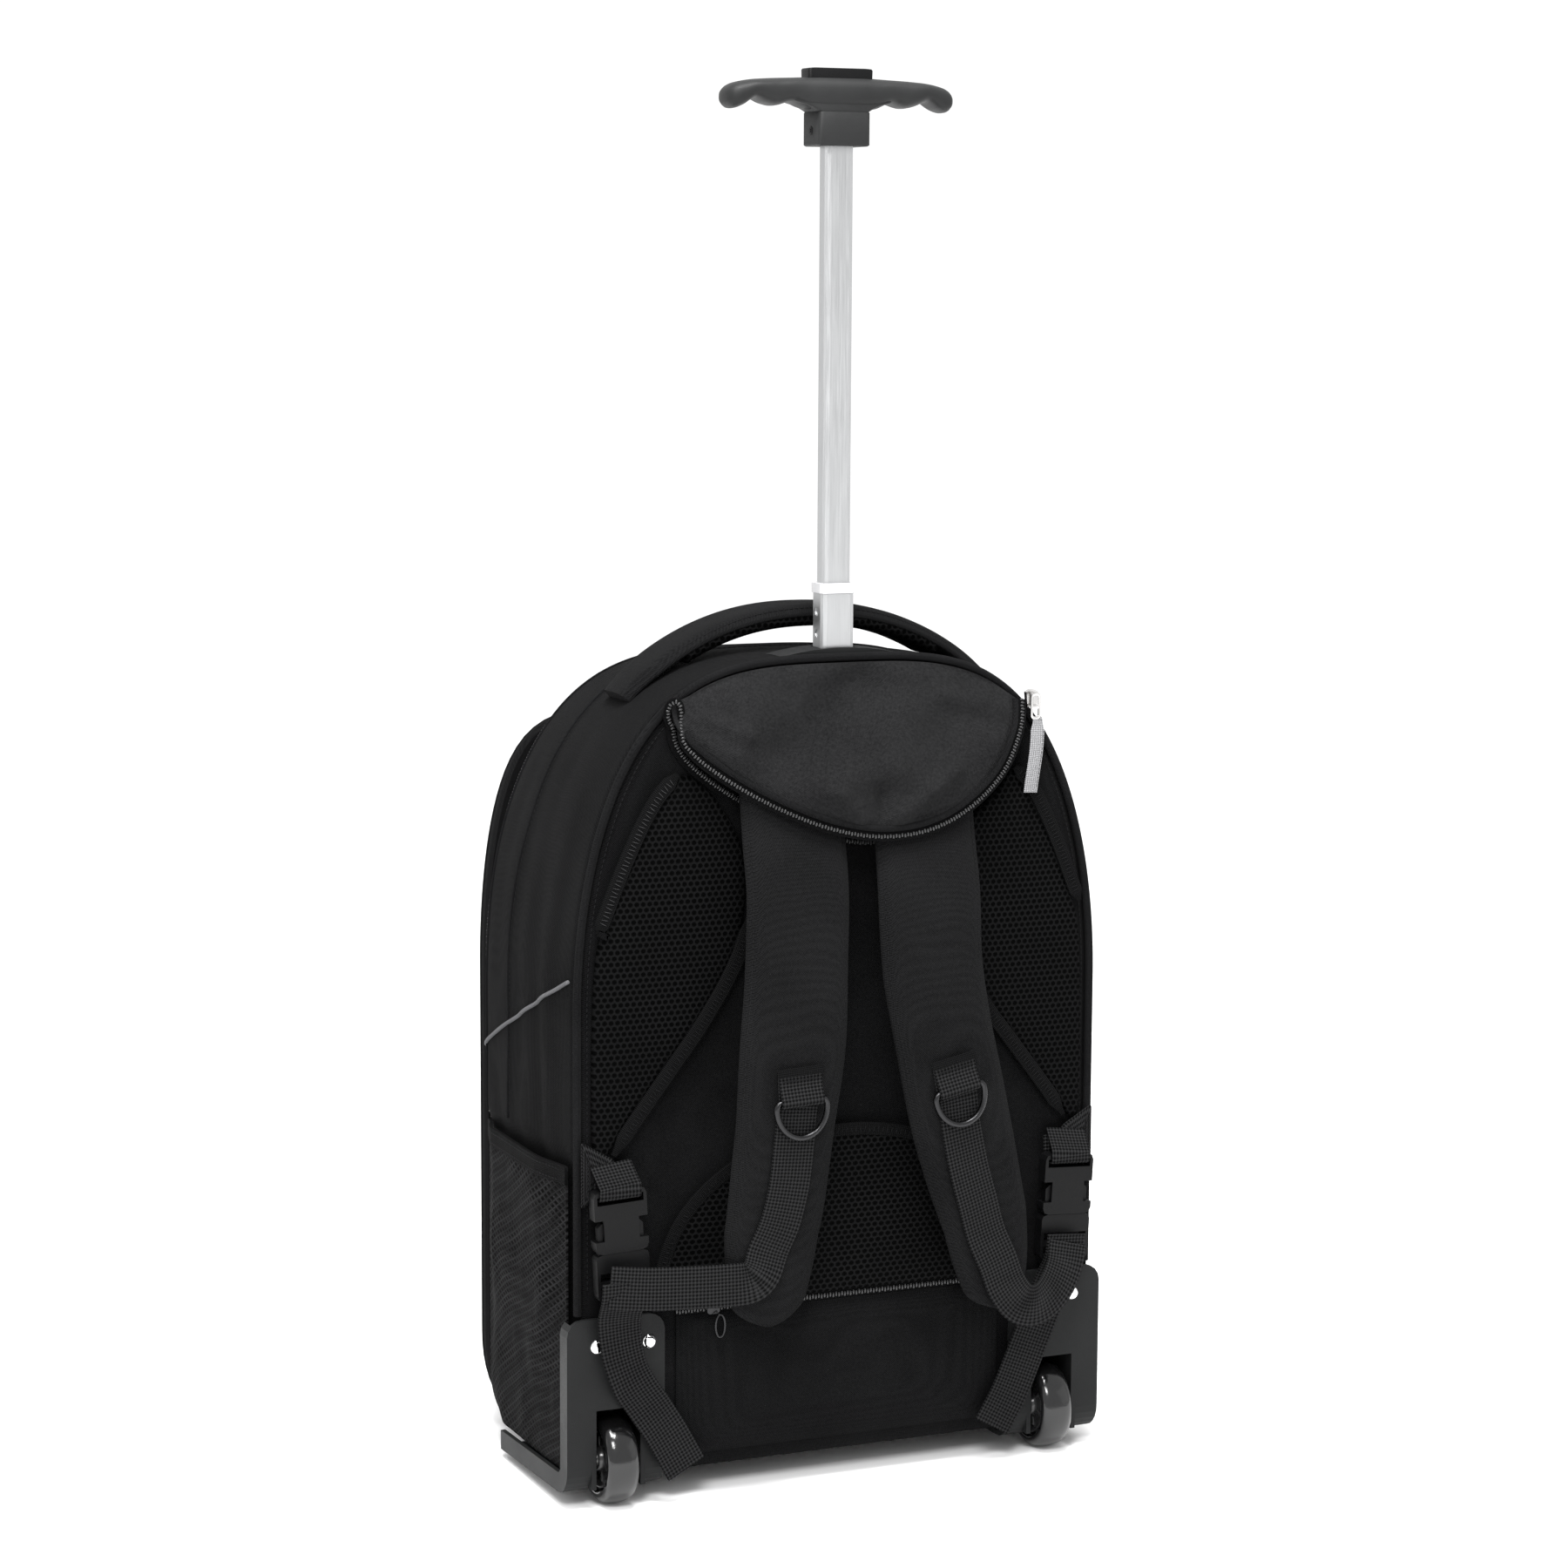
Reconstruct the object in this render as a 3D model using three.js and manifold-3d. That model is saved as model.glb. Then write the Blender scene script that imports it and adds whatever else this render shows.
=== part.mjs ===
// A wheeled backpack: a soft arched bag with two wheels, a telescopic pull handle, padded shoulder straps
// that come out from under a zip-off cover, mesh pads, side pockets and plastic corner guards.
// Millimetres, +Z up. The harness side faces -Y. While it is built, y = 0 is the plane of the back piping
// and z = 0 is the floor. The finished group is shifted so that y = 0 is the middle of its depth.
import * as THREE from "three";
import { mergeVertices } from "three/addons/utils/BufferGeometryUtils.js";
import Module from "manifold-3d";

const wasm = await Module();
wasm.setup();

// Bag body
const BODY_WIDTH = 340;
const BODY_HEIGHT = 505;
const MAIN_DEPTH = 165;
const POCKET_DEPTH = 35;
const ARCH_START = 300;
const ARCH_POWER = 3.5;
const BODY_CORNER = 34;
const REAR_CLEARANCE = 13;
const FRONT_CLEARANCE = 5;
const REAR_ROUND = 14;
const FRONT_ROUND = 25;
const SIDE_SWELL = 6;
const TOP_DROP = 8;
const FOLD_DEPTH = 2.2;
const WALL = 2.5;
const POCKET_WIDTH = 334;
const POCKET_HEIGHT = 460;
const POCKET_POWER = 8;
const POCKET_ROUND = 28;
const POCKET_WALL = 2;
const POCKET_SAG = 0.6;
const INSIDE_FOLD = 0.5;
const PIPING_RADIUS = 2.5;
const SIDE_POCKET_TOP = 208;
const SIDE_POCKET_BOTTOM = 24;
const SIDE_POCKET_GAP = 5;
const SIDE_POCKET_WALL = 1.5;
const SIDE_POCKET_BACK = 7.3;
const SIDE_POCKET_FRONT = 141.9;
const BINDING_HEIGHT = 11;
const SIDE_DENT = 5;
const CORD_LOW = 252.5;
const CORD_HIGH = 318.15;
const MAIN_ZIP_LOW = 151.5;
const CORD_RADIUS = 1.2;
const GAP = 0.3;

// Padded harness side
const PANEL_THICKNESS = 3.7;
const PANEL_FACE = -4;
const AIR_PAD_THICKNESS = 6;
const LUMBAR_THICKNESS = 8;
const LUMBAR_WIDTH = 244;
const LUMBAR_HEIGHT = 100;
const LUMBAR_POWER = 0.85;
const LOWER_POCKET_WIDTH = 214;
const LOWER_POCKET_HEIGHT = 86;
const LOWER_POCKET_THICKNESS = 6;
const LOWER_POCKET_CORNER = 32.1;
const ZIP_WIDTH = 5;
const ZIP_THICKNESS = 2;

// Strap cover
const FLAP_THICKNESS = 2;
const FLAP_DOME = 8;
const FLAP_REACH = 27;
const FLAP_STANDOFF = 2;
const COVER_TOP = 485.81;
const COVER_LOW = 402.485;
const COVER_MIDDLE = 448.31;
const RIM_DROP = 12;
const RIM_SHIFT = 3;
const RIM_STRETCH = 1.02;
const SLIDER_OFFSET = 10;
const SLIDER_BASE = 2.4;
const SLIDER_BRIDGE = 4.4;
const PULLER_LENGTH = 16;
const PULLER_WIDTH = 6.4;
const PULLER_ROUND = 2.8;
const PULLER_THICKNESS = 1.4;
const TAB_WIDTH = 11;
const TAB_LENGTH = 44;
const TAB_THICKNESS = 2.5;
const TAB_SWAY = 2.5;
const TAB_BOW = 0.8;

// Shoulder straps, webbing and rings
const STRAP_WIDTH = 66;
const STRAP_THICKNESS = 12;
const STRAP_STANDOFF = 30;
const STRAP_GAP = 0.7;
const WEBBING_WIDTH = 26;
const WEBBING_THICKNESS = 1.6;
const RING_WIRE = 3.6;
const RING_WIDTH = 36;
const RING_DROP = 26;
const RING_SHOULDER = 4;
const LOOP_TAIL = 13;

// Side release buckles
const BUCKLE_WIDTH = 33;
const BUCKLE_THICKNESS = 9;
const SOCKET_HEIGHT = 38;
const PLUG_HEIGHT = 28;
const PRONG_LENGTH = 16;
const BUCKLE_WALL = 2;
const BAR = 3.4;
const SLOT = 5;
const TAB_TRIANGLE = 40;
const TAB_REACH = 22;
const TAB_MIDDLE = 9;
const BUCKLE_STANDOFF = 1.2;
const PRONG_WIDTH = 5;
const GUIDE_WIDTH = 6;

// Corner guards and wheels
const GUARD_HEIGHT = 104;
const GUARD_WIDTH = 62;
const GUARD_WALL = 3;
const GUARD_FLANGE = 112;
const GUARD_LIP = 9;
const GUARD_CORNER = 10;
const GUARD_OVERHANG = 1;
const BEYOND = 60;
const RIVET_RADIUS = 4.5;
const RIVET_DOME = 2.6;
const RIVET_DROP = 17;
const RIVET_OUTER = 13.5;
const RIVET_INNER = -19.5;
const WHEEL_RADIUS = 27;
const WHEEL_WIDTH = 20.5;
const WHEEL_OFFSET = 144.5;
const WHEEL_DEPTH = 7;
const TYRE_HEIGHT = 9;
const AXLE_RADIUS = 3.5;
const AXLE_FIT = 0.4;
const WELL_GAP = 3.75;
const WELL_HEADROOM = 7;

// Pull handle
const TUBE_DEPTH = 12;
const TUBE_WALL = 1.2;
const TUBE_FIT = 0.5;
const TUBE_CORNER = 3;
const INNER_TUBE_WIDTH = 18;
const INNER_TUBE_DEPTH = 13;
const INNER_TUBE_LENGTH = 470;
const MIDDLE_TUBE_LENGTH = 480;
const OUTER_TUBE_BASE = 29.5;
const MIDDLE_REACH = 34;
const INNER_REACH = 256;
const TUBE_IN_SOCKET = 12;
const DIMPLE_RADIUS = 2.6;
const DIMPLE_DEPTH = 1.2;
const DIMPLE_DROPS = [11, 24];
const BUSHING_HEIGHT = 6;
const BUSHING_RIM = 0.8;
const TRAY_WIDTH = 120;
const TRAY_DEPTH = 23.4;
const TRAY_RISE = 8;
const TRAY_SEAT = 4;
const GRIP_WIDTH = 145;
const GRIP_DEPTH = 27;
const GRIP_RISE = 40;
const GRIP_POWER = 0.75;
const SOCKET_WIDTH = 33;
const SOCKET_DEPTH = 25;
const SOCKET_ROUND = 2.5;
const SOCKET_SHARE = 0.75;
const BUTTON_WIDTH = 42;
const BUTTON_DEPTH = 13;
const BUTTON_RISE = 6;
const BUTTON_TRAVEL = 4;
const BUTTON_SUNK = 6;
const BUTTON_ROUND = 2;
const BUTTON_BEVEL = 0.6;
const SCREW_RADIUS = 3;
const SCREW_LENGTH = 1.9;
const SCREW_RISE = 9;
const SCREW_SINK = 2.5;

// Carrying handle and feet
const HANDLE_SPAN = 236;
const HANDLE_RISE = 27;
const HANDLE_WIDTH = 42;
const HANDLE_THICKNESS = 14;
const HANDLE_DEPTH = 60;
const HANDLE_SEAT = 2.6;
const HANDLE_POWER = 2.2;
const HANDLE_ROUND = 0.9;
const HANDLE_TAPER = 0.15;
const FOOT_LENGTH = 24;
const FOOT_WIDTH = 40;
const FOOT_OFFSET = 108;
const FOOT_HEIGHT = 24;
const FOOT_ROUND = 4;

const HALF_WIDTH = BODY_WIDTH / 2;
const TOTAL_DEPTH = MAIN_DEPTH + POCKET_DEPTH;
const OUTLINE_STEPS = 19;
const INNER_STEPS = 12;
const ROUND_STEPS = 8;
const WHEEL_SIDES = 22;
const HUB_SIDES = 14;
const BAR_SIDES = 12;
const DIMPLE_SIDES = 8;
const RIVET_SIDES = 10;

// Materials: colour, roughness, metalness
const FINISHES = {
  fabric: [0x242426, 0.9, 0],
  padding: [0x262628, 0.9, 0],
  mesh: [0x1c1c1e, 0.85, 0],
  webbing: [0x202022, 0.8, 0],
  piping: [0x28282a, 0.85, 0],
  reflective: [0x77777a, 0.5, 0],
  zip: [0x3a3a3c, 0.6, 0.1],
  nickel: [0xb8b8ba, 0.3, 0.9],
  tab: [0x9a9a9e, 0.85, 0],
  guard: [0x4a4b4c, 0.5, 0],
  buckle: [0x2c2c2e, 0.45, 0],
  ring: [0x2e2e30, 0.4, 0.3],
  chrome: [0xd8d8da, 0.15, 1],
  tyre: [0x1e1e1f, 0.3, 0],
  hub: [0x8a8a8c, 0.35, 0.6],
  tube: [0xc8c9ca, 0.4, 0.7],
  bushing: [0xe0e0e0, 0.5, 0],
  grip: [0x3c3d3e, 0.5, 0],
};

const group = new THREE.Group();

function add(name, shape, finish) {
  const [color, roughness, metalness] = FINISHES[finish];
  const material = new THREE.MeshStandardMaterial({ color, roughness, metalness });
  const mesh = new THREE.Mesh(shape.isBufferGeometry ? shape : geometryOf(shape), material);
  mesh.name = name;
  group.add(mesh);
  return mesh;
}

// Solids and booleans

function solidOf(geometry) {
  const bare = geometry.clone();
  bare.deleteAttribute("normal");
  bare.deleteAttribute("uv");
  const merged = mergeVertices(bare, 1e-3);
  const vertProperties = merged.attributes.position.array;
  const triVerts = new Uint32Array(merged.index.array);
  return new wasm.Manifold(new wasm.Mesh({ numProp: 3, vertProperties, triVerts }));
}

function geometryOf(solid) {
  const { vertProperties, triVerts, numProp, numVert } = solid.getMesh();
  const positions = new Float32Array(numVert * 3);
  for (let i = 0; i < numVert; i++) {
    positions.set(vertProperties.subarray(i * numProp, i * numProp + 3), i * 3);
  }
  const geometry = new THREE.BufferGeometry();
  geometry.setAttribute("position", new THREE.BufferAttribute(positions, 3));
  geometry.setIndex(new THREE.BufferAttribute(triVerts, 1));
  return geometry;
}

const vector = (x, y, z) => new THREE.Vector3(x, y, z);
const lerp = THREE.MathUtils.lerp;

// A solid skinned over rings of the same number of points; closed joins the last ring to the first
function loft(rings, closed = false) {
  const size = rings[0].length;
  const points = rings.flat();
  const faces = [];
  const spans = closed ? rings.length : rings.length - 1;
  for (let i = 0; i < spans; i++) {
    const a = i * size;
    const b = ((i + 1) % rings.length) * size;
    for (let j = 0; j < size; j++) {
      const k = (j + 1) % size;
      faces.push(a + j, a + k, b + k, a + j, b + k, b + j);
    }
  }
  if (!closed) {
    for (const [start, first] of [[0, true], [(rings.length - 1) * size, false]]) {
      const ring = points.slice(start, start + size);
      const centre = ring.reduce((sum, p) => sum.add(p), vector(0, 0, 0)).divideScalar(size);
      const middle = points.push(centre) - 1;
      for (let j = 0; j < size; j++) {
        const k = (j + 1) % size;
        faces.push(start + (first ? k : j), start + (first ? j : k), middle);
      }
    }
  }
  const volume = (i) => points[faces[i]].dot(points[faces[i + 1]].clone().cross(points[faces[i + 2]]));
  let sum = 0;
  for (let i = 0; i < faces.length; i += 3) sum += volume(i);
  if (sum < 0) faces.reverse();
  const geometry = new THREE.BufferGeometry().setFromPoints(points);
  geometry.setIndex(faces);
  return geometry;
}

// A box from its middle and sizes
function block(x, y, z, width, depth, height) {
  return new THREE.BoxGeometry(width, depth, height).translate(x, y, z);
}

// A round bar along X
function barX(x, y, z, radius, length, sides) {
  return new THREE.CylinderGeometry(radius, radius, length, sides).rotateZ(Math.PI / 2).translate(x, y, z);
}

// A shape drawn in x and z, extruded along y from back to front
function slab(shape, back, thickness, curveSegments = 6) {
  const geometry = new THREE.ExtrudeGeometry(shape, { depth: thickness, bevelEnabled: false, curveSegments });
  return geometry.rotateX(Math.PI / 2).translate(0, back + thickness, 0);
}

function roundedRect(width, height, radius) {
  const x = width / 2;
  const y = height / 2;
  const shape = new THREE.Shape();
  shape.absarc(x - radius, y - radius, radius, 0, Math.PI / 2);
  shape.absarc(radius - x, y - radius, radius, Math.PI / 2, Math.PI);
  shape.absarc(radius - x, radius - y, radius, Math.PI, Math.PI * 1.5);
  shape.absarc(x - radius, radius - y, radius, Math.PI * 1.5, Math.PI * 2);
  shape.closePath();
  return shape;
}

// The value of a column at a place along a table that is sorted by its key column
function along(table, key, column, at) {
  let i = 1;
  while (i < table.length - 1 && table[i][key] < at) i++;
  const a = table[i - 1];
  const b = table[i];
  const share = THREE.MathUtils.clamp((at - a[key]) / (b[key] - a[key]), 0, 1);
  return lerp(a[column], b[column], share);
}

// The height of the arch at a distance from the middle
function archHeight(x) {
  const share = Math.min(1, Math.abs(x) / HALF_WIDTH);
  return ARCH_START + (BODY_HEIGHT - ARCH_START) * Math.sqrt(1 - Math.pow(share, ARCH_POWER));
}

// The underside rises a little from the front to the back
function floorAt(y) {
  return lerp(REAR_CLEARANCE, FRONT_CLEARANCE, y / TOTAL_DEPTH);
}

// Evenly spaced points round an arched outline, as x and z, from the bottom middle to the right
function archOutline({ half, bottom, top, start, power, corner }, steps = OUTLINE_STEPS) {
  const path = new THREE.Path();
  const corners = Math.max(1, corner);
  path.moveTo(0, bottom);
  path.lineTo(half - corners, bottom);
  path.absarc(half - corners, bottom + corners, corners, -Math.PI / 2, 0, false);
  const arcs = 40;
  for (let i = 0; i <= arcs; i++) {
    const angle = (i / arcs) * (Math.PI / 2);
    path.lineTo(half * Math.pow(Math.cos(angle), 2 / power), start + (top - start) * Math.sin(angle));
  }
  const right = path.getSpacedPoints(steps);
  const left = right.slice(1, -1).reverse().map((p) => new THREE.Vector2(-p.x, p.y));
  return right.concat(left);
}

// Main compartment sections from the piping to the front seam. Shares: depth of MAIN_DEPTH, swell of
// SIDE_SWELL outwards, drop of TOP_DROP, lift of REAR_ROUND at the bottom, fold of FOLD_DEPTH,
// inset of FRONT_ROUND
const MAIN_SECTIONS = [
  { depth: 0.0, swell: 0.0, drop: 0.0, lift: 0.95, fold: 0.0, inset: 0.06 },
  { depth: 0.018, swell: 0.1, drop: 0.0, lift: 0.5, fold: 0.0, inset: 0.0 },
  { depth: 0.05, swell: 0.2, drop: 0.0, lift: 0.14, fold: 0.0, inset: 0.0 },
  { depth: 0.1, swell: 0.4, drop: 0.0, lift: 0.0, fold: -0.5, inset: 0.0 },
  { depth: 0.18, swell: 0.7, drop: 0.05, lift: 0.0, fold: 0.7, inset: 0.0 },
  { depth: 0.27, swell: 0.85, drop: 0.1, lift: 0.0, fold: -0.9, inset: 0.0 },
  { depth: 0.37, swell: 0.95, drop: 0.2, lift: 0.0, fold: 0.8, inset: 0.0 },
  { depth: 0.47, swell: 1.0, drop: 0.3, lift: 0.0, fold: -0.9, inset: 0.0 },
  { depth: 0.57, swell: 1.0, drop: 0.45, lift: 0.0, fold: 0.6, inset: 0.0 },
  { depth: 0.68, swell: 1.0, drop: 0.6, lift: 0.0, fold: -0.8, inset: 0.0 },
  { depth: 0.8, swell: 0.9, drop: 0.8, lift: 0.0, fold: 0.4, inset: 0.0 },
  { depth: 0.88, swell: 0.7, drop: 0.9, lift: 0.0, fold: 0.0, inset: 0.05 },
  { depth: 0.94, swell: 0.4, drop: 1.0, lift: 0.0, fold: 0.0, inset: 0.2 },
  { depth: 0.98, swell: 0.1, drop: 1.0, lift: 0.0, fold: 0.0, inset: 0.46 },
  { depth: 1.0, swell: 0.0, drop: 1.0, lift: 0.0, fold: 0.0, inset: 0.8 },
];

// Upright folds fade out above the side walls and at the bottom
function foldFade(x, z) {
  const side = THREE.MathUtils.smoothstep(Math.abs(x) / HALF_WIDTH, 0.6, 0.95);
  return side * THREE.MathUtils.smoothstep(z, BODY_CORNER, BODY_CORNER * 2);
}

// The side wall lies deeper behind the side pockets
function dentFade(x, z) {
  const side = THREE.MathUtils.smoothstep(Math.abs(x) / HALF_WIDTH, 0.9, 0.98);
  const above = THREE.MathUtils.smoothstep(z - SIDE_POCKET_TOP, -BINDING_HEIGHT, BINDING_HEIGHT);
  return side * (1 - above);
}

function mainRing(row, grow, y, steps = OUTLINE_STEPS) {
  const inset = row.inset * FRONT_ROUND - grow;
  const outline = archOutline({
    half: HALF_WIDTH + row.swell * SIDE_SWELL - inset,
    bottom: floorAt(y) + row.lift * REAR_ROUND + inset,
    top: BODY_HEIGHT - row.drop * TOP_DROP - inset,
    start: ARCH_START,
    power: ARCH_POWER,
    corner: BODY_CORNER - inset,
  }, steps);
  return outline.map((p) => {
    const fold = row.fold * FOLD_DEPTH * foldFade(p.x, p.y) - SIDE_DENT * dentFade(p.x, p.y);
    return vector(p.x + fold * Math.sign(p.x), y, p.y);
  });
}

// The outside of the main compartment, grown by a clearance on every side
function mainForm(grow) {
  const rings = MAIN_SECTIONS.map((row, i) => {
    const last = i === MAIN_SECTIONS.length - 1;
    const end = last ? grow : i === 0 ? -grow : 0;
    return mainRing(row, grow, row.depth * MAIN_DEPTH + end);
  });
  return solidOf(loft(rings));
}

// The distance of the upright side wall from the middle at a depth
function sideWall(y) {
  const at = y / MAIN_DEPTH;
  const swell = along(MAIN_SECTIONS, "depth", "swell", at) * SIDE_SWELL;
  const fold = along(MAIN_SECTIONS, "depth", "fold", at) * FOLD_DEPTH;
  return HALF_WIDTH + swell + fold - along(MAIN_SECTIONS, "depth", "inset", at) * FRONT_ROUND;
}

const WELL_WIDTH = WHEEL_WIDTH + 2 * WELL_GAP;
const WELL_HEIGHT = WHEEL_RADIUS * 2 + WELL_HEADROOM;
const WELL_FRONT = WHEEL_DEPTH + WHEEL_RADIUS + WELL_GAP;
const TRAY_TOP = BODY_HEIGHT + TRAY_RISE;
const MIDDLE_TUBE_WIDTH = INNER_TUBE_WIDTH + 2 * (TUBE_WALL + TUBE_FIT);
const MIDDLE_TUBE_DEPTH = INNER_TUBE_DEPTH + 2 * (TUBE_WALL + TUBE_FIT);
const OUTER_TUBE_WIDTH = MIDDLE_TUBE_WIDTH + 2 * (TUBE_WALL + TUBE_FIT);
const OUTER_TUBE_DEPTH = MIDDLE_TUBE_DEPTH + 2 * (TUBE_WALL + TUBE_FIT);

// A block at a wheel that is open towards the back and the floor
function lowerBlock(side, width, front, top) {
  const depth = front + BEYOND;
  const height = top + BEYOND;
  return solidOf(block(side * WHEEL_OFFSET, depth / 2 - BEYOND, height / 2 - BEYOND, width, depth, height));
}

// The room that a wheel housing takes out of the bag's lower back corner
function wellCut(side, clearance) {
  const width = WELL_WIDTH + 2 * (GUARD_WALL + clearance);
  return lowerBlock(side, width, WELL_FRONT + GUARD_WALL + clearance, WELL_HEIGHT + GUARD_WALL + clearance);
}

function poleCut(bottom, top) {
  const width = OUTER_TUBE_WIDTH + 2 * GAP;
  const depth = OUTER_TUBE_DEPTH + 2 * GAP;
  return solidOf(block(0, TUBE_DEPTH, (bottom + top) / 2, width, depth, top - bottom));
}

function bagShell() {
  const inside = MAIN_SECTIONS.filter((row, i) => i % 3 === 0 || row.depth === 1).map((row, i, rows) => {
    const open = i === 0 ? -GAP : row.depth * MAIN_DEPTH;
    const y = i === rows.length - 1 ? MAIN_DEPTH - WALL : open;
    return mainRing({ ...row, fold: row.fold * INSIDE_FOLD }, -WALL - FOLD_DEPTH / 2, y, INNER_STEPS);
  });
  return mainForm(0)
    .subtract(solidOf(loft(inside)))
    .subtract(wellCut(1, GAP))
    .subtract(wellCut(-1, GAP))
    .subtract(poleCut(BODY_HEIGHT - 3 * FRONT_ROUND, BODY_HEIGHT + TRAY_RISE));
}

// Front pocket sections. Shares: depth of POCKET_DEPTH, inset of POCKET_ROUND
const POCKET_SECTIONS = [
  { depth: 0.0, inset: 0.05 },
  { depth: 0.2, inset: 0.0 },
  { depth: 0.45, inset: 0.12 },
  { depth: 0.7, inset: 0.35 },
  { depth: 0.88, inset: 0.65 },
  { depth: 1.0, inset: 1.1 },
];

function pocketForm(shrink, back, front, steps = OUTLINE_STEPS) {
  const rings = POCKET_SECTIONS.map((row) => {
    const y = lerp(back, front, row.depth);
    const inset = row.inset * POCKET_ROUND + shrink;
    return archOutline({
      half: POCKET_WIDTH / 2 - inset,
      bottom: floorAt(y) + inset * POCKET_SAG,
      top: POCKET_HEIGHT - inset,
      start: ARCH_START,
      power: POCKET_POWER,
      corner: BODY_CORNER - inset / 2,
    }, steps).map((p) => vector(p.x, y, p.y));
  });
  return solidOf(loft(rings));
}

function frontPocket() {
  const back = MAIN_DEPTH + GAP;
  const inside = pocketForm(POCKET_WALL, back - GAP, TOTAL_DEPTH - POCKET_WALL, INNER_STEPS);
  return pocketForm(0, back, TOTAL_DEPTH).subtract(inside);
}

// Pads and panels: an outline in x and z, with rows of shrink towards its middle and share of its thickness
const PAD_PROFILE = [
  { shrink: 0.35, height: 1.0 },
  { shrink: 0.72, height: 0.95 },
  { shrink: 0.93, height: 0.78 },
  { shrink: 1.0, height: 0.35 },
];

function crownedPad(outline, back, thickness, profile = PAD_PROFILE) {
  const middle = outline.reduce((sum, p) => sum.add(p), new THREE.Vector2()).divideScalar(outline.length);
  const ring = (shrink, y) =>
    outline.map((p) => vector(lerp(middle.x, p.x, shrink), y, lerp(middle.y, p.y, shrink)));
  const rings = profile.map((row) => ring(row.shrink, back - row.height * thickness));
  rings.push(ring(1, back));
  return loft(rings);
}

// Points of a smooth closed outline through a table of x and z shares of the half width and the height
function smoothOutline(table, count) {
  const corners = table.map((row) => vector(row.x * HALF_WIDTH, 0, row.z * BODY_HEIGHT));
  const curve = new THREE.CatmullRomCurve3(corners, true, "catmullrom", 0.4);
  return curve.getSpacedPoints(count).slice(0, -1).map((p) => new THREE.Vector2(p.x, p.z));
}

const FLAT_PROFILE = [
  { shrink: 0.5, height: 1.0 },
  { shrink: 0.97, height: 0.92 },
  { shrink: 1.0, height: 0.5 },
];

function backPanel() {
  const inset = 1.5 * PIPING_RADIUS + 2 * GAP;
  const outline = archOutline({
    half: HALF_WIDTH - inset,
    bottom: floorAt(0) + REAR_ROUND + inset,
    top: BODY_HEIGHT - inset,
    start: ARCH_START,
    power: ARCH_POWER,
    corner: BODY_CORNER - inset,
  });
  const panel = solidOf(crownedPad(outline, PANEL_FACE + PANEL_THICKNESS, PANEL_THICKNESS, FLAT_PROFILE));
  return panel.subtract(wellCut(1, GAP)).subtract(wellCut(-1, GAP));
}

// The piping runs over the arch from one corner guard to the other
function pipingPath() {
  const outline = archOutline({
    half: HALF_WIDTH - PIPING_RADIUS / 2,
    bottom: 0,
    top: BODY_HEIGHT - PIPING_RADIUS / 2,
    start: ARCH_START,
    power: ARCH_POWER,
    corner: 1,
  });
  const low = REAR_CLEARANCE + GUARD_HEIGHT + PIPING_RADIUS;
  const arch = outline.filter((p) => p.y > low + 3 * PIPING_RADIUS);
  const right = arch.filter((p) => p.x >= 0);
  const left = arch.filter((p) => p.x < 0);
  const foot = right[0].x;
  const points = [new THREE.Vector2(foot, low), ...right, ...left, new THREE.Vector2(-foot, low)];
  return points.map((p) => vector(p.x, -PIPING_RADIUS - GAP, p.y));
}

// A round or oval cord through points, as rings square to its course
function cordRings(points, radius, sides, closed = false) {
  return points.map((at, i) => {
    const before = points[closed ? (i + points.length - 1) % points.length : Math.max(0, i - 1)];
    const after = points[closed ? (i + 1) % points.length : Math.min(points.length - 1, i + 1)];
    const course = after.clone().sub(before).normalize();
    const up = Math.abs(course.y) > 0.8 ? vector(0, 0, 1) : vector(0, 1, 0);
    const side = course.clone().cross(up).normalize();
    const normal = side.clone().cross(course);
    return Array.from({ length: sides }, (_, k) => {
      const angle = ((k + 0.5) / sides) * Math.PI * 2;
      const out = side.clone().multiplyScalar(Math.cos(angle) * radius);
      return at.clone().add(out).addScaledVector(normal, Math.sin(angle) * radius);
    });
  });
}

// A flat band: each station has a place, a unit vector across the band and a width
function bandRings(stations, thickness, soft = false) {
  return stations.map(({ at, across, width }, i) => {
    const before = stations[Math.max(0, i - 1)].at;
    const after = stations[Math.min(stations.length - 1, i + 1)].at;
    const course = after.clone().sub(before).normalize();
    const side = across.clone().addScaledVector(course, -across.dot(course)).normalize();
    const normal = course.clone().cross(side).normalize();
    const w = width / 2;
    const t = thickness / 2;
    const shoulder = 1 - Math.min(0.3, (thickness * 0.75) / w);
    const corners = soft
      ? [[1, 0], [0.93, 0.62], [shoulder, 1], [-shoulder, 1], [-0.93, 0.62],
          [-1, 0], [-0.93, -0.62], [-shoulder, -1], [shoulder, -1], [0.93, -0.62]]
      : [[1, 1], [-1, 1], [-1, -1], [1, -1]];
    return corners.map(([x, y]) => at.clone().addScaledVector(side, x * w).addScaledVector(normal, y * t));
  });
}

function band(stations, thickness, soft) {
  return loft(bandRings(stations, thickness, soft));
}

// Mesh pads beside the straps. Shares: x of half BODY_WIDTH, z of BODY_HEIGHT
const AIR_PAD_OUTLINE = [
  { x: 0.6, z: 0.868 },
  { x: 0.7, z: 0.838 },
  { x: 0.795, z: 0.78 },
  { x: 0.88, z: 0.712 },
  { x: 0.93, z: 0.66 },
  { x: 0.945, z: 0.56 },
  { x: 0.945, z: 0.445 },
  { x: 0.915, z: 0.42 },
  { x: 0.82, z: 0.463 },
  { x: 0.69, z: 0.52 },
  { x: 0.55, z: 0.582 },
  { x: 0.43, z: 0.65 },
  { x: 0.38, z: 0.71 },
  { x: 0.39, z: 0.78 },
  { x: 0.48, z: 0.835 },
];

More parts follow.
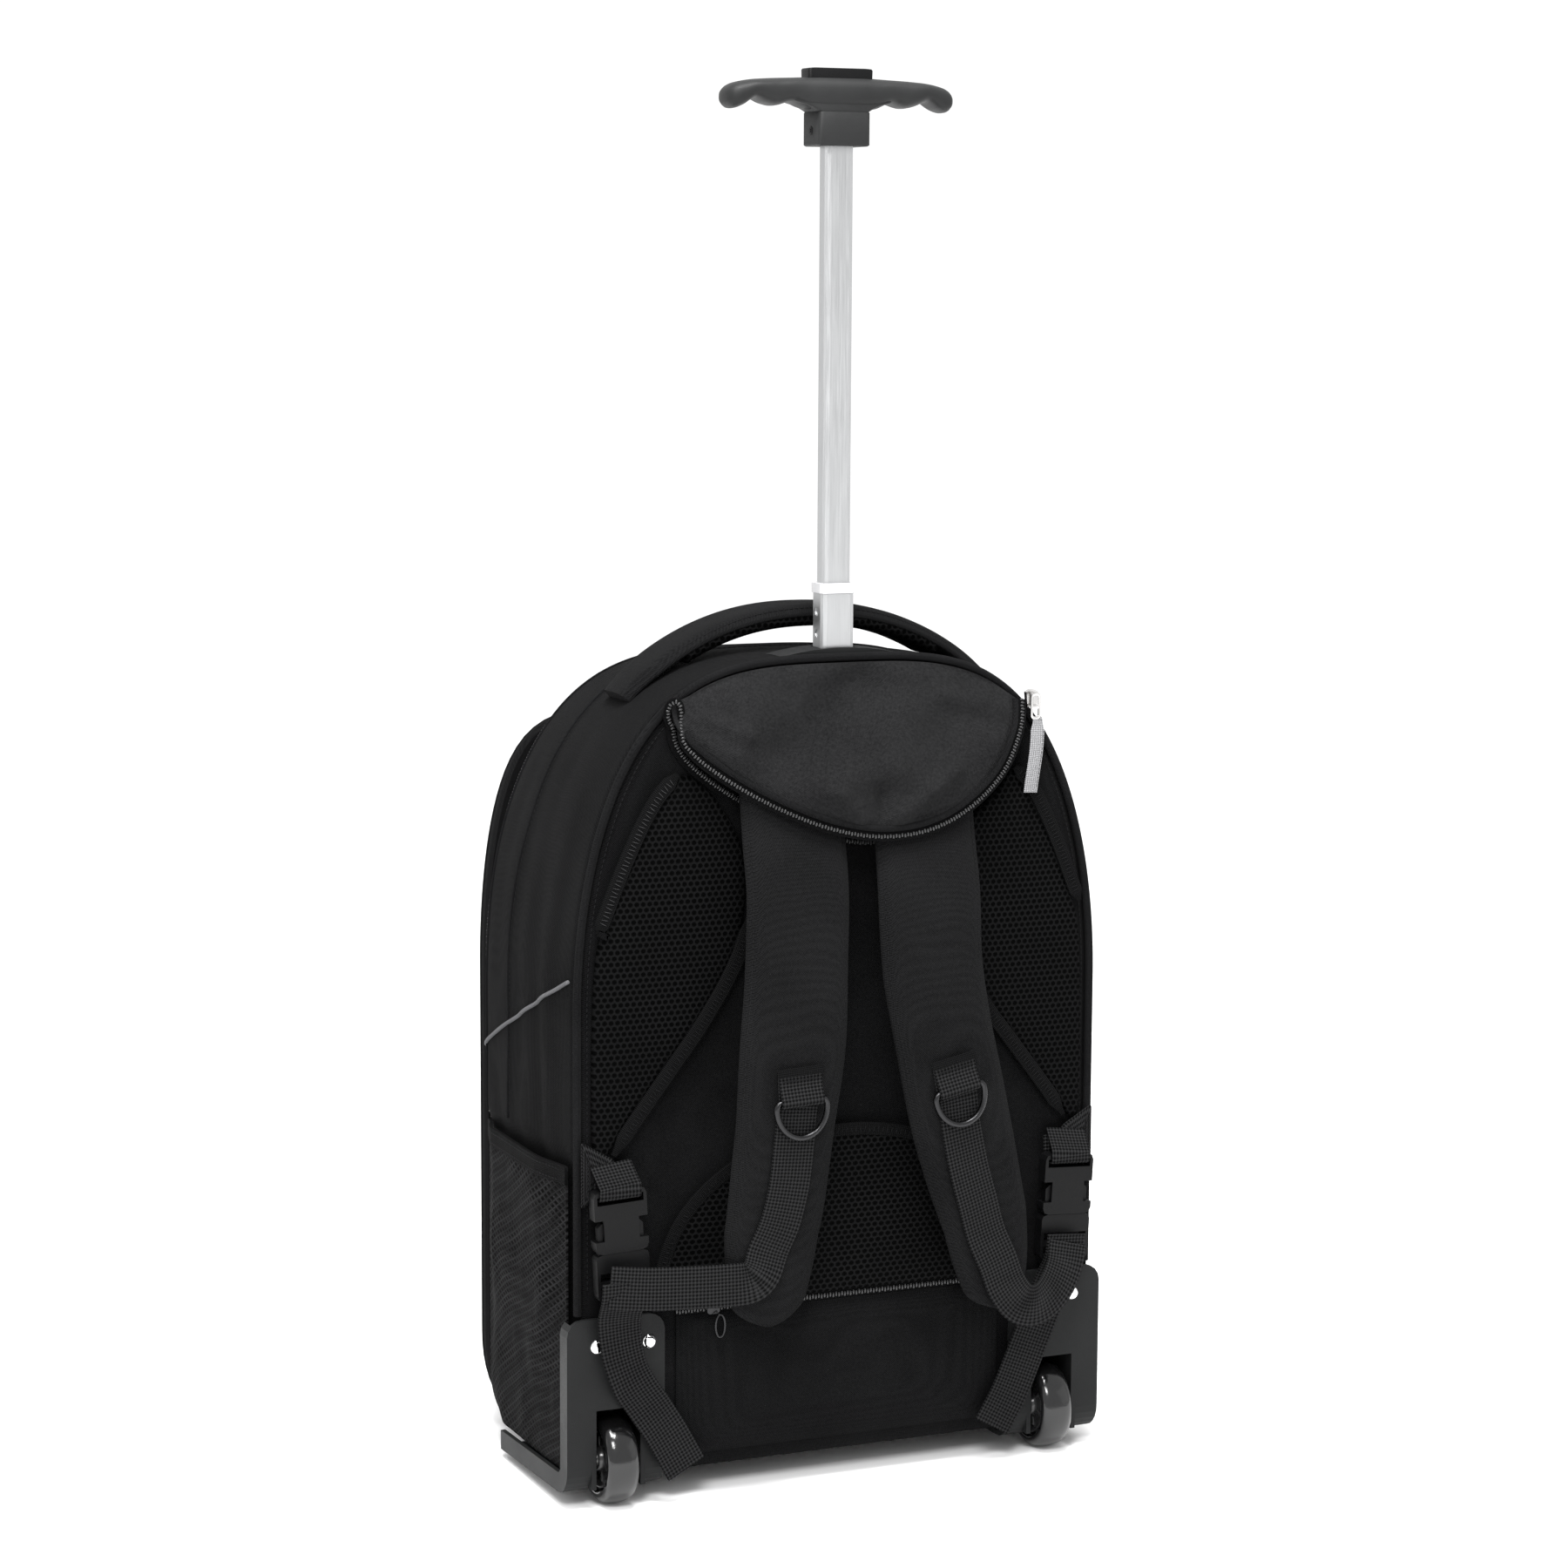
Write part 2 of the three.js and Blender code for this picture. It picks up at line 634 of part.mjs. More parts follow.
function airPad(side) {
  const table = AIR_PAD_OUTLINE.map((row) => ({ x: side * row.x, z: row.z }));
  const pad = crownedPad(smoothOutline(table, 22), PANEL_FACE - GAP, AIR_PAD_THICKNESS);
  return solidOf(pad).subtract(aboveRim());
}

const LOWER_TOP = REAR_CLEARANCE + REAR_ROUND + LOWER_POCKET_HEIGHT;
const LOWER_ZIP_HEIGHT = LOWER_TOP + GAP + ZIP_WIDTH / 2;

function lumbarPad() {
  const bottom = LOWER_ZIP_HEIGHT + ZIP_WIDTH / 2 + GAP;
  const steps = 14;
  const outline = [];
  for (let i = 0; i <= steps; i++) {
    const angle = (i / steps) * Math.PI;
    const x = (LUMBAR_WIDTH / 2) * Math.cos(angle);
    outline.push(new THREE.Vector2(x, bottom + LUMBAR_HEIGHT * Math.pow(Math.sin(angle), LUMBAR_POWER)));
  }
  outline.push(new THREE.Vector2(-LUMBAR_WIDTH / 4, bottom), new THREE.Vector2(LUMBAR_WIDTH / 4, bottom));
  return crownedPad(outline, PANEL_FACE - GAP, LUMBAR_THICKNESS);
}

function lowerPocket() {
  const bottom = LOWER_TOP - LOWER_POCKET_HEIGHT;
  const half = LOWER_POCKET_WIDTH / 2;
  const round = LOWER_POCKET_CORNER;
  const path = new THREE.Path();
  path.moveTo(-half, LOWER_TOP);
  path.absarc(round - half, bottom + round, round, Math.PI, Math.PI * 1.5);
  path.absarc(half - round, bottom + round, round, Math.PI * 1.5, Math.PI * 2);
  path.lineTo(half, LOWER_TOP);
  path.lineTo(-half, LOWER_TOP);
  const outline = path.getSpacedPoints(20).slice(0, -1);
  return crownedPad(outline, PANEL_FACE - GAP, LOWER_POCKET_THICKNESS);
}

function lowerZip() {
  const y = PANEL_FACE - GAP - ZIP_THICKNESS / 2;
  return block(0, y, LOWER_ZIP_HEIGHT, LOWER_POCKET_WIDTH, ZIP_THICKNESS, ZIP_WIDTH);
}

// Lower edge of the strap cover from left to right. Shares: x of half BODY_WIDTH, z of BODY_HEIGHT
const COVER_EDGE = [
  { x: -0.66, z: 0.95 },
  { x: -0.645, z: 0.925 },
  { x: -0.58, z: 0.897 },
  { x: -0.45, z: 0.864 },
  { x: -0.28, z: 0.832 },
  { x: -0.1, z: 0.808 },
  { x: 0.08, z: 0.797 },
  { x: 0.26, z: 0.802 },
  { x: 0.42, z: 0.824 },
  { x: 0.56, z: 0.861 },
  { x: 0.645, z: 0.907 },
  { x: 0.665, z: 0.94 },
];

// How far the cover stands off the panel at a height
function coverFace(z) {
  const share = THREE.MathUtils.clamp((COVER_TOP - z) / (COVER_TOP - COVER_LOW), 0, 1);
  return PANEL_FACE - FLAP_STANDOFF - FLAP_REACH * share;
}

function coverEdgeCurve() {
  const points = COVER_EDGE.map((row) => vector(row.x * HALF_WIDTH, 0, row.z * BODY_HEIGHT));
  return new THREE.CatmullRomCurve3(points, false, "catmullrom", 0.5);
}

function coverOutline() {
  const edge = coverEdgeCurve().getSpacedPoints(16).map((p) => new THREE.Vector2(p.x, p.z));
  const last = edge[edge.length - 1].x;
  const first = edge[0].x;
  const tops = [0.86, 0.6, 0.3, 0, -0.3, -0.6, -0.86].map((share) => {
    const x = share > 0 ? share * last : -share * first;
    return new THREE.Vector2(x, archHeight(x) - PIPING_RADIUS * 3);
  });
  return edge.concat(tops);
}

function strapFlap() {
  const outline = coverOutline();
  const ring = (shrink, inner) =>
    outline.map((p) => {
      const x = p.x * shrink;
      const z = lerp(COVER_MIDDLE, p.y, shrink);
      const dome = FLAP_DOME * (1 - Math.pow(shrink, 3));
      return vector(x, coverFace(z) - dome + inner, z);
    });
  const shrinks = [0.35, 0.78, 1];
  const outer = shrinks.map((s) => ring(s, 0));
  const inner = [...shrinks].reverse().map((s) => ring(s, FLAP_THICKNESS));
  return loft([...outer, ...inner]);
}

// Zip stations along a line in x and z, each across the line
function zipStations(points, move) {
  return points.map((p, i) => {
    const before = points[Math.max(0, i - 1)];
    const after = points[Math.min(points.length - 1, i + 1)];
    const course = after.clone().sub(before).normalize();
    const out = vector(course.z, 0, -course.x);
    return { at: move(p, out), across: out, width: ZIP_WIDTH };
  });
}

// The toothed zip half that hangs on the cover's edge
function flapZip() {
  const onCover = (p, out) => {
    const at = p.clone().addScaledVector(out, 2 * GAP + ZIP_WIDTH / 2);
    at.y = coverFace(p.z) + FLAP_THICKNESS / 2;
    return at;
  };
  return band(zipStations(coverEdgeCurve().getSpacedPoints(20), onCover), ZIP_THICKNESS);
}

// The other zip half, sewn to the panel under the cover's edge
function rimStations() {
  const edge = coverEdgeCurve().getSpacedPoints(18);
  const points = edge.map((p) => vector(p.x * RIM_STRETCH + RIM_SHIFT, 0, p.z - RIM_DROP));
  return zipStations(points, (p) => p.clone().setY(PANEL_FACE - GAP - ZIP_THICKNESS / 2));
}

function rimZip() {
  return band(rimStations(), ZIP_THICKNESS);
}

// All that lies above the sewn zip half, where the mesh pads end
function aboveRim() {
  const reach = ZIP_WIDTH / 2 + 2 * GAP;
  const edge = rimStations().map(({ at, across }) => at.clone().addScaledVector(across, reach));
  const shape = new THREE.Shape(edge.map((p) => new THREE.Vector2(p.x, p.z)));
  shape.lineTo(HALF_WIDTH, edge[edge.length - 1].z);
  shape.lineTo(HALF_WIDTH, BODY_HEIGHT);
  shape.lineTo(-HALF_WIDTH, BODY_HEIGHT);
  shape.lineTo(-HALF_WIDTH, edge[0].z);
  shape.closePath();
  const deep = AIR_PAD_THICKNESS * 2;
  return solidOf(slab(shape, PANEL_FACE - deep, deep));
}

const COVER_RIGHT = COVER_EDGE[COVER_EDGE.length - 1];
const SLIDER_X = COVER_RIGHT.x * HALF_WIDTH + SLIDER_OFFSET;
const SLIDER_Z = COVER_RIGHT.z * BODY_HEIGHT;
const SLIDER_Y = PANEL_FACE - GAP - ZIP_THICKNESS - SLIDER_BASE;

// Half of the slider's outline from its wide end to its narrow end
const SLIDER_OUTLINE = [
  { x: 3.2, z: -5 },
  { x: 4, z: 4 },
  { x: 1.4, z: 5.5 },
];
const SLIDER_THICKNESS = 3.4;
const SLIDER_BEHIND = 1.2;
const BRIDGE_WIDTH = 2;
const BRIDGE_LENGTH = 8;
const BRIDGE_HOLE = { width: 10, depth: 1.8, length: 5 };

function zipSlider() {
  const right = SLIDER_OUTLINE.map(({ x, z }) => new THREE.Vector2(x, z));
  const left = [...right].reverse().map((p) => new THREE.Vector2(-p.x, p.y));
  const wedge = solidOf(slab(new THREE.Shape([...right, ...left]), -SLIDER_BEHIND, SLIDER_THICKNESS));
  const y = -SLIDER_BRIDGE / 2;
  const bridge = solidOf(block(0, y, 0, BRIDGE_WIDTH, SLIDER_BRIDGE, BRIDGE_LENGTH));
  const { width, depth, length } = BRIDGE_HOLE;
  return wedge.add(bridge).subtract(solidOf(block(0, y, 0, width, depth, length)));
}

// Holes of the puller: the place of the middle above the puller's own, and half the width and height
const PULLER_HOLES = [
  { z: 3.8, width: 2, height: 2.6 },
  { z: -5, width: 2, height: 1.4 },
];

function zipPuller() {
  const shape = roundedRect(PULLER_WIDTH, PULLER_LENGTH, PULLER_ROUND);
  for (const { z, width, height } of PULLER_HOLES) {
    const hole = new THREE.Path();
    hole.absellipse(0, z, width, height, 0, Math.PI * 2, true);
    shape.holes.push(new THREE.Path(hole.getPoints(2)));
  }
  return slab(shape, 0, PULLER_THICKNESS, 1);
}

// The folded fabric tab hangs from the puller, a little bent
function zipTab() {
  const stations = [];
  const steps = 4;
  for (let i = 0; i <= steps; i++) {
    const share = i / steps;
    const at = vector(TAB_SWAY * share * share, -TAB_BOW * Math.sin(share * Math.PI), -TAB_LENGTH * share);
    stations.push({ at, across: vector(1, 0, 0), width: TAB_WIDTH });
  }
  return band(stations, TAB_THICKNESS);
}

// Shoulder straps from the top to the tip, for the strap on the left of the photo and on the right.
// Shares: z of BODY_HEIGHT, x of half BODY_WIDTH, width of STRAP_WIDTH, off of STRAP_STANDOFF
const STRAP_TABLE = {
  left: [
    { z: 0.888, x: -0.224, width: 1.0, off: 0.0 },
    { z: 0.865, x: -0.224, width: 1.0, off: 0.04 },
    { z: 0.843, x: -0.224, width: 1.0, off: 0.11 },
    { z: 0.8, x: -0.226, width: 1.0, off: 0.26 },
    { z: 0.725, x: -0.238, width: 0.99, off: 0.66 },
    { z: 0.63, x: -0.259, width: 1.0, off: 0.88 },
    { z: 0.55, x: -0.28, width: 1.03, off: 1.0 },
    { z: 0.455, x: -0.306, width: 0.97, off: 0.98 },
    { z: 0.35, x: -0.335, width: 0.94, off: 0.86 },
    { z: 0.295, x: -0.359, width: 0.87, off: 0.76 },
    { z: 0.245, x: -0.355, width: 0.64, off: 0.7 },
    { z: 0.222, x: -0.355, width: 0.36, off: 0.68 },
  ],
  right: [
    { z: 0.888, x: 0.282, width: 1.0, off: 0.0 },
    { z: 0.865, x: 0.28, width: 1.0, off: 0.04 },
    { z: 0.843, x: 0.279, width: 1.0, off: 0.11 },
    { z: 0.8, x: 0.276, width: 1.0, off: 0.26 },
    { z: 0.725, x: 0.265, width: 1.02, off: 0.66 },
    { z: 0.63, x: 0.265, width: 1.0, off: 0.88 },
    { z: 0.55, x: 0.3, width: 0.98, off: 1.0 },
    { z: 0.44, x: 0.375, width: 0.98, off: 0.98 },
    { z: 0.33, x: 0.475, width: 0.86, off: 0.86 },
    { z: 0.272, x: 0.535, width: 0.74, off: 0.76 },
    { z: 0.232, x: 0.552, width: 0.5, off: 0.7 },
    { z: 0.212, x: 0.556, width: 0.26, off: 0.68 },
  ],
};
const STRAP_BACK = PANEL_FACE - STRAP_GAP;
const SLOPE_REACH = 0.03;

function strapPlace(row) {
  const y = STRAP_BACK - row.off * STRAP_STANDOFF - STRAP_THICKNESS / 2;
  return vector(row.x * HALF_WIDTH, y, row.z * BODY_HEIGHT);
}

function shoulderStrap(name) {
  const stations = STRAP_TABLE[name].map((row) => ({
    at: strapPlace(row),
    across: vector(1, 0, 0),
    width: row.width * STRAP_WIDTH,
  }));
  return band(stations, STRAP_THICKNESS, true);
}

// The middle line of a strap's face at a height share, as x, y and the lean of its course
function strapFace(name, share) {
  const rows = [...STRAP_TABLE[name]].reverse();
  const place = (z) => {
    const off = along(rows, "z", "off", z);
    const x = along(rows, "z", "x", z);
    return vector(x * HALF_WIDTH, STRAP_BACK - off * STRAP_STANDOFF - STRAP_THICKNESS, z * BODY_HEIGHT);
  };
  const at = place(share);
  const course = place(share - SLOPE_REACH).sub(place(share + SLOPE_REACH)).normalize();
  return { at, course };
}

// Webbing from the ring's loop down the strap, round its end and across to the buckle, then the free tail.
// Strap rows, shares: z of BODY_HEIGHT, shift of half BODY_WIDTH off the strap's middle line
// Free rows, shares: x of half BODY_WIDTH, z of BODY_HEIGHT, off of STRAP_STANDOFF, turn in degrees
const WEBBING = {
  left: {
    onStrap: [
      { z: 0.475, shift: 0.018 },
      { z: 0.44, shift: 0.02 },
      { z: 0.39, shift: 0.02 },
      { z: 0.345, shift: 0.005 },
      { z: 0.312, shift: -0.018 },
    ],
    free: [
      { x: -0.4, z: 0.288, off: 1.29, turn: -42 },
      { x: -0.44, z: 0.277, off: 1.28, turn: -72 },
      { x: -0.53, z: 0.275, off: 1.22, turn: -88 },
      { x: -0.66, z: 0.275, off: 1.1, turn: -90 },
      { x: -0.8, z: 0.276, off: 0.94, turn: -92 },
      { x: -0.93, z: 0.28, off: 0.82, turn: -94 },
    ],
    tail: [
      { x: -0.876, z: 0.285, off: 0.88, turn: -14 },
      { x: -0.87, z: 0.262, off: 0.8, turn: -18 },
      { x: -0.845, z: 0.23, off: 0.42, turn: -26 },
      { x: -0.8, z: 0.19, off: 0.33, turn: -28 },
      { x: -0.75, z: 0.145, off: 0.3, turn: -28 },
      { x: -0.685, z: 0.092, off: 0.3, turn: -22 },
      { x: -0.63, z: 0.042, off: 0.3, turn: -20 },
    ],
  },
  right: {
    onStrap: [
      { z: 0.475, shift: -0.01 },
      { z: 0.44, shift: -0.022 },
      { z: 0.39, shift: -0.03 },
      { z: 0.345, shift: -0.03 },
      { z: 0.305, shift: -0.032 },
    ],
    free: [
      { x: 0.515, z: 0.27, off: 1.3, turn: 26 },
      { x: 0.555, z: 0.238, off: 1.28, turn: 40 },
      { x: 0.615, z: 0.214, off: 1.22, turn: 62 },
      { x: 0.69, z: 0.208, off: 1.14, turn: 92 },
      { x: 0.765, z: 0.22, off: 1.02, turn: 122 },
      { x: 0.82, z: 0.246, off: 0.9, turn: 145 },
      { x: 0.845, z: 0.275, off: 0.8, turn: 165 },
    ],
    tail: [
      { x: 0.84, z: 0.285, off: 0.77, turn: -10 },
      { x: 0.835, z: 0.26, off: 0.72, turn: -4 },
      { x: 0.82, z: 0.23, off: 0.5, turn: -14 },
      { x: 0.785, z: 0.19, off: 0.36, turn: -22 },
      { x: 0.735, z: 0.145, off: 0.3, turn: -26 },
      { x: 0.665, z: 0.09, off: 0.3, turn: -26 },
      { x: 0.59, z: 0.045, off: 0.3, turn: -28 },
    ],
  },
};

// Across a band whose course points down and is turned by an angle towards the right
function acrossTurn(degrees) {
  const angle = THREE.MathUtils.degToRad(degrees);
  return vector(Math.cos(angle), 0, Math.sin(angle));
}

function freeStations(rows) {
  return rows.map((row) => ({
    at: vector(row.x * HALF_WIDTH, STRAP_BACK - row.off * STRAP_STANDOFF, row.z * BODY_HEIGHT),
    across: acrossTurn(row.turn),
    width: WEBBING_WIDTH,
  }));
}

function strapWebbing(name) {
  const { onStrap, free, tail } = WEBBING[name];
  const lying = onStrap.map((row) => {
    const { at, course } = strapFace(name, row.z);
    at.x += row.shift * HALF_WIDTH;
    at.y -= 3 * GAP + WEBBING_THICKNESS / 2;
    return { at, across: vector(-course.z, 0, course.x), width: WEBBING_WIDTH };
  });
  const course = solidOf(band([...lying, ...freeStations(free)], WEBBING_THICKNESS));
  return course.add(solidOf(band(freeStations(tail), WEBBING_THICKNESS)));
}

// D rings: the straight bar lies in a webbing loop sewn to the strap, and the bow hangs below it.
// Shares: z of BODY_HEIGHT, shift of half BODY_WIDTH, and the lean in degrees
const RINGS = {
  left: { z: 0.492, shift: 0.024, lean: 3 },
  right: { z: 0.49, shift: -0.01, lean: 12 },
};

function ringPlace(name) {
  const { z, shift, lean } = RINGS[name];
  const { at } = strapFace(name, z);
  at.x += shift * HALF_WIDTH;
  at.y -= 5 * GAP + WEBBING_THICKNESS + RING_WIRE / 2 + 0.1;
  return { at, lean: THREE.MathUtils.degToRad(lean) };
}

function dRing() {
  const half = RING_WIDTH / 2 - RING_WIRE / 2;
  const bow = RING_DROP - RING_WIRE - RING_SHOULDER;
  const bend = RING_WIRE / 2;
  const points = [vector(0, 0, 0), vector(half / 2, 0, 0), vector(half - bend, 0, -GAP)];
  points.push(vector(half, 0, -bend - GAP));
  const steps = 6;
  for (let i = 0; i <= steps; i++) {
    const angle = (i / steps) * Math.PI;
    points.push(vector(half * Math.cos(angle), 0, -RING_SHOULDER - bow * Math.sin(angle)));
  }
  points.push(vector(-half, 0, -bend - GAP), vector(bend - half, 0, -GAP), vector(-half / 2, 0, 0));
  return loft(cordRings(points, RING_WIRE / 2, 5, true), true);
}

// The webbing loop round the ring's bar, with its tail sewn up the strap
function dLoop(name) {
  const { at, lean } = ringPlace(name);
  const inner = RING_WIRE / 2 + GAP;
  const middle = inner + WEBBING_THICKNESS / 2;
  const stations = [];
  const width = RING_WIDTH - 2.5 * RING_WIRE;
  const across = vector(Math.cos(lean), 0, Math.sin(lean));
  const up = vector(-Math.sin(lean), 0, Math.cos(lean));
  const put = (y, z) => {
    stations.push({ at: at.clone().addScaledVector(up, z).add(vector(0, y, 0)), across, width });
  };
  put(middle, LOOP_TAIL);
  for (let i = 0; i <= 6; i++) {
    const angle = (i / 6) * Math.PI;
    put(middle * Math.cos(angle), -middle * Math.sin(angle));
  }
  put(middle - 2.5 * WEBBING_THICKNESS, LOOP_TAIL / 2);
  put(middle - WEBBING_THICKNESS, LOOP_TAIL);
  return solidOf(band(stations, WEBBING_THICKNESS));
}

// Buckles. Places of the middle of the socket's lower edge, shares: x of half BODY_WIDTH, z of BODY_HEIGHT
const BUCKLES = {
  left: { x: -0.862, z: 0.316, lean: -3, side: -1 },
  right: { x: 0.862, z: 0.306, lean: 3, side: 1 },
};
const BUCKLE_BACK = PANEL_FACE - AIR_PAD_THICKNESS - BUCKLE_STANDOFF;

const BUCKLE_INSIDE = BUCKLE_WIDTH - 2 * BUCKLE_WALL;
const BUCKLE_HOLLOW = BUCKLE_THICKNESS - 2 * BUCKLE_WALL;
const SOCKET_DEEP = SOCKET_HEIGHT - SLOT - BAR - 2 * BUCKLE_WALL;
const BUCKLE_MIDDLE = -BUCKLE_THICKNESS / 2;

// A slot right through a buckle, round a height
function buckleSlot(z) {
  return solidOf(block(0, BUCKLE_MIDDLE, z, BUCKLE_INSIDE, 2 * BUCKLE_THICKNESS, SLOT));
}

function buckleSocket() {
  const body = roundedRect(BUCKLE_WIDTH, SOCKET_HEIGHT, 2 * BUCKLE_WALL);
  const shell = slab(body, -BUCKLE_THICKNESS, BUCKLE_THICKNESS, 1).translate(0, 0, SOCKET_HEIGHT / 2);
  const mouth = block(0, BUCKLE_MIDDLE, SOCKET_DEEP / 2 - 1, BUCKLE_INSIDE, BUCKLE_HOLLOW, SOCKET_DEEP + 2);
  let solid = solidOf(shell).subtract(solidOf(mouth)).subtract(buckleSlot(SOCKET_HEIGHT - BAR - SLOT / 2));
  // The windows at both sides, where the prongs are pressed
  for (const x of [-BUCKLE_WIDTH / 2, BUCKLE_WIDTH / 2]) {
    const z = SOCKET_DEEP * 0.55;
    const window = block(x, BUCKLE_MIDDLE, z, BUCKLE_WIDTH / 3, 2 * BUCKLE_THICKNESS, SOCKET_DEEP / 2);
    solid = solid.subtract(solidOf(window));
  }
  return solid;
}

function bucklePlug() {
  const hollow = BUCKLE_HOLLOW - 2 * GAP;
  const top = -GAP;
  const frame = roundedRect(BUCKLE_WIDTH, PLUG_HEIGHT, 1.5 * BUCKLE_WALL);
  const thickness = BUCKLE_THICKNESS - BUCKLE_WALL / 2;
  const low = BUCKLE_MIDDLE - thickness / 2;
  let solid = solidOf(slab(frame, low, thickness, 1).translate(0, 0, top - PLUG_HEIGHT / 2));
  for (const up of [SLOT / 2 + BAR, SLOT * 1.5 + 2 * BAR]) {
    solid = solid.subtract(buckleSlot(top - PLUG_HEIGHT + up));
  }
  const guide = block(0, BUCKLE_MIDDLE, top + PRONG_LENGTH / 2 - 1, GUIDE_WIDTH, hollow, PRONG_LENGTH + 2);
  solid = solid.add(solidOf(guide));
  const out = BUCKLE_INSIDE / 2 - GAP;
  const outline = [
    [out - PRONG_WIDTH + 1, top - 1],
    [out, top - 1],
    [out, top + PRONG_LENGTH],
    [out - PRONG_WIDTH / 2, top + PRONG_LENGTH + PRONG_WIDTH / 2],
    [out - PRONG_WIDTH, top + PRONG_LENGTH + 1],
    [out - PRONG_WIDTH / 2, top + PRONG_LENGTH / 2],
  ];
  for (const side of [1, -1]) {
    const prong = new THREE.Shape(outline.map(([x, z]) => new THREE.Vector2(side * x, z)));
    solid = solid.add(solidOf(slab(prong, BUCKLE_MIDDLE - hollow / 2, hollow)));
  }
  return solid;
}

// A sewn triangle at the side seam, with a webbing loop down to the socket's bar
function anchorTab(name) {
  const { x, z, lean, side } = BUCKLES[name];
  const tilt = THREE.MathUtils.degToRad(lean);
  const rise = SOCKET_HEIGHT - BAR / 2;
  const bar = vector(x * HALF_WIDTH, BUCKLE_BACK + BUCKLE_MIDDLE, z * BODY_HEIGHT);
  bar.x += rise * Math.sin(tilt);
  bar.z += rise * Math.cos(tilt);
  const reach = BUCKLE_THICKNESS / 2 + 2 * GAP + WEBBING_THICKNESS / 2;
  const drop = BAR / 2 + GAP * 5 + WEBBING_THICKNESS / 2;
  const behind = BUCKLE_BACK + 2 * GAP + WEBBING_THICKNESS;
  const across = vector(Math.cos(tilt), 0, -Math.sin(tilt));
  const width = BUCKLE_INSIDE - BAR;
  const stations = [{ at: vector(bar.x, behind, bar.z + 2 * BAR), across, width }];
  const steps = 6;
  for (let i = 0; i <= steps; i++) {
    const angle = (i / steps) * Math.PI;
    const y = reach * Math.sign(Math.cos(angle)) * Math.sqrt(Math.abs(Math.cos(angle)));
    const low = -drop * Math.sqrt(Math.sin(angle));
    stations.push({ at: vector(bar.x, bar.y + y, bar.z + low), across, width });
  }
  stations.push({ at: vector(bar.x, bar.y - reach, bar.z + BAR), across, width });
  const back = behind - WEBBING_THICKNESS / 2;
  stations.push({ at: vector(bar.x, back, bar.z + 5 * BAR), across, width });
  const loop = solidOf(band(stations, WEBBING_THICKNESS));
  const middle = bar.z + TAB_MIDDLE;
  const tip = HALF_WIDTH - TAB_REACH;
  const tab = new THREE.Shape();
  tab.moveTo(side * HALF_WIDTH, middle + TAB_TRIANGLE / 2);
  tab.lineTo(side * tip, middle + TAB_TRIANGLE / 5);
  tab.lineTo(side * tip, middle - TAB_TRIANGLE / 10);
  tab.lineTo(side * HALF_WIDTH, middle - TAB_TRIANGLE / 2);
  tab.closePath();
  const sewn = PANEL_FACE - back;
  const x0 = side * (HALF_WIDTH - TAB_REACH / 2);
  const foot = block(x0, back + sewn / 2, middle, TAB_REACH / 3, sewn, TAB_TRIANGLE / 3);
  return loop.add(solidOf(slab(tab, back, WEBBING_THICKNESS))).add(solidOf(foot));
}

const GUARD_FACE = PANEL_FACE - GAP - GUARD_WALL;
const GUARD_TOP = REAR_CLEARANCE + GUARD_HEIGHT;

// Corner guard: a plate on the back, bent round under the bag, with a side lip and the wheel's housing
function guardProfile(depth) {
  const low = floorAt(REAR_ROUND) - GAP - GUARD_WALL;
  const lowFront = floorAt(GUARD_FLANGE) - GAP - GUARD_WALL;
  const radius = REAR_ROUND + GUARD_WALL;
  const inner = Math.max(1, radius - depth);
  const shape = new THREE.Shape();
  shape.moveTo(GUARD_FACE, GUARD_TOP);
  shape.lineTo(GUARD_FACE, low + radius);
  shape.absarc(GUARD_FACE + radius, low + radius, radius, Math.PI, Math.PI * 1.5, false);
  shape.lineTo(GUARD_FLANGE, lowFront);
  shape.lineTo(GUARD_FLANGE, lowFront + depth);
  shape.lineTo(GUARD_FACE + depth + inner, low + depth);
  shape.absarc(GUARD_FACE + depth + inner, low + depth + inner, inner, Math.PI * 1.5, Math.PI, true);
  shape.lineTo(GUARD_FACE + depth, GUARD_TOP);
  shape.closePath();
  return shape;
}

function extrudeX(shape, from, to) {
  const options = { depth: Math.abs(to - from), bevelEnabled: false, curveSegments: 3 };
  const geometry = new THREE.ExtrudeGeometry(shape, options).rotateX(Math.PI / 2).rotateZ(Math.PI / 2);
  return geometry.translate(Math.min(from, to), 0, 0);
}

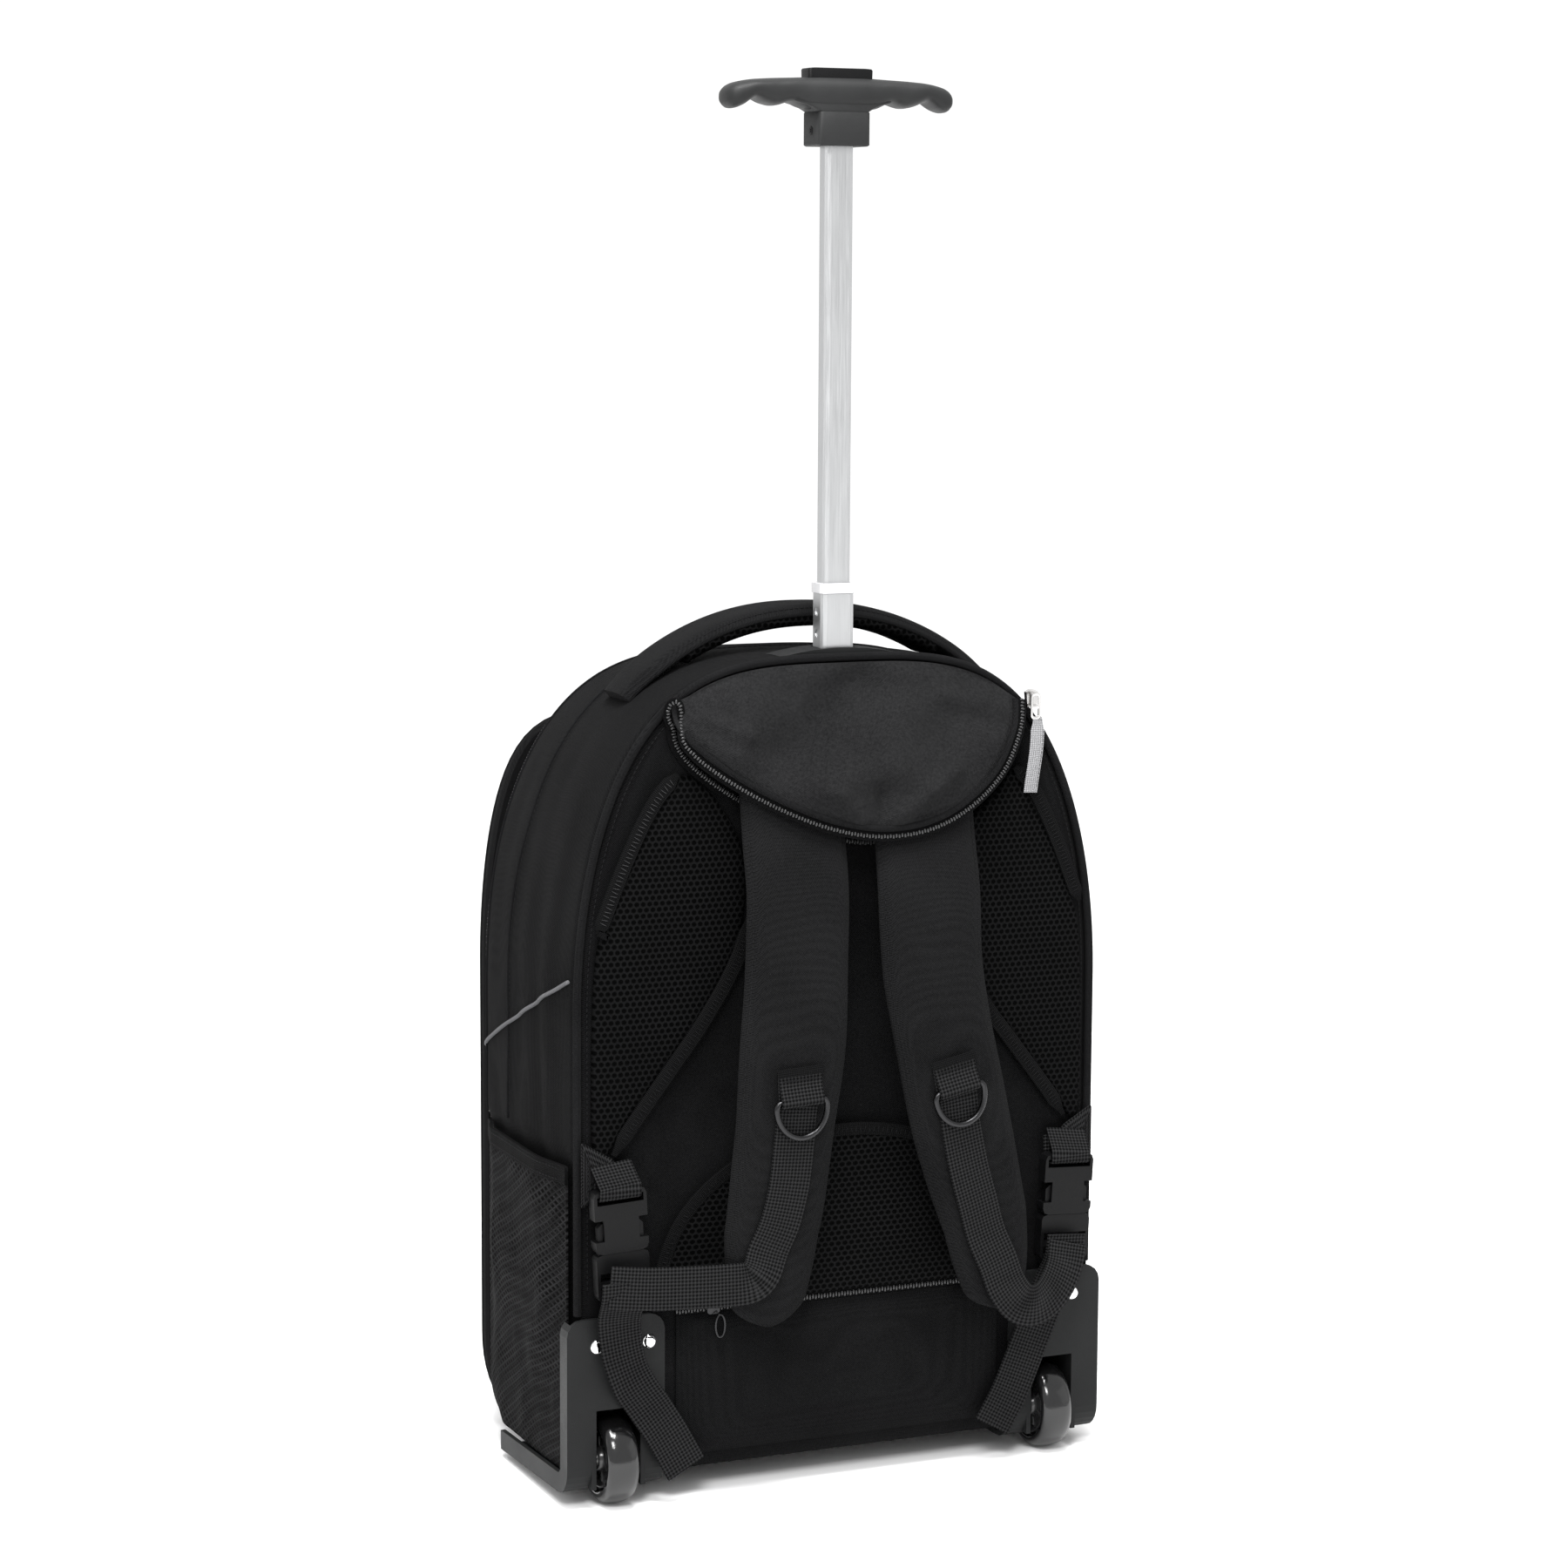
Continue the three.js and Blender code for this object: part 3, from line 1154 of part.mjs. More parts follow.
function cornerGuard(side) {
  const outer = HALF_WIDTH + SIDE_SWELL + GUARD_OVERHANG;
  const inner = outer - GUARD_WIDTH;
  const plate = solidOf(extrudeX(guardProfile(GUARD_WALL), side * inner, side * outer));
  const edge = extrudeX(guardProfile(GUARD_WALL + GUARD_LIP), side * (outer - GUARD_WALL), side * outer);
  const low = REAR_CLEARANCE - GAP;
  const high = WELL_HEIGHT + GUARD_WALL;
  const front = WELL_FRONT + GUARD_WALL;
  const width = WELL_WIDTH + 2 * GUARD_WALL;
  const middle = (front + GUARD_FACE) / 2;
  const housing = block(side * WHEEL_OFFSET, middle, (low + high) / 2, width, front - GUARD_FACE, high - low);
  const room = lowerBlock(side, WELL_WIDTH, WELL_FRONT, WELL_HEIGHT);
  // The plate's upper corners are rounded by keeping what lies in a rounded outline
  const half = GUARD_WIDTH / 2;
  const corner = half - GUARD_CORNER;
  const keep = new THREE.Shape();
  keep.moveTo(-half, -BEYOND);
  keep.lineTo(half, -BEYOND);
  keep.absarc(corner, GUARD_TOP - GUARD_CORNER, GUARD_CORNER, 0, Math.PI / 2);
  keep.absarc(-corner, GUARD_TOP - GUARD_CORNER, GUARD_CORNER, Math.PI / 2, Math.PI);
  keep.closePath();
  const limit = slab(keep, -BEYOND, GUARD_FLANGE + 2 * BEYOND, 2).translate(side * (inner + half), 0, 0);
  const hole = wheelBar(side, AXLE_RADIUS + AXLE_FIT, width + GUARD_WALL);
  const solid = plate.add(solidOf(edge)).add(solidOf(housing)).subtract(room);
  return solid.intersect(solidOf(limit)).subtract(solidOf(hole));
}

// A round bar through the middle of a wheel
function wheelBar(side, radius, length) {
  return barX(side * WHEEL_OFFSET, WHEEL_DEPTH, WHEEL_RADIUS, radius, length, BAR_SIDES);
}

function axle(side) {
  return wheelBar(side, AXLE_RADIUS, WELL_WIDTH + 2 * GUARD_WALL - 4 * GAP);
}

// Wheels, turned about X through their middle. Columns: x as a share of half the width, r of TYRE_HEIGHT
const TYRE_PROFILE = [
  { x: 0.82, r: 0.0 },
  { x: 1.0, r: 0.5 },
  { x: 0.8, r: 0.86 },
  { x: 0.36, r: 1.0 },
];

function tyre() {
  const core = WHEEL_RADIUS - TYRE_HEIGHT;
  const half = WHEEL_WIDTH / 2;
  const right = TYRE_PROFILE.map(({ x, r }) => new THREE.Vector2(core + r * TYRE_HEIGHT, x * half));
  const left = [...right].reverse().map((p) => new THREE.Vector2(p.x, -p.y));
  const profile = [...right, ...left, right[0].clone()];
  return wheelLathe(profile, WHEEL_SIDES);
}

// A solid turned about X from a closed profile of radius and x
function wheelLathe(profile, segments) {
  return turned(profile, segments).rotate([0, 0, -90]);
}

// A solid turned about Y from a profile that is closed or ends on the axis, whichever way round it runs
function turned(points, segments) {
  const made = solidOf(new THREE.LatheGeometry(points, segments));
  return made.volume() > 0 ? made : solidOf(new THREE.LatheGeometry([...points].reverse(), segments));
}

// Hub profile. Columns: x as a share of half the width, r as a share of the way from the bore to the rim
const HUB_PROFILE = [
  { x: 0.95, r: 0.0 },
  { x: 0.95, r: 0.25 },
  { x: 0.55, r: 0.71 },
  { x: 0.8, r: 1.0 },
];

function hub() {
  const core = WHEEL_RADIUS - TYRE_HEIGHT - GAP;
  const half = WHEEL_WIDTH / 2;
  const bore = AXLE_RADIUS + AXLE_FIT;
  const profile = HUB_PROFILE.map(({ x, r }) => new THREE.Vector2(lerp(bore, core, r), x * half));
  const left = [...profile].reverse().map((p) => new THREE.Vector2(p.x, -p.y));
  return wheelLathe([...profile, ...left, profile[0].clone()], HUB_SIDES);
}

// Rivet head profile. Shares: r of RIVET_RADIUS, rise of RIVET_DOME
const RIVET_PROFILE = [
  { r: 0, rise: 0 },
  { r: 1, rise: 0 },
  { r: 0.8, rise: 0.65 },
  { r: 0, rise: 1 },
];

function rivet(x) {
  const points = RIVET_PROFILE.map(({ r, rise }) => new THREE.Vector2(r * RIVET_RADIUS, rise * RIVET_DOME));
  const head = turned(points, RIVET_SIDES).rotate([180, 0, 0]);
  return head.translate([x, GUARD_FACE - GAP, GUARD_TOP - RIVET_DROP]);
}

// Side pockets: mesh over the side wall, with a bound top edge
function sidePocketX(y, z) {
  const back = THREE.MathUtils.smoothstep(y, 0, MAIN_DEPTH / 4);
  const share = back * (1 - THREE.MathUtils.smoothstep(y, SIDE_POCKET_FRONT * 0.8, SIDE_POCKET_FRONT));
  const open = THREE.MathUtils.smoothstep(z, BODY_CORNER * 1.2, SIDE_POCKET_TOP * 0.7);
  const down = Math.max(0, floorAt(y) + BODY_CORNER - z);
  const corner = BODY_CORNER - Math.sqrt(Math.max(0, BODY_CORNER * BODY_CORNER - down * down));
  const wall = HALF_WIDTH + SIDE_SWELL + FOLD_DEPTH * 0.9 + 2 * GAP - SIDE_DENT - corner;
  return wall + share * open * SIDE_POCKET_GAP - SIDE_SWELL * 0.25 * (1 - share);
}

function sidePanel(side, bottom, top, thickness) {
  const columns = 7;
  const rows = top - bottom > 2 * BINDING_HEIGHT ? 5 : 1;
  const rings = [];
  for (let i = 0; i <= columns; i++) {
    const y = lerp(SIDE_POCKET_BACK, SIDE_POCKET_FRONT, i / columns);
    const skin = [];
    for (let j = 0; j <= rows; j++) {
      const z = lerp(bottom, top, j / rows);
      skin.push(vector(side * sidePocketX(y, z), y, z));
    }
    const outer = [...skin].reverse().map((p) => vector(p.x + side * thickness, p.y, p.z));
    rings.push([...skin, ...outer]);
  }
  return solidOf(loft(rings)).subtract(mainForm(GAP));
}

// Carrying handle: a padded band that arches over the top from seam to seam
function grabHandle() {
  const stations = [];
  const steps = 12;
  const foot = archHeight(HANDLE_SPAN / 2) + HANDLE_SEAT;
  const peak = BODY_HEIGHT + HANDLE_RISE - HANDLE_THICKNESS / 2;
  for (let i = 0; i <= steps; i++) {
    const u = lerp(-1, 1, i / steps);
    const x = (u * HANDLE_SPAN) / 2;
    const share = Math.pow(Math.max(0, 1 - Math.pow(Math.abs(u), HANDLE_POWER)), HANDLE_ROUND);
    const width = HANDLE_WIDTH * (1 - HANDLE_TAPER * THREE.MathUtils.smoothstep(Math.abs(u), 0.8, 1));
    stations.push({ at: vector(x, HANDLE_DEPTH, lerp(foot, peak, share)), across: vector(0, 1, 0), width });
  }
  return solidOf(band(stations, HANDLE_THICKNESS, true)).subtract(mainForm(GAP));
}

// Pull handle tubes, upright at x = 0, from the outline of the outside and of the hole
function hollowTube(shape, hole, length, base) {
  shape.holes.push(new THREE.Path(hole.getPoints(1)));
  const geometry = new THREE.ExtrudeGeometry(shape, { depth: length, bevelEnabled: false, curveSegments: 1 });
  return geometry.translate(0, TUBE_DEPTH, base);
}

function squareTube(width, depth, length, base) {
  const hole = roundedRect(width - 2 * TUBE_WALL, depth - 2 * TUBE_WALL, TUBE_CORNER - TUBE_WALL / 2);
  return hollowTube(roundedRect(width, depth, TUBE_CORNER), hole, length, base);
}

const MIDDLE_TOP = TRAY_TOP + MIDDLE_REACH;
const INNER_TOP = MIDDLE_TOP + INNER_REACH;

function middleTube() {
  const top = MIDDLE_TOP - BUSHING_HEIGHT - GAP;
  const base = top - MIDDLE_TUBE_LENGTH;
  let tube = solidOf(squareTube(MIDDLE_TUBE_WIDTH, MIDDLE_TUBE_DEPTH, MIDDLE_TUBE_LENGTH, base));
  for (const x of [MIDDLE_TUBE_WIDTH / 2, -MIDDLE_TUBE_WIDTH / 2]) {
    for (const down of DIMPLE_DROPS) {
      const dimple = barX(x, TUBE_DEPTH, top - down, DIMPLE_RADIUS, DIMPLE_DEPTH, DIMPLE_SIDES);
      tube = tube.subtract(solidOf(dimple));
    }
  }
  return tube;
}

function tubeBushing() {
  const rim = 2 * BUSHING_RIM;
  const shape = roundedRect(MIDDLE_TUBE_WIDTH + rim, MIDDLE_TUBE_DEPTH + rim, TUBE_CORNER);
  const hole = roundedRect(INNER_TUBE_WIDTH + 2 * GAP, INNER_TUBE_DEPTH + 2 * GAP, TUBE_CORNER);
  return hollowTube(shape, hole, BUSHING_HEIGHT, MIDDLE_TOP - BUSHING_HEIGHT);
}

// The lens shaped plastic housing on top of the bag
function handleTray() {
  const shape = new THREE.Shape();
  const half = TRAY_WIDTH / 2;
  const low = archHeight(half) - TRAY_SEAT;
  shape.moveTo(-half, low);
  shape.lineTo(half, low);
  shape.quadraticCurveTo(0, 2 * TRAY_TOP - archHeight(half) - TRAY_SEAT, -half, low);
  const plate = solidOf(slab(shape, TUBE_DEPTH - TRAY_DEPTH / 2, TRAY_DEPTH, 14));
  const width = MIDDLE_TUBE_WIDTH + 2 * TUBE_FIT;
  const depth = MIDDLE_TUBE_DEPTH + 2 * TUBE_FIT;
  const hole = solidOf(block(0, TUBE_DEPTH, BODY_HEIGHT, width, depth, BEYOND));
  return plate.subtract(mainForm(GAP)).subtract(hole);
}

// Grip sections along x. Shares: x of half GRIP_WIDTH, top and low of GRIP_RISE, depth of GRIP_DEPTH
const GRIP_SECTIONS = [
  { x: 1.0, top: 0.72, low: 0.66, depth: 0.3 },
  { x: 0.985, top: 0.8, low: 0.58, depth: 0.6 },
  { x: 0.94, top: 0.87, low: 0.52, depth: 0.8 },
  { x: 0.86, top: 0.915, low: 0.56, depth: 0.9 },
  { x: 0.76, top: 0.945, low: 0.665, depth: 0.95 },
  { x: 0.66, top: 0.96, low: 0.6, depth: 1.0 },
  { x: 0.57, top: 0.97, low: 0.57, depth: 1.0 },
  { x: 0.43, top: 0.98, low: 0.625, depth: 1.0 },
  { x: 0.32, top: 0.99, low: 0.55, depth: 1.0 },
  { x: 0.2, top: 1.0, low: 0.52, depth: 1.0 },
];

function gripSolid() {
  const rows = [...GRIP_SECTIONS, ...[...GRIP_SECTIONS].reverse().map((row) => ({ ...row, x: -row.x }))];
  const rings = rows.map(({ x, top, low, depth }) => {
    const middle = INNER_TOP + (GRIP_RISE * (top + low)) / 2;
    const up = (GRIP_RISE * (top - low)) / 2;
    return Array.from({ length: ROUND_STEPS }, (_, k) => {
      const angle = (k / ROUND_STEPS) * Math.PI * 2;
      const c = Math.cos(angle);
      const s = Math.sin(angle);
      const y = (GRIP_DEPTH / 2) * depth * Math.sign(c) * Math.pow(Math.abs(c), GRIP_POWER);
      const z = up * Math.sign(s) * Math.pow(Math.abs(s), GRIP_POWER);
      return vector((x * GRIP_WIDTH) / 2, TUBE_DEPTH + y, middle + z);
    });
  });
  return solidOf(loft(rings));
}

function tHandle() {
  const height = GRIP_RISE * SOCKET_SHARE;
  const options = { depth: height, bevelEnabled: false, curveSegments: 2 };
  const neck = new THREE.ExtrudeGeometry(roundedRect(SOCKET_WIDTH, SOCKET_DEPTH, SOCKET_ROUND), options);
  neck.translate(0, TUBE_DEPTH, INNER_TOP);
  const fit = 2 * GAP;
  const deep = 2 * TUBE_IN_SOCKET + fit;
  const bore = block(0, TUBE_DEPTH, INNER_TOP, INNER_TUBE_WIDTH + fit, INNER_TUBE_DEPTH + fit, deep);
  const floor = INNER_TOP + GRIP_RISE - BUTTON_TRAVEL - BUTTON_SUNK;
  const tall = GRIP_RISE;
  const recess = block(0, TUBE_DEPTH, floor + tall / 2, BUTTON_WIDTH + fit, BUTTON_DEPTH + fit, tall);
  const dimple = screwBar(SCREW_RADIUS + GAP, 2 * SCREW_SINK);
  const solid = gripSolid().add(solidOf(neck));
  return solid.subtract(solidOf(bore)).subtract(solidOf(recess)).subtract(solidOf(dimple));
}

// A bar along X round the face of the neck, where the screw lies
function screwBar(radius, length) {
  return barX(-SOCKET_WIDTH / 2, TUBE_DEPTH, INNER_TOP + SCREW_RISE, radius, length, BAR_SIDES);
}

function releaseButton() {
  const height = BUTTON_RISE + BUTTON_SUNK - GAP;
  const bevel = BUTTON_BEVEL;
  const options = {
    depth: height - 2 * bevel,
    bevelEnabled: true,
    bevelThickness: bevel,
    bevelSize: bevel,
    bevelOffset: -bevel,
    bevelSegments: 1,
    curveSegments: 1,
  };
  const shape = roundedRect(BUTTON_WIDTH, BUTTON_DEPTH, BUTTON_ROUND);
  const low = INNER_TOP + GRIP_RISE + BUTTON_RISE - height;
  return new THREE.ExtrudeGeometry(shape, options).translate(0, TUBE_DEPTH, low + bevel);
}

function handleScrew() {
  return screwBar(SCREW_RADIUS, SCREW_LENGTH).translate((SCREW_SINK - GAP) / 2, 0, 0);
}

// Reflective cord up each side, from the front seam to the piping
function reflectiveCord(side) {
  const rows = MAIN_SECTIONS.filter((row) => row.depth > 0.02 && row.depth < 0.93);
  const points = rows.map((row) => {
    const y = row.depth * MAIN_DEPTH;
    return vector(side * (sideWall(y) + GAP + CORD_RADIUS), y, lerp(CORD_HIGH, CORD_LOW, row.depth));
  });
  return solidOf(loft(cordRings(points, CORD_RADIUS, 4))).subtract(mainForm(GAP));
}

// The main zip lies in the rounded front edge of the gusset, over the arch
function mainZip() {
  const row = MAIN_SECTIONS[MAIN_SECTIONS.length - 3];
  const ring = mainRing(row, GAP + ZIP_THICKNESS / 2, row.depth * MAIN_DEPTH);
  const arch = ring.filter((p) => p.z > MAIN_ZIP_LOW);
  const right = arch.filter((p) => p.x >= 0);
  const left = arch.filter((p) => p.x < 0);
  const points = [...right, ...left];
  const stations = points.map((at) => ({ at, across: vector(0, 1, 0), width: ZIP_WIDTH * 1.4 }));
  const clear = solidOf(band(stations, ZIP_THICKNESS)).subtract(mainForm(GAP));
  return clear.subtract(pocketForm(-GAP, MAIN_DEPTH, TOTAL_DEPTH));
}

function foot(side) {
  const back = MAIN_DEPTH - 1.5 * FOOT_LENGTH;
  const pad = slab(roundedRect(FOOT_WIDTH, FOOT_HEIGHT, FOOT_ROUND), back, FOOT_LENGTH, 1);
  return solidOf(pad.translate(side * FOOT_OFFSET, 0, FOOT_HEIGHT / 2)).subtract(mainForm(GAP));
}

// The assembly

add("bag_shell", bagShell(), "fabric");
add("front_pocket", frontPocket(), "fabric");
add("main_zip", mainZip(), "zip");
add("back_panel", backPanel(), "fabric");
add("lower_pocket", lowerPocket(), "fabric");
add("lower_zip", lowerZip(), "zip");
add("piping_back", loft(cordRings(pipingPath(), PIPING_RADIUS, 5)), "piping");
add("lumbar_pad", lumbarPad(), "mesh");
add("strap_flap", strapFlap(), "fabric");
add("flap_zip", flapZip(), "zip");
add("rim_zip", rimZip(), "zip");
const slider = add("zip_slider", zipSlider(), "nickel");
slider.position.set(SLIDER_X, SLIDER_Y, SLIDER_Z);
const puller = add("zip_puller", zipPuller(), "nickel");
const pullerY = SLIDER_Y - SLIDER_BRIDGE - GAP - PULLER_THICKNESS;
const pullerZ = SLIDER_Z - PULLER_LENGTH / 4;
puller.position.set(SLIDER_X, pullerY, pullerZ);
const tab = add("zip_tab", zipTab(), "tab");
tab.position.set(SLIDER_X, pullerY + PULLER_THICKNESS / 2, pullerZ - PULLER_LENGTH / 2 - GAP);
add("grab_handle", grabHandle(), "padding");
add("handle_tray", handleTray(), "guard");
const outerTop = BODY_HEIGHT - TRAY_RISE;
const outerLength = outerTop - OUTER_TUBE_BASE;
add("outer_tube", squareTube(OUTER_TUBE_WIDTH, OUTER_TUBE_DEPTH, outerLength, OUTER_TUBE_BASE), "tube");
add("middle_tube", middleTube(), "tube");
add("tube_bushing", tubeBushing(), "bushing");
const innerBase = INNER_TOP + TUBE_IN_SOCKET - INNER_TUBE_LENGTH;
add("inner_tube", squareTube(INNER_TUBE_WIDTH, INNER_TUBE_DEPTH, INNER_TUBE_LENGTH, innerBase), "tube");
add("t_handle", tHandle(), "grip");
add("release_button", releaseButton(), "grip");
add("handle_screw", handleScrew(), "nickel");

const mouth = SIDE_POCKET_TOP - BINDING_HEIGHT;

for (const [name, side] of [["left", -1], ["right", 1]]) {
  add("air_mesh_" + name, airPad(side), "mesh");
  add("reflective_cord_" + name, reflectiveCord(side), "reflective");
  add("shoulder_strap_" + name, shoulderStrap(name), "padding");
  add("strap_webbing_" + name, strapWebbing(name), "webbing");
  const ring = add("d_ring_" + name, dRing(), "ring");
  const { at, lean } = ringPlace(name);
  ring.position.copy(at);
  ring.rotation.y = -lean;
  add("d_loop_" + name, dLoop(name), "webbing");
  const { x, z, lean: tilt } = BUCKLES[name];
  for (const [piece, shape] of [["buckle_socket_", buckleSocket()], ["buckle_plug_", bucklePlug()]]) {
    const mesh = add(piece + name, shape, "buckle");
    mesh.position.set(x * HALF_WIDTH, BUCKLE_BACK, z * BODY_HEIGHT);
    mesh.rotation.y = THREE.MathUtils.degToRad(tilt);
  }
  add("anchor_tab_" + name, anchorTab(name), "webbing");
  add("side_pocket_" + name, sidePanel(side, SIDE_POCKET_BOTTOM, mouth - GAP, SIDE_POCKET_WALL), "mesh");
  add("pocket_binding_" + name, sidePanel(side, mouth, SIDE_POCKET_TOP, SIDE_POCKET_WALL + 1), "webbing");
  add("corner_guard_" + name, cornerGuard(side), "guard");
  add("rivet_" + name + "_outer", rivet(side * (WHEEL_OFFSET + RIVET_OUTER)), "chrome");
  add("rivet_" + name + "_inner", rivet(side * (WHEEL_OFFSET + RIVET_INNER)), "chrome");
  const turning = [["tyre_", tyre(), "tyre"], ["hub_", hub(), "hub"]];
  for (const [piece, shape, finish] of turning) {
    const mesh = add(piece + name, shape, finish);
    mesh.position.set(side * WHEEL_OFFSET, WHEEL_DEPTH, WHEEL_RADIUS);
  }
  add("axle_" + name, axle(side), "nickel");
  add("foot_" + name, foot(side), "guard");
}

// The origin is under the middle of the whole object's box, on the floor
const bounds = new THREE.Box3().setFromObject(group);
const shift = bounds.getCenter(new THREE.Vector3());
group.position.set(-shift.x, -shift.y, -bounds.min.z);

export default group;
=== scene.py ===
import math

import bmesh
import bpy
import numpy as np
from mathutils import Matrix, Vector, noise


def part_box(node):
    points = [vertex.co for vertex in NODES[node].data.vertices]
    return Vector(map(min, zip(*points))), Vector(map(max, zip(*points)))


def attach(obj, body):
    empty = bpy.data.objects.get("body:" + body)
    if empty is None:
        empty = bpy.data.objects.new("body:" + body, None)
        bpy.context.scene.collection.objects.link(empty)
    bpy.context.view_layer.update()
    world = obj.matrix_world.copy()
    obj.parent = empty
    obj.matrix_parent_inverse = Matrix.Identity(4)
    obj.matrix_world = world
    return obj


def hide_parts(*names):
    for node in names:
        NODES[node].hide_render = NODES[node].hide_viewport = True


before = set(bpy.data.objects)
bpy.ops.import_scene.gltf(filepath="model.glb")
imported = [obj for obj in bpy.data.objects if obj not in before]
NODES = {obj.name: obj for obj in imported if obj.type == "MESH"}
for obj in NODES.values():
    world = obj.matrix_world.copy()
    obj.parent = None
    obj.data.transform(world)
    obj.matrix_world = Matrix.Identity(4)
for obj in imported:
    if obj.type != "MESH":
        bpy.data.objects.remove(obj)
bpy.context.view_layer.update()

# Model millimetres: y = 0 is the plane of the back piping, z = 0 the floor
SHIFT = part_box("back_panel")[0][1] * 1000 + 4.0
HALF_WIDTH = 170.0
BODY_HEIGHT = 505.0
MAIN_DEPTH = 165.0
TOTAL_DEPTH = 200.0
ARCH_START = 300.0
ARCH_POWER = 3.5
BODY_CORNER = 34.0
REAR_CLEARANCE = 13.0
FRONT_CLEARANCE = 5.0
REAR_ROUND = 14.0
FRONT_ROUND = 25.0
SIDE_SWELL = 6.0
TOP_DROP = 8.0
PANEL_FACE = -4.0
GAP = 0.3
PIPING_RADIUS = 2.5
STRAP_WIDTH = 66.0
STRAP_THICKNESS = 12.0
STRAP_STANDOFF = 30.0
STRAP_BACK = PANEL_FACE - 0.7
WEBBING_WIDTH = 26.0
WHEEL_OFFSET = 144.5
WHEEL_DEPTH = 7.0
WHEEL_RADIUS = 27.0
WHEEL_WIDTH = 20.5
TUBE_DEPTH = 12.0
INNER_TOP = 803.0
GRIP_HEIGHT = 40
GRIP_HALF_SPAN = 72.5
GRIP_HALF_DEPTH = 13.5
BUTTON_HALF_WIDTH = 21
BUTTON_HALF_DEPTH = 6.5
NET_BACK = 3.2
NET_FRONT = 0.86 * MAIN_DEPTH
NET_TOP = 196.7
HEM_BOTTOM = 197.0
HEM_TOP = 208.0
HANDLE_HALF_SPAN = 118
# The cut for each wheel in the body and the back panel: depth and height
WHEEL_CUT = (41.05, 64.3)


def lerp(a, b, t):
    return a + (b - a) * t


def smooth(a, b, v):
    t = min(1.0, max(0.0, (v - a) / (b - a)))
    return t * t * (3 - 2 * t)


def place(p):
    return Vector((p[0], p[1] + SHIFT, p[2])) * 0.001


# Meshes

def make(name, verts, faces, material, body="bag", nodes=(), uvs=None, sharp=50):
    mesh = bpy.data.meshes.new(name)
    mesh.from_pydata([place(v) for v in verts], [], faces)
    if uvs is not None:
        layer = mesh.uv_layers.new(name="metres")
        flat = [c for face in uvs for uv in face for c in (uv[0] * 0.001, uv[1] * 0.001)]
        layer.data.foreach_set("uv", flat)
    mesh.validate()
    bm = bmesh.new()
    bm.from_mesh(mesh)
    bmesh.ops.recalc_face_normals(bm, faces=bm.faces)
    bm.to_mesh(mesh)
    bm.free()
    mesh.polygons.foreach_set("use_smooth", [True] * len(mesh.polygons))
    mesh.set_sharp_from_angle(angle=math.radians(sharp))
    obj = bpy.data.objects.new(name, mesh)
    bpy.context.collection.objects.link(obj)
    mesh.materials.append(material)
    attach(obj, body)
    if nodes:
        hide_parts(*nodes)
    return obj


def loft(rings, closed=False, caps=True):
    """Vertices, faces and face UVs of a skin over rings of equal size."""
    size = len(rings[0])
    verts = [p for ring in rings for p in ring]
    faces, uvs = [], []
    spans = len(rings) if closed else len(rings) - 1
    round_at = [0.0]
    ring = rings[len(rings) // 2]
    for j in range(size):
        round_at.append(round_at[-1] + (Vector(ring[(j + 1) % size]) - Vector(ring[j])).length)
    along = [0.0]
    for i in range(spans):
        a, b = rings[i], rings[(i + 1) % len(rings)]
        step = (sum((Vector(p) for p in b), Vector()) - sum((Vector(p) for p in a), Vector())) / size
        spread = (Vector(b[0]) - Vector(a[0])).length
        along.append(along[-1] + max(step.length, spread * 0.5))
    for i in range(spans):
        a = i * size
        b = ((i + 1) % len(rings)) * size
        for j in range(size):
            k = (j + 1) % size
            faces.append((a + j, a + k, b + k, b + j))
            uvs.append([(round_at[j], along[i]), (round_at[j + 1], along[i]),
                        (round_at[j + 1], along[i + 1]), (round_at[j], along[i + 1])])
    if caps and not closed:
        for start, first in ((0, True), ((len(rings) - 1) * size, False)):
            order = range(size)
            face = [start + j for j in (order if first else reversed(order))]
            faces.append(tuple(face))
            uvs.append([(round_at[j % size], 0.0) for j in range(size)])
    return verts, faces, uvs


def catmull(points, count, closed=False):
    """Evenly spaced points on a smooth curve through the given ones."""
    pts = [Vector(p) for p in points]
    n = len(pts)
    fine = []
    spans = n if closed else n - 1
    for i in range(spans):
        p0 = pts[(i - 1) % n] if closed or i > 0 else pts[0] * 2 - pts[1]
        p1 = pts[i]
        p2 = pts[(i + 1) % n]
        p3 = pts[(i + 2) % n] if closed or i + 2 < n else pts[-1] * 2 - pts[-2]
        for k in range(12):
            t = k / 12
            fine.append(0.5 * ((2 * p1) + (p2 - p0) * t + (2 * p0 - 5 * p1 + 4 * p2 - p3) * t * t
                               + (3 * p1 - p0 - 3 * p2 + p3) * t ** 3))
    fine.append(pts[0].copy() if closed else pts[-1].copy())
    return resample(fine, count)


def resample(points, count):
    pts = [Vector(p) for p in points]
    at = [0.0]
    for a, b in zip(pts, pts[1:]):
        at.append(at[-1] + (b - a).length)
    out = []
    j = 1
    for i in range(count):
        want = at[-1] * i / (count - 1)
        while j < len(at) - 1 and at[j] < want:
            j += 1
        span = at[j] - at[j - 1] or 1.0
        out.append(pts[j - 1].lerp(pts[j], (want - at[j - 1]) / span))
    return out


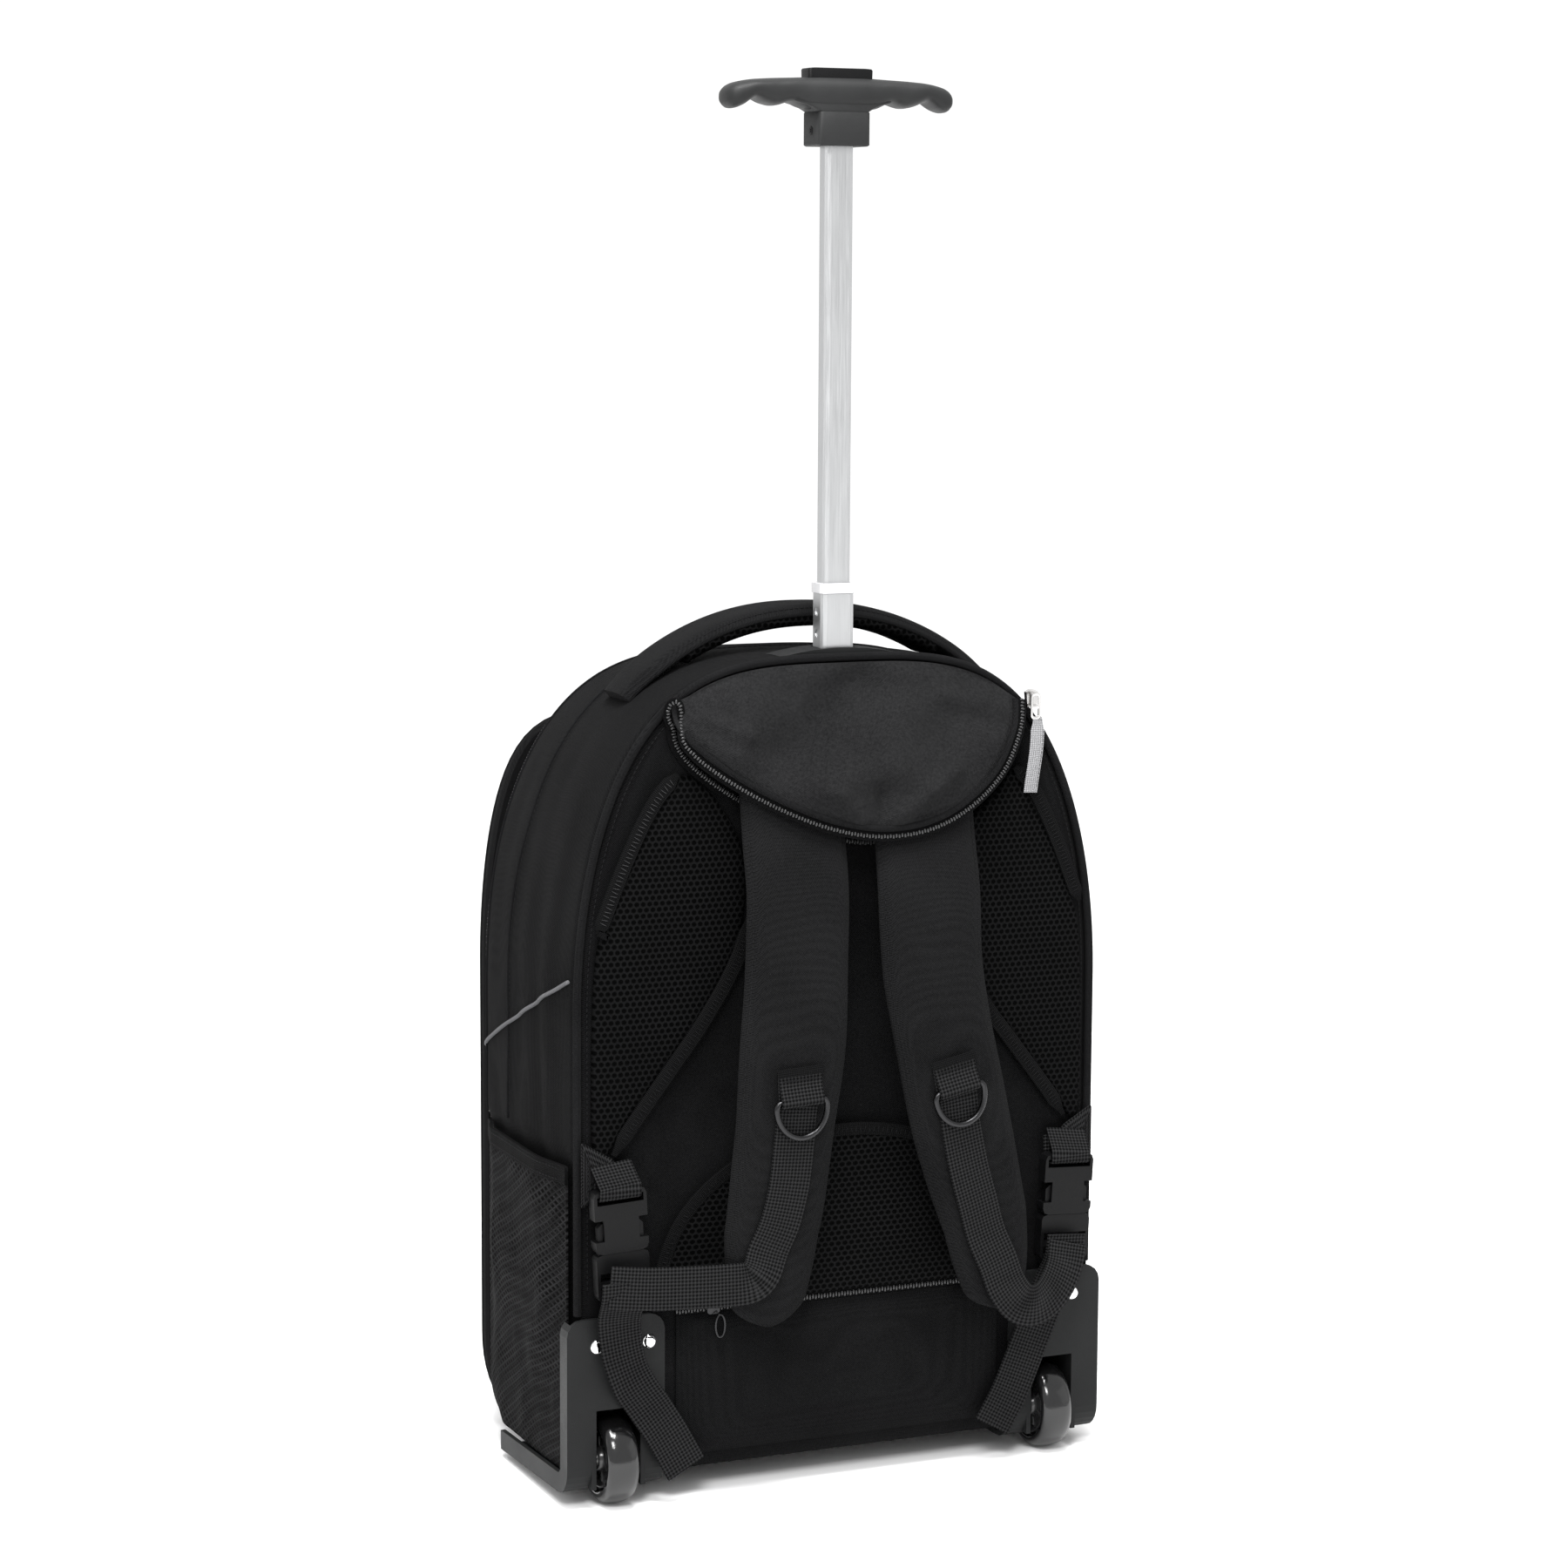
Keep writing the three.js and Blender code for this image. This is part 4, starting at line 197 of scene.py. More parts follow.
def column(table, key, col, at):
    """A smooth value of a column of a table sorted by its key."""
    keys = [row[key] for row in table]
    vals = [row[col] for row in table]
    if at <= keys[0]:
        return vals[0]
    if at >= keys[-1]:
        return vals[-1]
    i = 1
    while keys[i] < at:
        i += 1
    span = keys[i] - keys[i - 1]
    t = (at - keys[i - 1]) / span
    m0 = (vals[i] - vals[i - 2]) / (keys[i] - keys[i - 2]) * span if i > 1 else vals[i] - vals[i - 1]
    m1 = (vals[i + 1] - vals[i - 1]) / (keys[i + 1]
                                        - keys[i - 1]) * span if i + 1 < len(vals) else vals[i] - vals[i - 1]
    h = t * t * t
    q = t * t
    return (2 * h - 3 * q + 1) * vals[i - 1] + (h - 2 * q + t) * m0 + (3 * q - 2 * h) * vals[i] + (h - q) * m1


def grain(p, scale, seed=0.0):
    return noise.noise(Vector((p[0] / scale + seed, p[1] / scale - seed, p[2] / scale + 2 * seed)))


def tube(path, radius, sides=12, closed=False, up=(0, 1, 0)):
    pts = [Vector(p) for p in path]
    rings = []
    for i, at in enumerate(pts):
        before = pts[(i - 1) % len(pts)] if closed or i else pts[0]
        after = pts[(i + 1) % len(pts)] if closed or i + 1 < len(pts) else pts[-1]
        course = (after - before).normalized()
        side = course.cross(Vector(up))
        if side.length < 0.2:
            side = course.cross(Vector((0, 0, 1)))
        side.normalize()
        normal = side.cross(course)
        r = radius(i / (len(pts) - 1)) if callable(radius) else radius
        rings.append([at + side * math.cos(a) * r + normal * math.sin(a) * r
                      for a in (2 * math.pi * k / sides for k in range(sides))])
    return loft(rings, closed)


def strip(stations, thickness, section=None):
    """A flat band over stations of (place, across, width)."""
    section = section or [(1, 0.25), (0.97, 0.85), (0.9, 1), (-0.9, 1), (-0.97, 0.85), (-1, 0.25),
                          (-1, -0.25), (-0.97, -0.85), (-0.9, -1), (0.9, -1), (0.97, -0.85), (1, -0.25)]
    rings = []
    for i, (at, across, width) in enumerate(stations):
        at = Vector(at)
        before = Vector(stations[max(0, i - 1)][0])
        after = Vector(stations[min(len(stations) - 1, i + 1)][0])
        course = (after - before).normalized()
        side = Vector(across)
        side = (side - course * side.dot(course)).normalized()
        normal = course.cross(side).normalized()
        rings.append([at + side * (x * width / 2) + normal * (y * thickness / 2) for x, y in section])
    return loft(rings)


def lathe(profile, sides, centre, axis="x"):
    """A turned solid from a profile of (radius, place along the axis)."""
    rings = []
    for k in range(sides):
        a = 2 * math.pi * k / sides
        ring = []
        for r, t in profile:
            if axis == "x":
                ring.append((centre[0] + t, centre[1] + r * math.cos(a), centre[2] + r * math.sin(a)))
            else:
                ring.append((centre[0] + r * math.cos(a), centre[1] + t, centre[2] + r * math.sin(a)))
        rings.append(ring)
    return loft(rings, closed=True)


def rounded(points, radius, steps=3):
    """A closed 2D outline with its corners rounded."""
    out = []
    n = len(points)
    for i in range(n):
        p = Vector(points[i])
        a = (Vector(points[i - 1]) - p)
        b = (Vector(points[(i + 1) % n]) - p)
        r = min(radius, a.length * 0.45, b.length * 0.45)
        pa = p + a.normalized() * r
        pb = p + b.normalized() * r
        for k in range(steps + 1):
            t = k / steps
            out.append(tuple(pa.lerp(p, t).lerp(p.lerp(pb, t), t)))
    return out


def merge(parts):
    """One mesh from several (verts, faces, uvs)."""
    verts, faces, uvs = [], [], []
    for v, f, u in parts:
        base = len(verts)
        verts += list(v)
        faces += [tuple(i + base for i in face) for face in f]
        uvs += u if u else [[(0, 0)] * len(face) for face in f]
    return verts, faces, uvs


def tablet(centre, size, axes=None, round_off=0.3):
    """A small rounded block with its axes as columns."""
    sx, sy, sz = (s / 2 for s in size)
    ax = axes or (Vector((1, 0, 0)), Vector((0, 1, 0)), Vector((0, 0, 1)))
    c = Vector(centre)
    rings = []
    for t, shrink in ((-1, 1 - round_off), (-0.6, 1), (0.6, 1), (1, 1 - round_off)):
        ring = []
        for k in range(8):
            a = math.pi / 8 + k * math.pi / 4
            x = max(-1, min(1, 1.25 * math.cos(a))) * shrink
            y = max(-1, min(1, 1.25 * math.sin(a))) * shrink
            ring.append(c + ax[0] * x * sx + ax[1] * y * sy + ax[2] * t * sz)
        rings.append(ring)
    return loft(rings)


# Materials

def new_material(name, color, rough):
    material = bpy.data.materials.new(name)
    material.use_nodes = True
    tree = material.node_tree
    shader = tree.nodes["Principled BSDF"]
    shader.inputs["Base Color"].default_value = (*color, 1)
    shader.inputs["Roughness"].default_value = rough
    material.diffuse_color = (*color, 1)
    return material, tree, shader


def nd(tree, kind, **values):
    n = tree.nodes.new(kind)
    for key, value in values.items():
        if key == "ins":
            for socket, v in value.items():
                if isinstance(v, bpy.types.NodeSocket):
                    tree.links.new(v, n.inputs[socket])
                else:
                    n.inputs[socket].default_value = v
        else:
            setattr(n, key, value)
    return n


def calc(tree, operation, a, b=0.0, c=None):
    n = nd(tree, "ShaderNodeMath", operation=operation, ins={0: a, 1: b})
    if c is not None:
        if isinstance(c, bpy.types.NodeSocket):
            tree.links.new(c, n.inputs[2])
        else:
            n.inputs[2].default_value = c
    return n.outputs[0]


def coords(tree, kind="Object"):
    t = nd(tree, "ShaderNodeTexCoord")
    s = nd(tree, "ShaderNodeSeparateXYZ", ins={0: t.outputs[kind]})
    return t.outputs[kind], s.outputs[0], s.outputs[1], s.outputs[2]


def ramp(tree, value, stops):
    r = nd(tree, "ShaderNodeValToRGB", ins={0: value})
    elements = r.color_ramp.elements
    while len(elements) < len(stops):
        elements.new(0.5)
    for e, (at, color) in zip(elements, stops):
        e.position = at
        e.color = (*color, 1) if len(color) == 3 else color
    return r.outputs[0]


def bump(tree, shader, height, distance, strength=1.0):
    b = nd(tree, "ShaderNodeBump", ins={"Height": height, "Distance": distance, "Strength": strength})
    tree.links.new(b.outputs[0], shader.inputs["Normal"])


def wave(tree, value, period):
    return calc(tree, "SINE", calc(tree, "MULTIPLY", value, 2 * math.pi / period))


def fabric(name, dark, light, period=0.0013, depth=0.00028, rough=0.9, sheen=0.008, blotch=18.0,
           woven=0.22, grain_size=900.0):
    """Plain weave in three directions, with soft uneven shading."""
    material, tree, shader = new_material(name, light, rough)
    vec, x, y, z = coords(tree)
    a = wave(tree, calc(tree, "ADD", x, y), period)
    b = wave(tree, z, period)
    c = wave(tree, calc(tree, "SUBTRACT", x, y), period)
    ab = calc(tree, "MULTIPLY", a, b)
    ac = calc(tree, "MULTIPLY", a, c)
    weave = calc(tree, "ADD", ab, calc(tree, "MULTIPLY", ac, 0.5))
    fine = nd(tree, "ShaderNodeTexNoise", ins={"Vector": vec, "Scale": grain_size, "Detail": 2.0})
    large = nd(tree, "ShaderNodeTexNoise", ins={"Vector": vec, "Scale": blotch, "Detail": 3.0})
    height = calc(tree, "ADD", calc(tree, "MULTIPLY", weave, woven * 2.3), fine.outputs[0])
    tone = calc(tree, "ADD", calc(tree, "MULTIPLY", weave, woven),
                calc(tree, "ADD", calc(tree, "MULTIPLY", fine.outputs[0], 0.55),
                     calc(tree, "MULTIPLY", large.outputs[0], 0.45)))
    tree.links.new(ramp(tree, tone, [(0.15, dark), (0.8, light)]), shader.inputs["Base Color"])
    bump(tree, shader, height, depth)
    shader.inputs["Sheen Weight"].default_value = sheen
    shader.inputs["Sheen Roughness"].default_value = 0.5
    shader.inputs["Specular IOR Level"].default_value = 0.025
    return material


def holes(name, thread, hole_shade, pitch=0.0036, radius=0.3, rough=0.8, stretch=1.0, depth=0.0009):
    """Spacer mesh: staggered rows of small holes, coloured near-black inside as painted shade."""
    material, tree, shader = new_material(name, thread, rough)
    vec, x, y, z = coords(tree)
    u = calc(tree, "DIVIDE", x, pitch)
    w = calc(tree, "DIVIDE", z, pitch * stretch * 0.866)
    masks = []
    for shift_u, shift_w in ((0.0, 0.0), (0.5, 1.0)):
        fu = calc(tree, "SUBTRACT", calc(tree, "FRACT", calc(tree, "ADD", u, shift_u + 100)), 0.5)
        fw = calc(tree, "SUBTRACT",
                  calc(tree, "MULTIPLY",
                       calc(tree, "FRACT", calc(tree, "MULTIPLY", calc(tree, "ADD", w, shift_w + 200),
                                                0.5)), 2.0), 1.0)
        fw = calc(tree, "MULTIPLY", fw, 0.866)
        d = calc(tree, "SQRT", calc(tree, "ADD", calc(tree, "MULTIPLY", fu, fu),
                                    calc(tree, "MULTIPLY", fw, fw)))
        masks.append(d)
    near = calc(tree, "MINIMUM", masks[0], masks[1])
    edge = nd(tree, "ShaderNodeMapRange", ins={"Value": near, "From Min": radius * 0.75,
                                               "From Max": radius * 1.25})
    fine = nd(tree, "ShaderNodeTexNoise", ins={"Vector": vec, "Scale": 1100.0, "Detail": 2.0})
    large = nd(tree, "ShaderNodeTexNoise", ins={"Vector": vec, "Scale": 25.0, "Detail": 2.0})
    tone = calc(tree, "ADD", calc(tree, "MULTIPLY", fine.outputs[0], 0.6),
                calc(tree, "MULTIPLY", large.outputs[0], 0.4))
    cloth = ramp(tree, tone, [(0.2, tuple(c * 0.55 for c in thread)), (0.8, thread)])
    # Inside each hole the colour turns near-black: painted shade down in the hole.
    mix = nd(tree, "ShaderNodeMix", data_type="RGBA", ins={0: edge.outputs[0]})
    mix.inputs[6].default_value = (*hole_shade, 1)
    tree.links.new(cloth, mix.inputs[7])
    tree.links.new(mix.outputs[2], shader.inputs["Base Color"])
    height = calc(tree, "ADD", edge.outputs[0], calc(tree, "MULTIPLY", fine.outputs[0], 0.25))
    bump(tree, shader, height, depth)
    shader.inputs["Specular IOR Level"].default_value = 0.02
    return material


def net(name, thread, hole_shade, pitch=0.0042, rough=0.85):
    """Knitted side net: small diamond openings, over a second layer that drifts against it in soft bands. The openings
    are coloured near-black: the black body behind, darkened further as painted shade.
    """
    material, tree, shader = new_material(name, thread, rough)
    vec, x, y, z = coords(tree)
    wide = nd(tree, "ShaderNodeTexNoise", ins={"Vector": vec, "Scale": 9.0, "Detail": 1.0})
    bend = calc(tree, "MULTIPLY", calc(tree, "SUBTRACT", wide.outputs[0], 0.5), 0.03)
    layers = []
    for scale, drift in ((1.0, 0.35), (1.07, 1.0)):
        p = calc(tree, "ADD", y, calc(tree, "MULTIPLY", bend, drift))
        q = calc(tree, "ADD", z, calc(tree, "MULTIPLY", bend, drift * 1.6))
        lines = []
        for sign in (1.0, -1.0):
            diag = calc(tree, "ADD", calc(tree, "MULTIPLY", p, 0.55 * sign), q)
            lines.append(calc(tree, "ABSOLUTE", wave(tree, diag, 2 * pitch * scale)))
        thin = calc(tree, "MINIMUM", lines[0], lines[1])
        mask = nd(tree, "ShaderNodeMapRange", ins={"Value": thin, "From Min": 0.7, "From Max": 0.25})
        layers.append(mask.outputs[0])
    under = calc(tree, "MULTIPLY", layers[1], 0.45)
    cover = calc(tree, "MAXIMUM", layers[0], under)
    blotch = nd(tree, "ShaderNodeTexNoise", ins={"Vector": vec, "Scale": 24.0, "Detail": 3.0})
    band = wave(tree, calc(tree, "ADD", calc(tree, "ADD", z, calc(tree, "MULTIPLY", y, 0.6)),
                           calc(tree, "MULTIPLY", bend, 3.0)), 0.015)
    light = calc(tree, "ADD", calc(tree, "MULTIPLY", blotch.outputs[0], 0.7),
                 calc(tree, "MULTIPLY", band, 0.16))
    level = calc(tree, "MULTIPLY", cover, calc(tree, "ADD", light, 0.22))
    # Where the net is open the colour is near-black: partly the black body behind, partly painted shade.
    tree.links.new(ramp(tree, level, [(0.0, hole_shade), (0.9, thread)]), shader.inputs["Base Color"])
    bump(tree, shader, cover, 0.0007)
    shader.inputs["Specular IOR Level"].default_value = 0.03
    return material


def webbing(name, dark, light, pitch=0.0029, rough=0.8):
    """Woven tape: raised threads in rows, each row half a step on from the last."""
    material, tree, shader = new_material(name, light, rough)
    t = nd(tree, "ShaderNodeTexCoord")
    flat = nd(tree, "ShaderNodeUVMap", uv_map="metres")
    s = nd(tree, "ShaderNodeSeparateXYZ", ins={0: flat.outputs[0]})
    u, v = s.outputs[0], s.outputs[1]
    a = wave(tree, calc(tree, "ADD", u, v), pitch * 1.5)
    b = wave(tree, calc(tree, "SUBTRACT", u, v), pitch * 1.5)
    h = calc(tree, "ADD", calc(tree, "MULTIPLY", calc(tree, "MULTIPLY", a, b), 0.5), 0.5)
    fine = nd(tree, "ShaderNodeTexNoise", ins={"Vector": t.outputs["Object"], "Scale": 700.0, "Detail": 2.0})
    tone = calc(tree, "ADD", calc(tree, "MULTIPLY", h, 0.85), calc(tree, "MULTIPLY", fine.outputs[0], 0.2))
    tree.links.new(ramp(tree, tone, [(0.2, dark), (0.85, light)]), shader.inputs["Base Color"])
    bump(tree, shader, tone, 0.0011)
    shader.inputs["Specular IOR Level"].default_value = 0.04
    return material


def moulded(name, color, rough=0.45, size=2400.0, depth=0.00012, worn=1.35, shine=0.35):
    """Moulded plastic with a fine grain and faint handling marks."""
    material, tree, shader = new_material(name, color, rough)
    vec, x, y, z = coords(tree)
    fine = nd(tree, "ShaderNodeTexNoise", ins={"Vector": vec, "Scale": size, "Detail": 2.0})
    large = nd(tree, "ShaderNodeTexNoise", ins={"Vector": vec, "Scale": 22.0, "Detail": 4.0,
                                                "Roughness": 0.6})
    tree.links.new(ramp(tree, large.outputs[0], [(0.3, tuple(c * 0.85 for c in color)),
                                                 (0.75, tuple(c * worn for c in color))]), shader.inputs["Base Color"])
    r = nd(tree, "ShaderNodeMapRange", ins={"Value": large.outputs[0], "From Min": 0.3, "From Max": 0.7,
                                            "To Min": rough * 0.85, "To Max": min(1.0, rough * 1.15)})
    tree.links.new(r.outputs[0], shader.inputs["Roughness"])
    bump(tree, shader, fine.outputs[0], depth)
    shader.inputs["Specular IOR Level"].default_value = shine
    return material


def metal(name, color, rough, streak=0.0, depth=0.00003):
    """Metal with fine drawn lines along Z, or soft polishing marks."""
    material, tree, shader = new_material(name, color, rough)
    shader.inputs["Metallic"].default_value = 1.0
    vec, x, y, z = coords(tree)
    stretch = nd(tree, "ShaderNodeMapping", ins={"Vector": vec, "Scale": (1.0, 1.0, 0.02 if streak else 1.0)})
    lines = nd(tree, "ShaderNodeTexNoise", ins={"Vector": stretch.outputs[0],
                                                "Scale": 1800.0 if streak else 260.0, "Detail": 3.0})
    r = nd(tree, "ShaderNodeMapRange", ins={"Value": lines.outputs[0], "From Min": 0.3, "From Max": 0.7,
                                            "To Min": rough * 0.8, "To Max": rough * 1.25})
    tree.links.new(r.outputs[0], shader.inputs["Roughness"])
    tree.links.new(ramp(tree, lines.outputs[0], [(0.3, tuple(c * 0.93 for c in color)), (0.7, color)]),
                   shader.inputs["Base Color"])
    bump(tree, shader, lines.outputs[0], depth)
    return material


def thread_material(name, color):
    material, tree, shader = new_material(name, color, 0.7)
    vec, x, y, z = coords(tree)
    twist = wave(tree, calc(tree, "ADD", z, calc(tree, "ADD", x, y)), 0.0007)
    tree.links.new(ramp(tree, calc(tree, "ABSOLUTE", twist),
                        [(0.0, tuple(c * 0.6 for c in color)), (1.0, color)]),
                   shader.inputs["Base Color"])
    bump(tree, shader, twist, 0.0001)
    shader.inputs["Specular IOR Level"].default_value = 0.07
    return material


CLOTH = fabric("bag_cloth", (0.0012, 0.0012, 0.0013), (0.0066, 0.0066, 0.0069))
PAD_CLOTH = fabric("strap_cloth", (0.0022, 0.0022, 0.0023), (0.0098, 0.0098, 0.0102), period=0.0014)
FLAP_CLOTH = fabric("flap_cloth", (0.003, 0.003, 0.0032), (0.0165, 0.0165, 0.017), depth=0.0008,
                    woven=0.05, grain_size=560.0)
PIPING = fabric("piping_cloth", (0.002, 0.002, 0.0021), (0.0095, 0.0095, 0.01), period=0.001)
BINDING = webbing("binding_tape", (0.0012, 0.0012, 0.0013), (0.0075, 0.0075, 0.0078), pitch=0.0014)
MESH = holes("air_mesh", (0.0055, 0.0055, 0.0057), (0.0003, 0.0003, 0.0003), pitch=0.004, radius=0.33)
LUMBAR_MESH = holes("lumbar_mesh", (0.0062, 0.0062, 0.0064), (0.0003, 0.0003, 0.0003), pitch=0.0044,
                    radius=0.34, stretch=0.85)
NET = net("side_net", (0.017, 0.017, 0.0175), (0.0004, 0.0004, 0.0004))
WEBBING = webbing("webbing_tape", (0.001, 0.001, 0.0011), (0.019, 0.019, 0.0195))
REFLECTIVE = webbing("reflective_tape", (0.08, 0.08, 0.085), (0.26, 0.26, 0.27), pitch=0.0008)
TEETH = moulded("zip_teeth", (0.02, 0.02, 0.0205), 0.35, shine=0.4)
TAPE = fabric("zip_tape", (0.0012, 0.0012, 0.0013), (0.004, 0.004, 0.0042), period=0.0008)
NICKEL = metal("nickel", (0.62, 0.61, 0.6), 0.2)
CHROME = metal("rivet_chrome", (0.95, 0.95, 0.95), 0.06)
TAB = webbing("pull_tab", (0.14, 0.14, 0.143), (0.4, 0.4, 0.41), pitch=0.0012)
GUARD = moulded("guard_plastic", (0.0085, 0.0088, 0.009), 0.5, shine=0.1)
BUCKLE = moulded("buckle_plastic", (0.0025, 0.0025, 0.0027), 0.42, shine=0.12)
RING = metal("ring_metal", (0.03, 0.03, 0.031), 0.3)
TYRE = moulded("tyre_rubber", (0.004, 0.004, 0.0042), 0.14, size=900.0, depth=0.00005, shine=0.5)
HUB = moulded("hub_plastic", (0.02, 0.02, 0.0205), 0.2, size=900.0, depth=0.00004, shine=0.5)
AXLE = metal("axle_steel", (0.4, 0.4, 0.4), 0.25)
TUBE = metal("drawn_tube", (0.46, 0.465, 0.47), 0.36, streak=1.0)
BUSH = moulded("bushing_plastic", (0.5, 0.5, 0.51), 0.4, worn=1.03)
GRIP = moulded("grip_plastic", (0.0135, 0.0138, 0.014), 0.5, shine=0.15)
THREAD = thread_material("black_thread", (0.009, 0.009, 0.0095))
GREY_THREAD = thread_material("grey_thread", (0.035, 0.035, 0.036))


# Outlines of the bag, from the same sizes as the solids

def arch_outline(half, bottom, top, start, power, corner, count, tall=None):
    corner = max(1.0, corner)
    tall = max(1.0, tall or corner)
    pts = [Vector((0, 0, bottom)), Vector((half - corner, 0, bottom))]
    for i in range(1, 17):
        a = -math.pi / 2 + i / 16 * math.pi / 2
        pts.append(Vector((half - corner + corner * math.cos(a), 0, bottom + tall + tall * math.sin(a))))
    for i in range(81):
        a = i / 80 * math.pi / 2
        pts.append(Vector((half * max(0.0, math.cos(a)) ** (2 / power), 0,
                           start + (top - start) * math.sin(a))))
    right = resample(pts, count)
    left = [Vector((-p.x, 0, p.z)) for p in reversed(right[1:-1])]
    return right + left


def arch_height(x):
    return ARCH_START + (BODY_HEIGHT - ARCH_START) * math.sqrt(max(0.0,
                                                                   1 - min(1.0, abs(x) / HALF_WIDTH) ** ARCH_POWER))


def floor_at(y):
    return lerp(REAR_CLEARANCE, FRONT_CLEARANCE, y / TOTAL_DEPTH)


def corner_at(y):
    """Width and height of the lower corner's round: tight in the guards, long and soft at the front."""
    t = smooth(104, 165, y)
    return lerp(15, 26, t), lerp(15, 54, t)


MAIN_SECTIONS = [
    {"depth": 0.0, "swell": 0.0, "drop": 0.0, "lift": 0.95, "inset": 0.06},
    {"depth": 0.018, "swell": 0.1, "drop": 0.0, "lift": 0.5, "inset": 0.0},
    {"depth": 0.05, "swell": 0.2, "drop": 0.0, "lift": 0.14, "inset": 0.0},
    {"depth": 0.1, "swell": 0.4, "drop": 0.0, "lift": 0.0, "inset": 0.0},
    {"depth": 0.18, "swell": 0.7, "drop": 0.05, "lift": 0.0, "inset": 0.0},
    {"depth": 0.27, "swell": 0.85, "drop": 0.1, "lift": 0.0, "inset": 0.0},
    {"depth": 0.37, "swell": 0.95, "drop": 0.2, "lift": 0.0, "inset": 0.0},
    {"depth": 0.47, "swell": 1.0, "drop": 0.3, "lift": 0.0, "inset": 0.0},
    {"depth": 0.57, "swell": 1.0, "drop": 0.45, "lift": 0.0, "inset": 0.0},
    {"depth": 0.68, "swell": 1.0, "drop": 0.6, "lift": 0.0, "inset": 0.0},
    {"depth": 0.8, "swell": 0.9, "drop": 0.8, "lift": 0.0, "inset": 0.0},
    {"depth": 0.88, "swell": 0.7, "drop": 0.9, "lift": 0.0, "inset": 0.05},
    {"depth": 0.94, "swell": 0.4, "drop": 1.0, "lift": 0.0, "inset": 0.2},
    {"depth": 0.98, "swell": 0.1, "drop": 1.0, "lift": 0.0, "inset": 0.46},
    {"depth": 1.0, "swell": 0.0, "drop": 1.0, "lift": 0.0, "inset": 0.8},
]
# Soft upright folds of the side wall: place in depth, height (below 0 a valley) and width in mm, and lean
FOLDS = [
    {"at": 20, "high": -1.6, "wide": 9, "lean": 0.05},
    {"at": 34, "high": 1.6, "wide": 10, "lean": 0.03},
    {"at": 50, "high": -2.4, "wide": 9, "lean": 0.08},
    {"at": 66, "high": 1.8, "wide": 12, "lean": -0.02},
    {"at": 82, "high": -2.2, "wide": 10, "lean": 0.06},
    {"at": 100, "high": 1.4, "wide": 12, "lean": 0.02},
    {"at": 118, "high": -1.8, "wide": 10, "lean": 0.0},
]


def side_folds(x, y, z):
    side = smooth(0.6, 0.95, abs(x) / HALF_WIDTH) * smooth(BODY_CORNER, 2 * BODY_CORNER, z)
    top = 1 - 0.55 * smooth(380, 500, z)
    seed = 3.1 if x > 0 else 0.0
    value = 0.0
    for i, f in enumerate(FOLDS):
        sway = f["lean"] * (z - 300) + 7 * noise.noise(Vector((z / 90, i * 3.7 + seed, 0.3)))
        live = 0.7 + 1.1 * noise.noise(Vector((z / 80, i * 5.1 + seed, 4.0)))
        value += f["high"] * live * math.exp(-((y - f["at"] - sway) / f["wide"]) ** 2)
    value += 1.1 * noise.noise(Vector((y / 28, z / 60, seed)))
    return 0.68 * side * top * value


def dent(x, z):
    return 5.0 * smooth(0.9, 0.98, abs(x) / HALF_WIDTH) * (1 - smooth(197, 219, z))


def main_ring(y, count, grow=0.0, folded=True):
    d = y / MAIN_DEPTH
    inset = column(MAIN_SECTIONS, "depth", "inset", d) * FRONT_ROUND - grow
    swell = column(MAIN_SECTIONS, "depth", "swell", d) * SIDE_SWELL
    drop = column(MAIN_SECTIONS, "depth", "drop", d) * TOP_DROP
    lift = max(0.0, column(MAIN_SECTIONS, "depth", "lift", d)) * REAR_ROUND
    corner, tall = corner_at(y)
    ring = arch_outline(HALF_WIDTH + swell - inset, floor_at(y) + lift + inset, BODY_HEIGHT - drop - inset,
                        ARCH_START, ARCH_POWER, corner - inset * 0.5, count, tall - inset * 0.5)
    fade = smooth(2, 14, y) * (1 - smooth(140, 158, y))
    out = []
    for p in ring:
        push = -dent(p.x, p.z)
        if folded:
            push += fade * side_folds(p.x, y, p.z)
        out.append(Vector((p.x + push * (1 if p.x > 0 else -1 if p.x < 0 else 0), y, p.z)))
    return out


def gusset_seams():
    """Fine corded seams round the side wall, each side of the main zip."""
    for label, y in (("middle", 96.0), ("front", 143.0)):
        ring = main_ring(y, 150, grow=0.25)
        arch = [p for p in ring if p.z > 214]
        path = catmull([p for p in arch if p.x >= 0] + [p for p in arch if p.x < 0], 220)
        v, f, u = tube(path, 1.0, 8)
        make("gusset_seam_" + label, v, f, PIPING)
        near = [p + Vector((0, -3.2, 0)) + Vector((p.x, 0, max(0.0, p.z - 300))).normalized() * 0.35
                for p in path]
        stitches("gusset_thread_" + label, near[::2], normal=(0.5, 0, 0.5))


def boxes_cut(obj, boxes):
    """Cuts boxes given as low and high corners in model mm out of a piece."""
    for low, high in boxes:
        mesh = bpy.data.meshes.new("cut")
        bm = bmesh.new()
        bmesh.ops.create_cube(bm, size=1.0)
        lo, hi = place(low), place(high)
        for v in bm.verts:
            v.co = Vector((lerp(lo[k], hi[k], v.co[k] + 0.5) for k in range(3)))
        bm.to_mesh(mesh)
        bm.free()
        cutter = bpy.data.objects.new("cut", mesh)
        bpy.context.collection.objects.link(cutter)
        mod = obj.modifiers.new("cut", "BOOLEAN")
        mod.object = cutter
        mod.operation = "DIFFERENCE"
        mod.solver = "EXACT"
        apply_modifiers(obj)
        bpy.data.objects.remove(cutter)


def apply_modifiers(obj):
    depsgraph = bpy.context.evaluated_depsgraph_get()
    mesh = bpy.data.meshes.new_from_object(obj.evaluated_get(depsgraph))
    obj.modifiers.clear()
    old = obj.data
    obj.data = mesh
    bpy.data.meshes.remove(old)


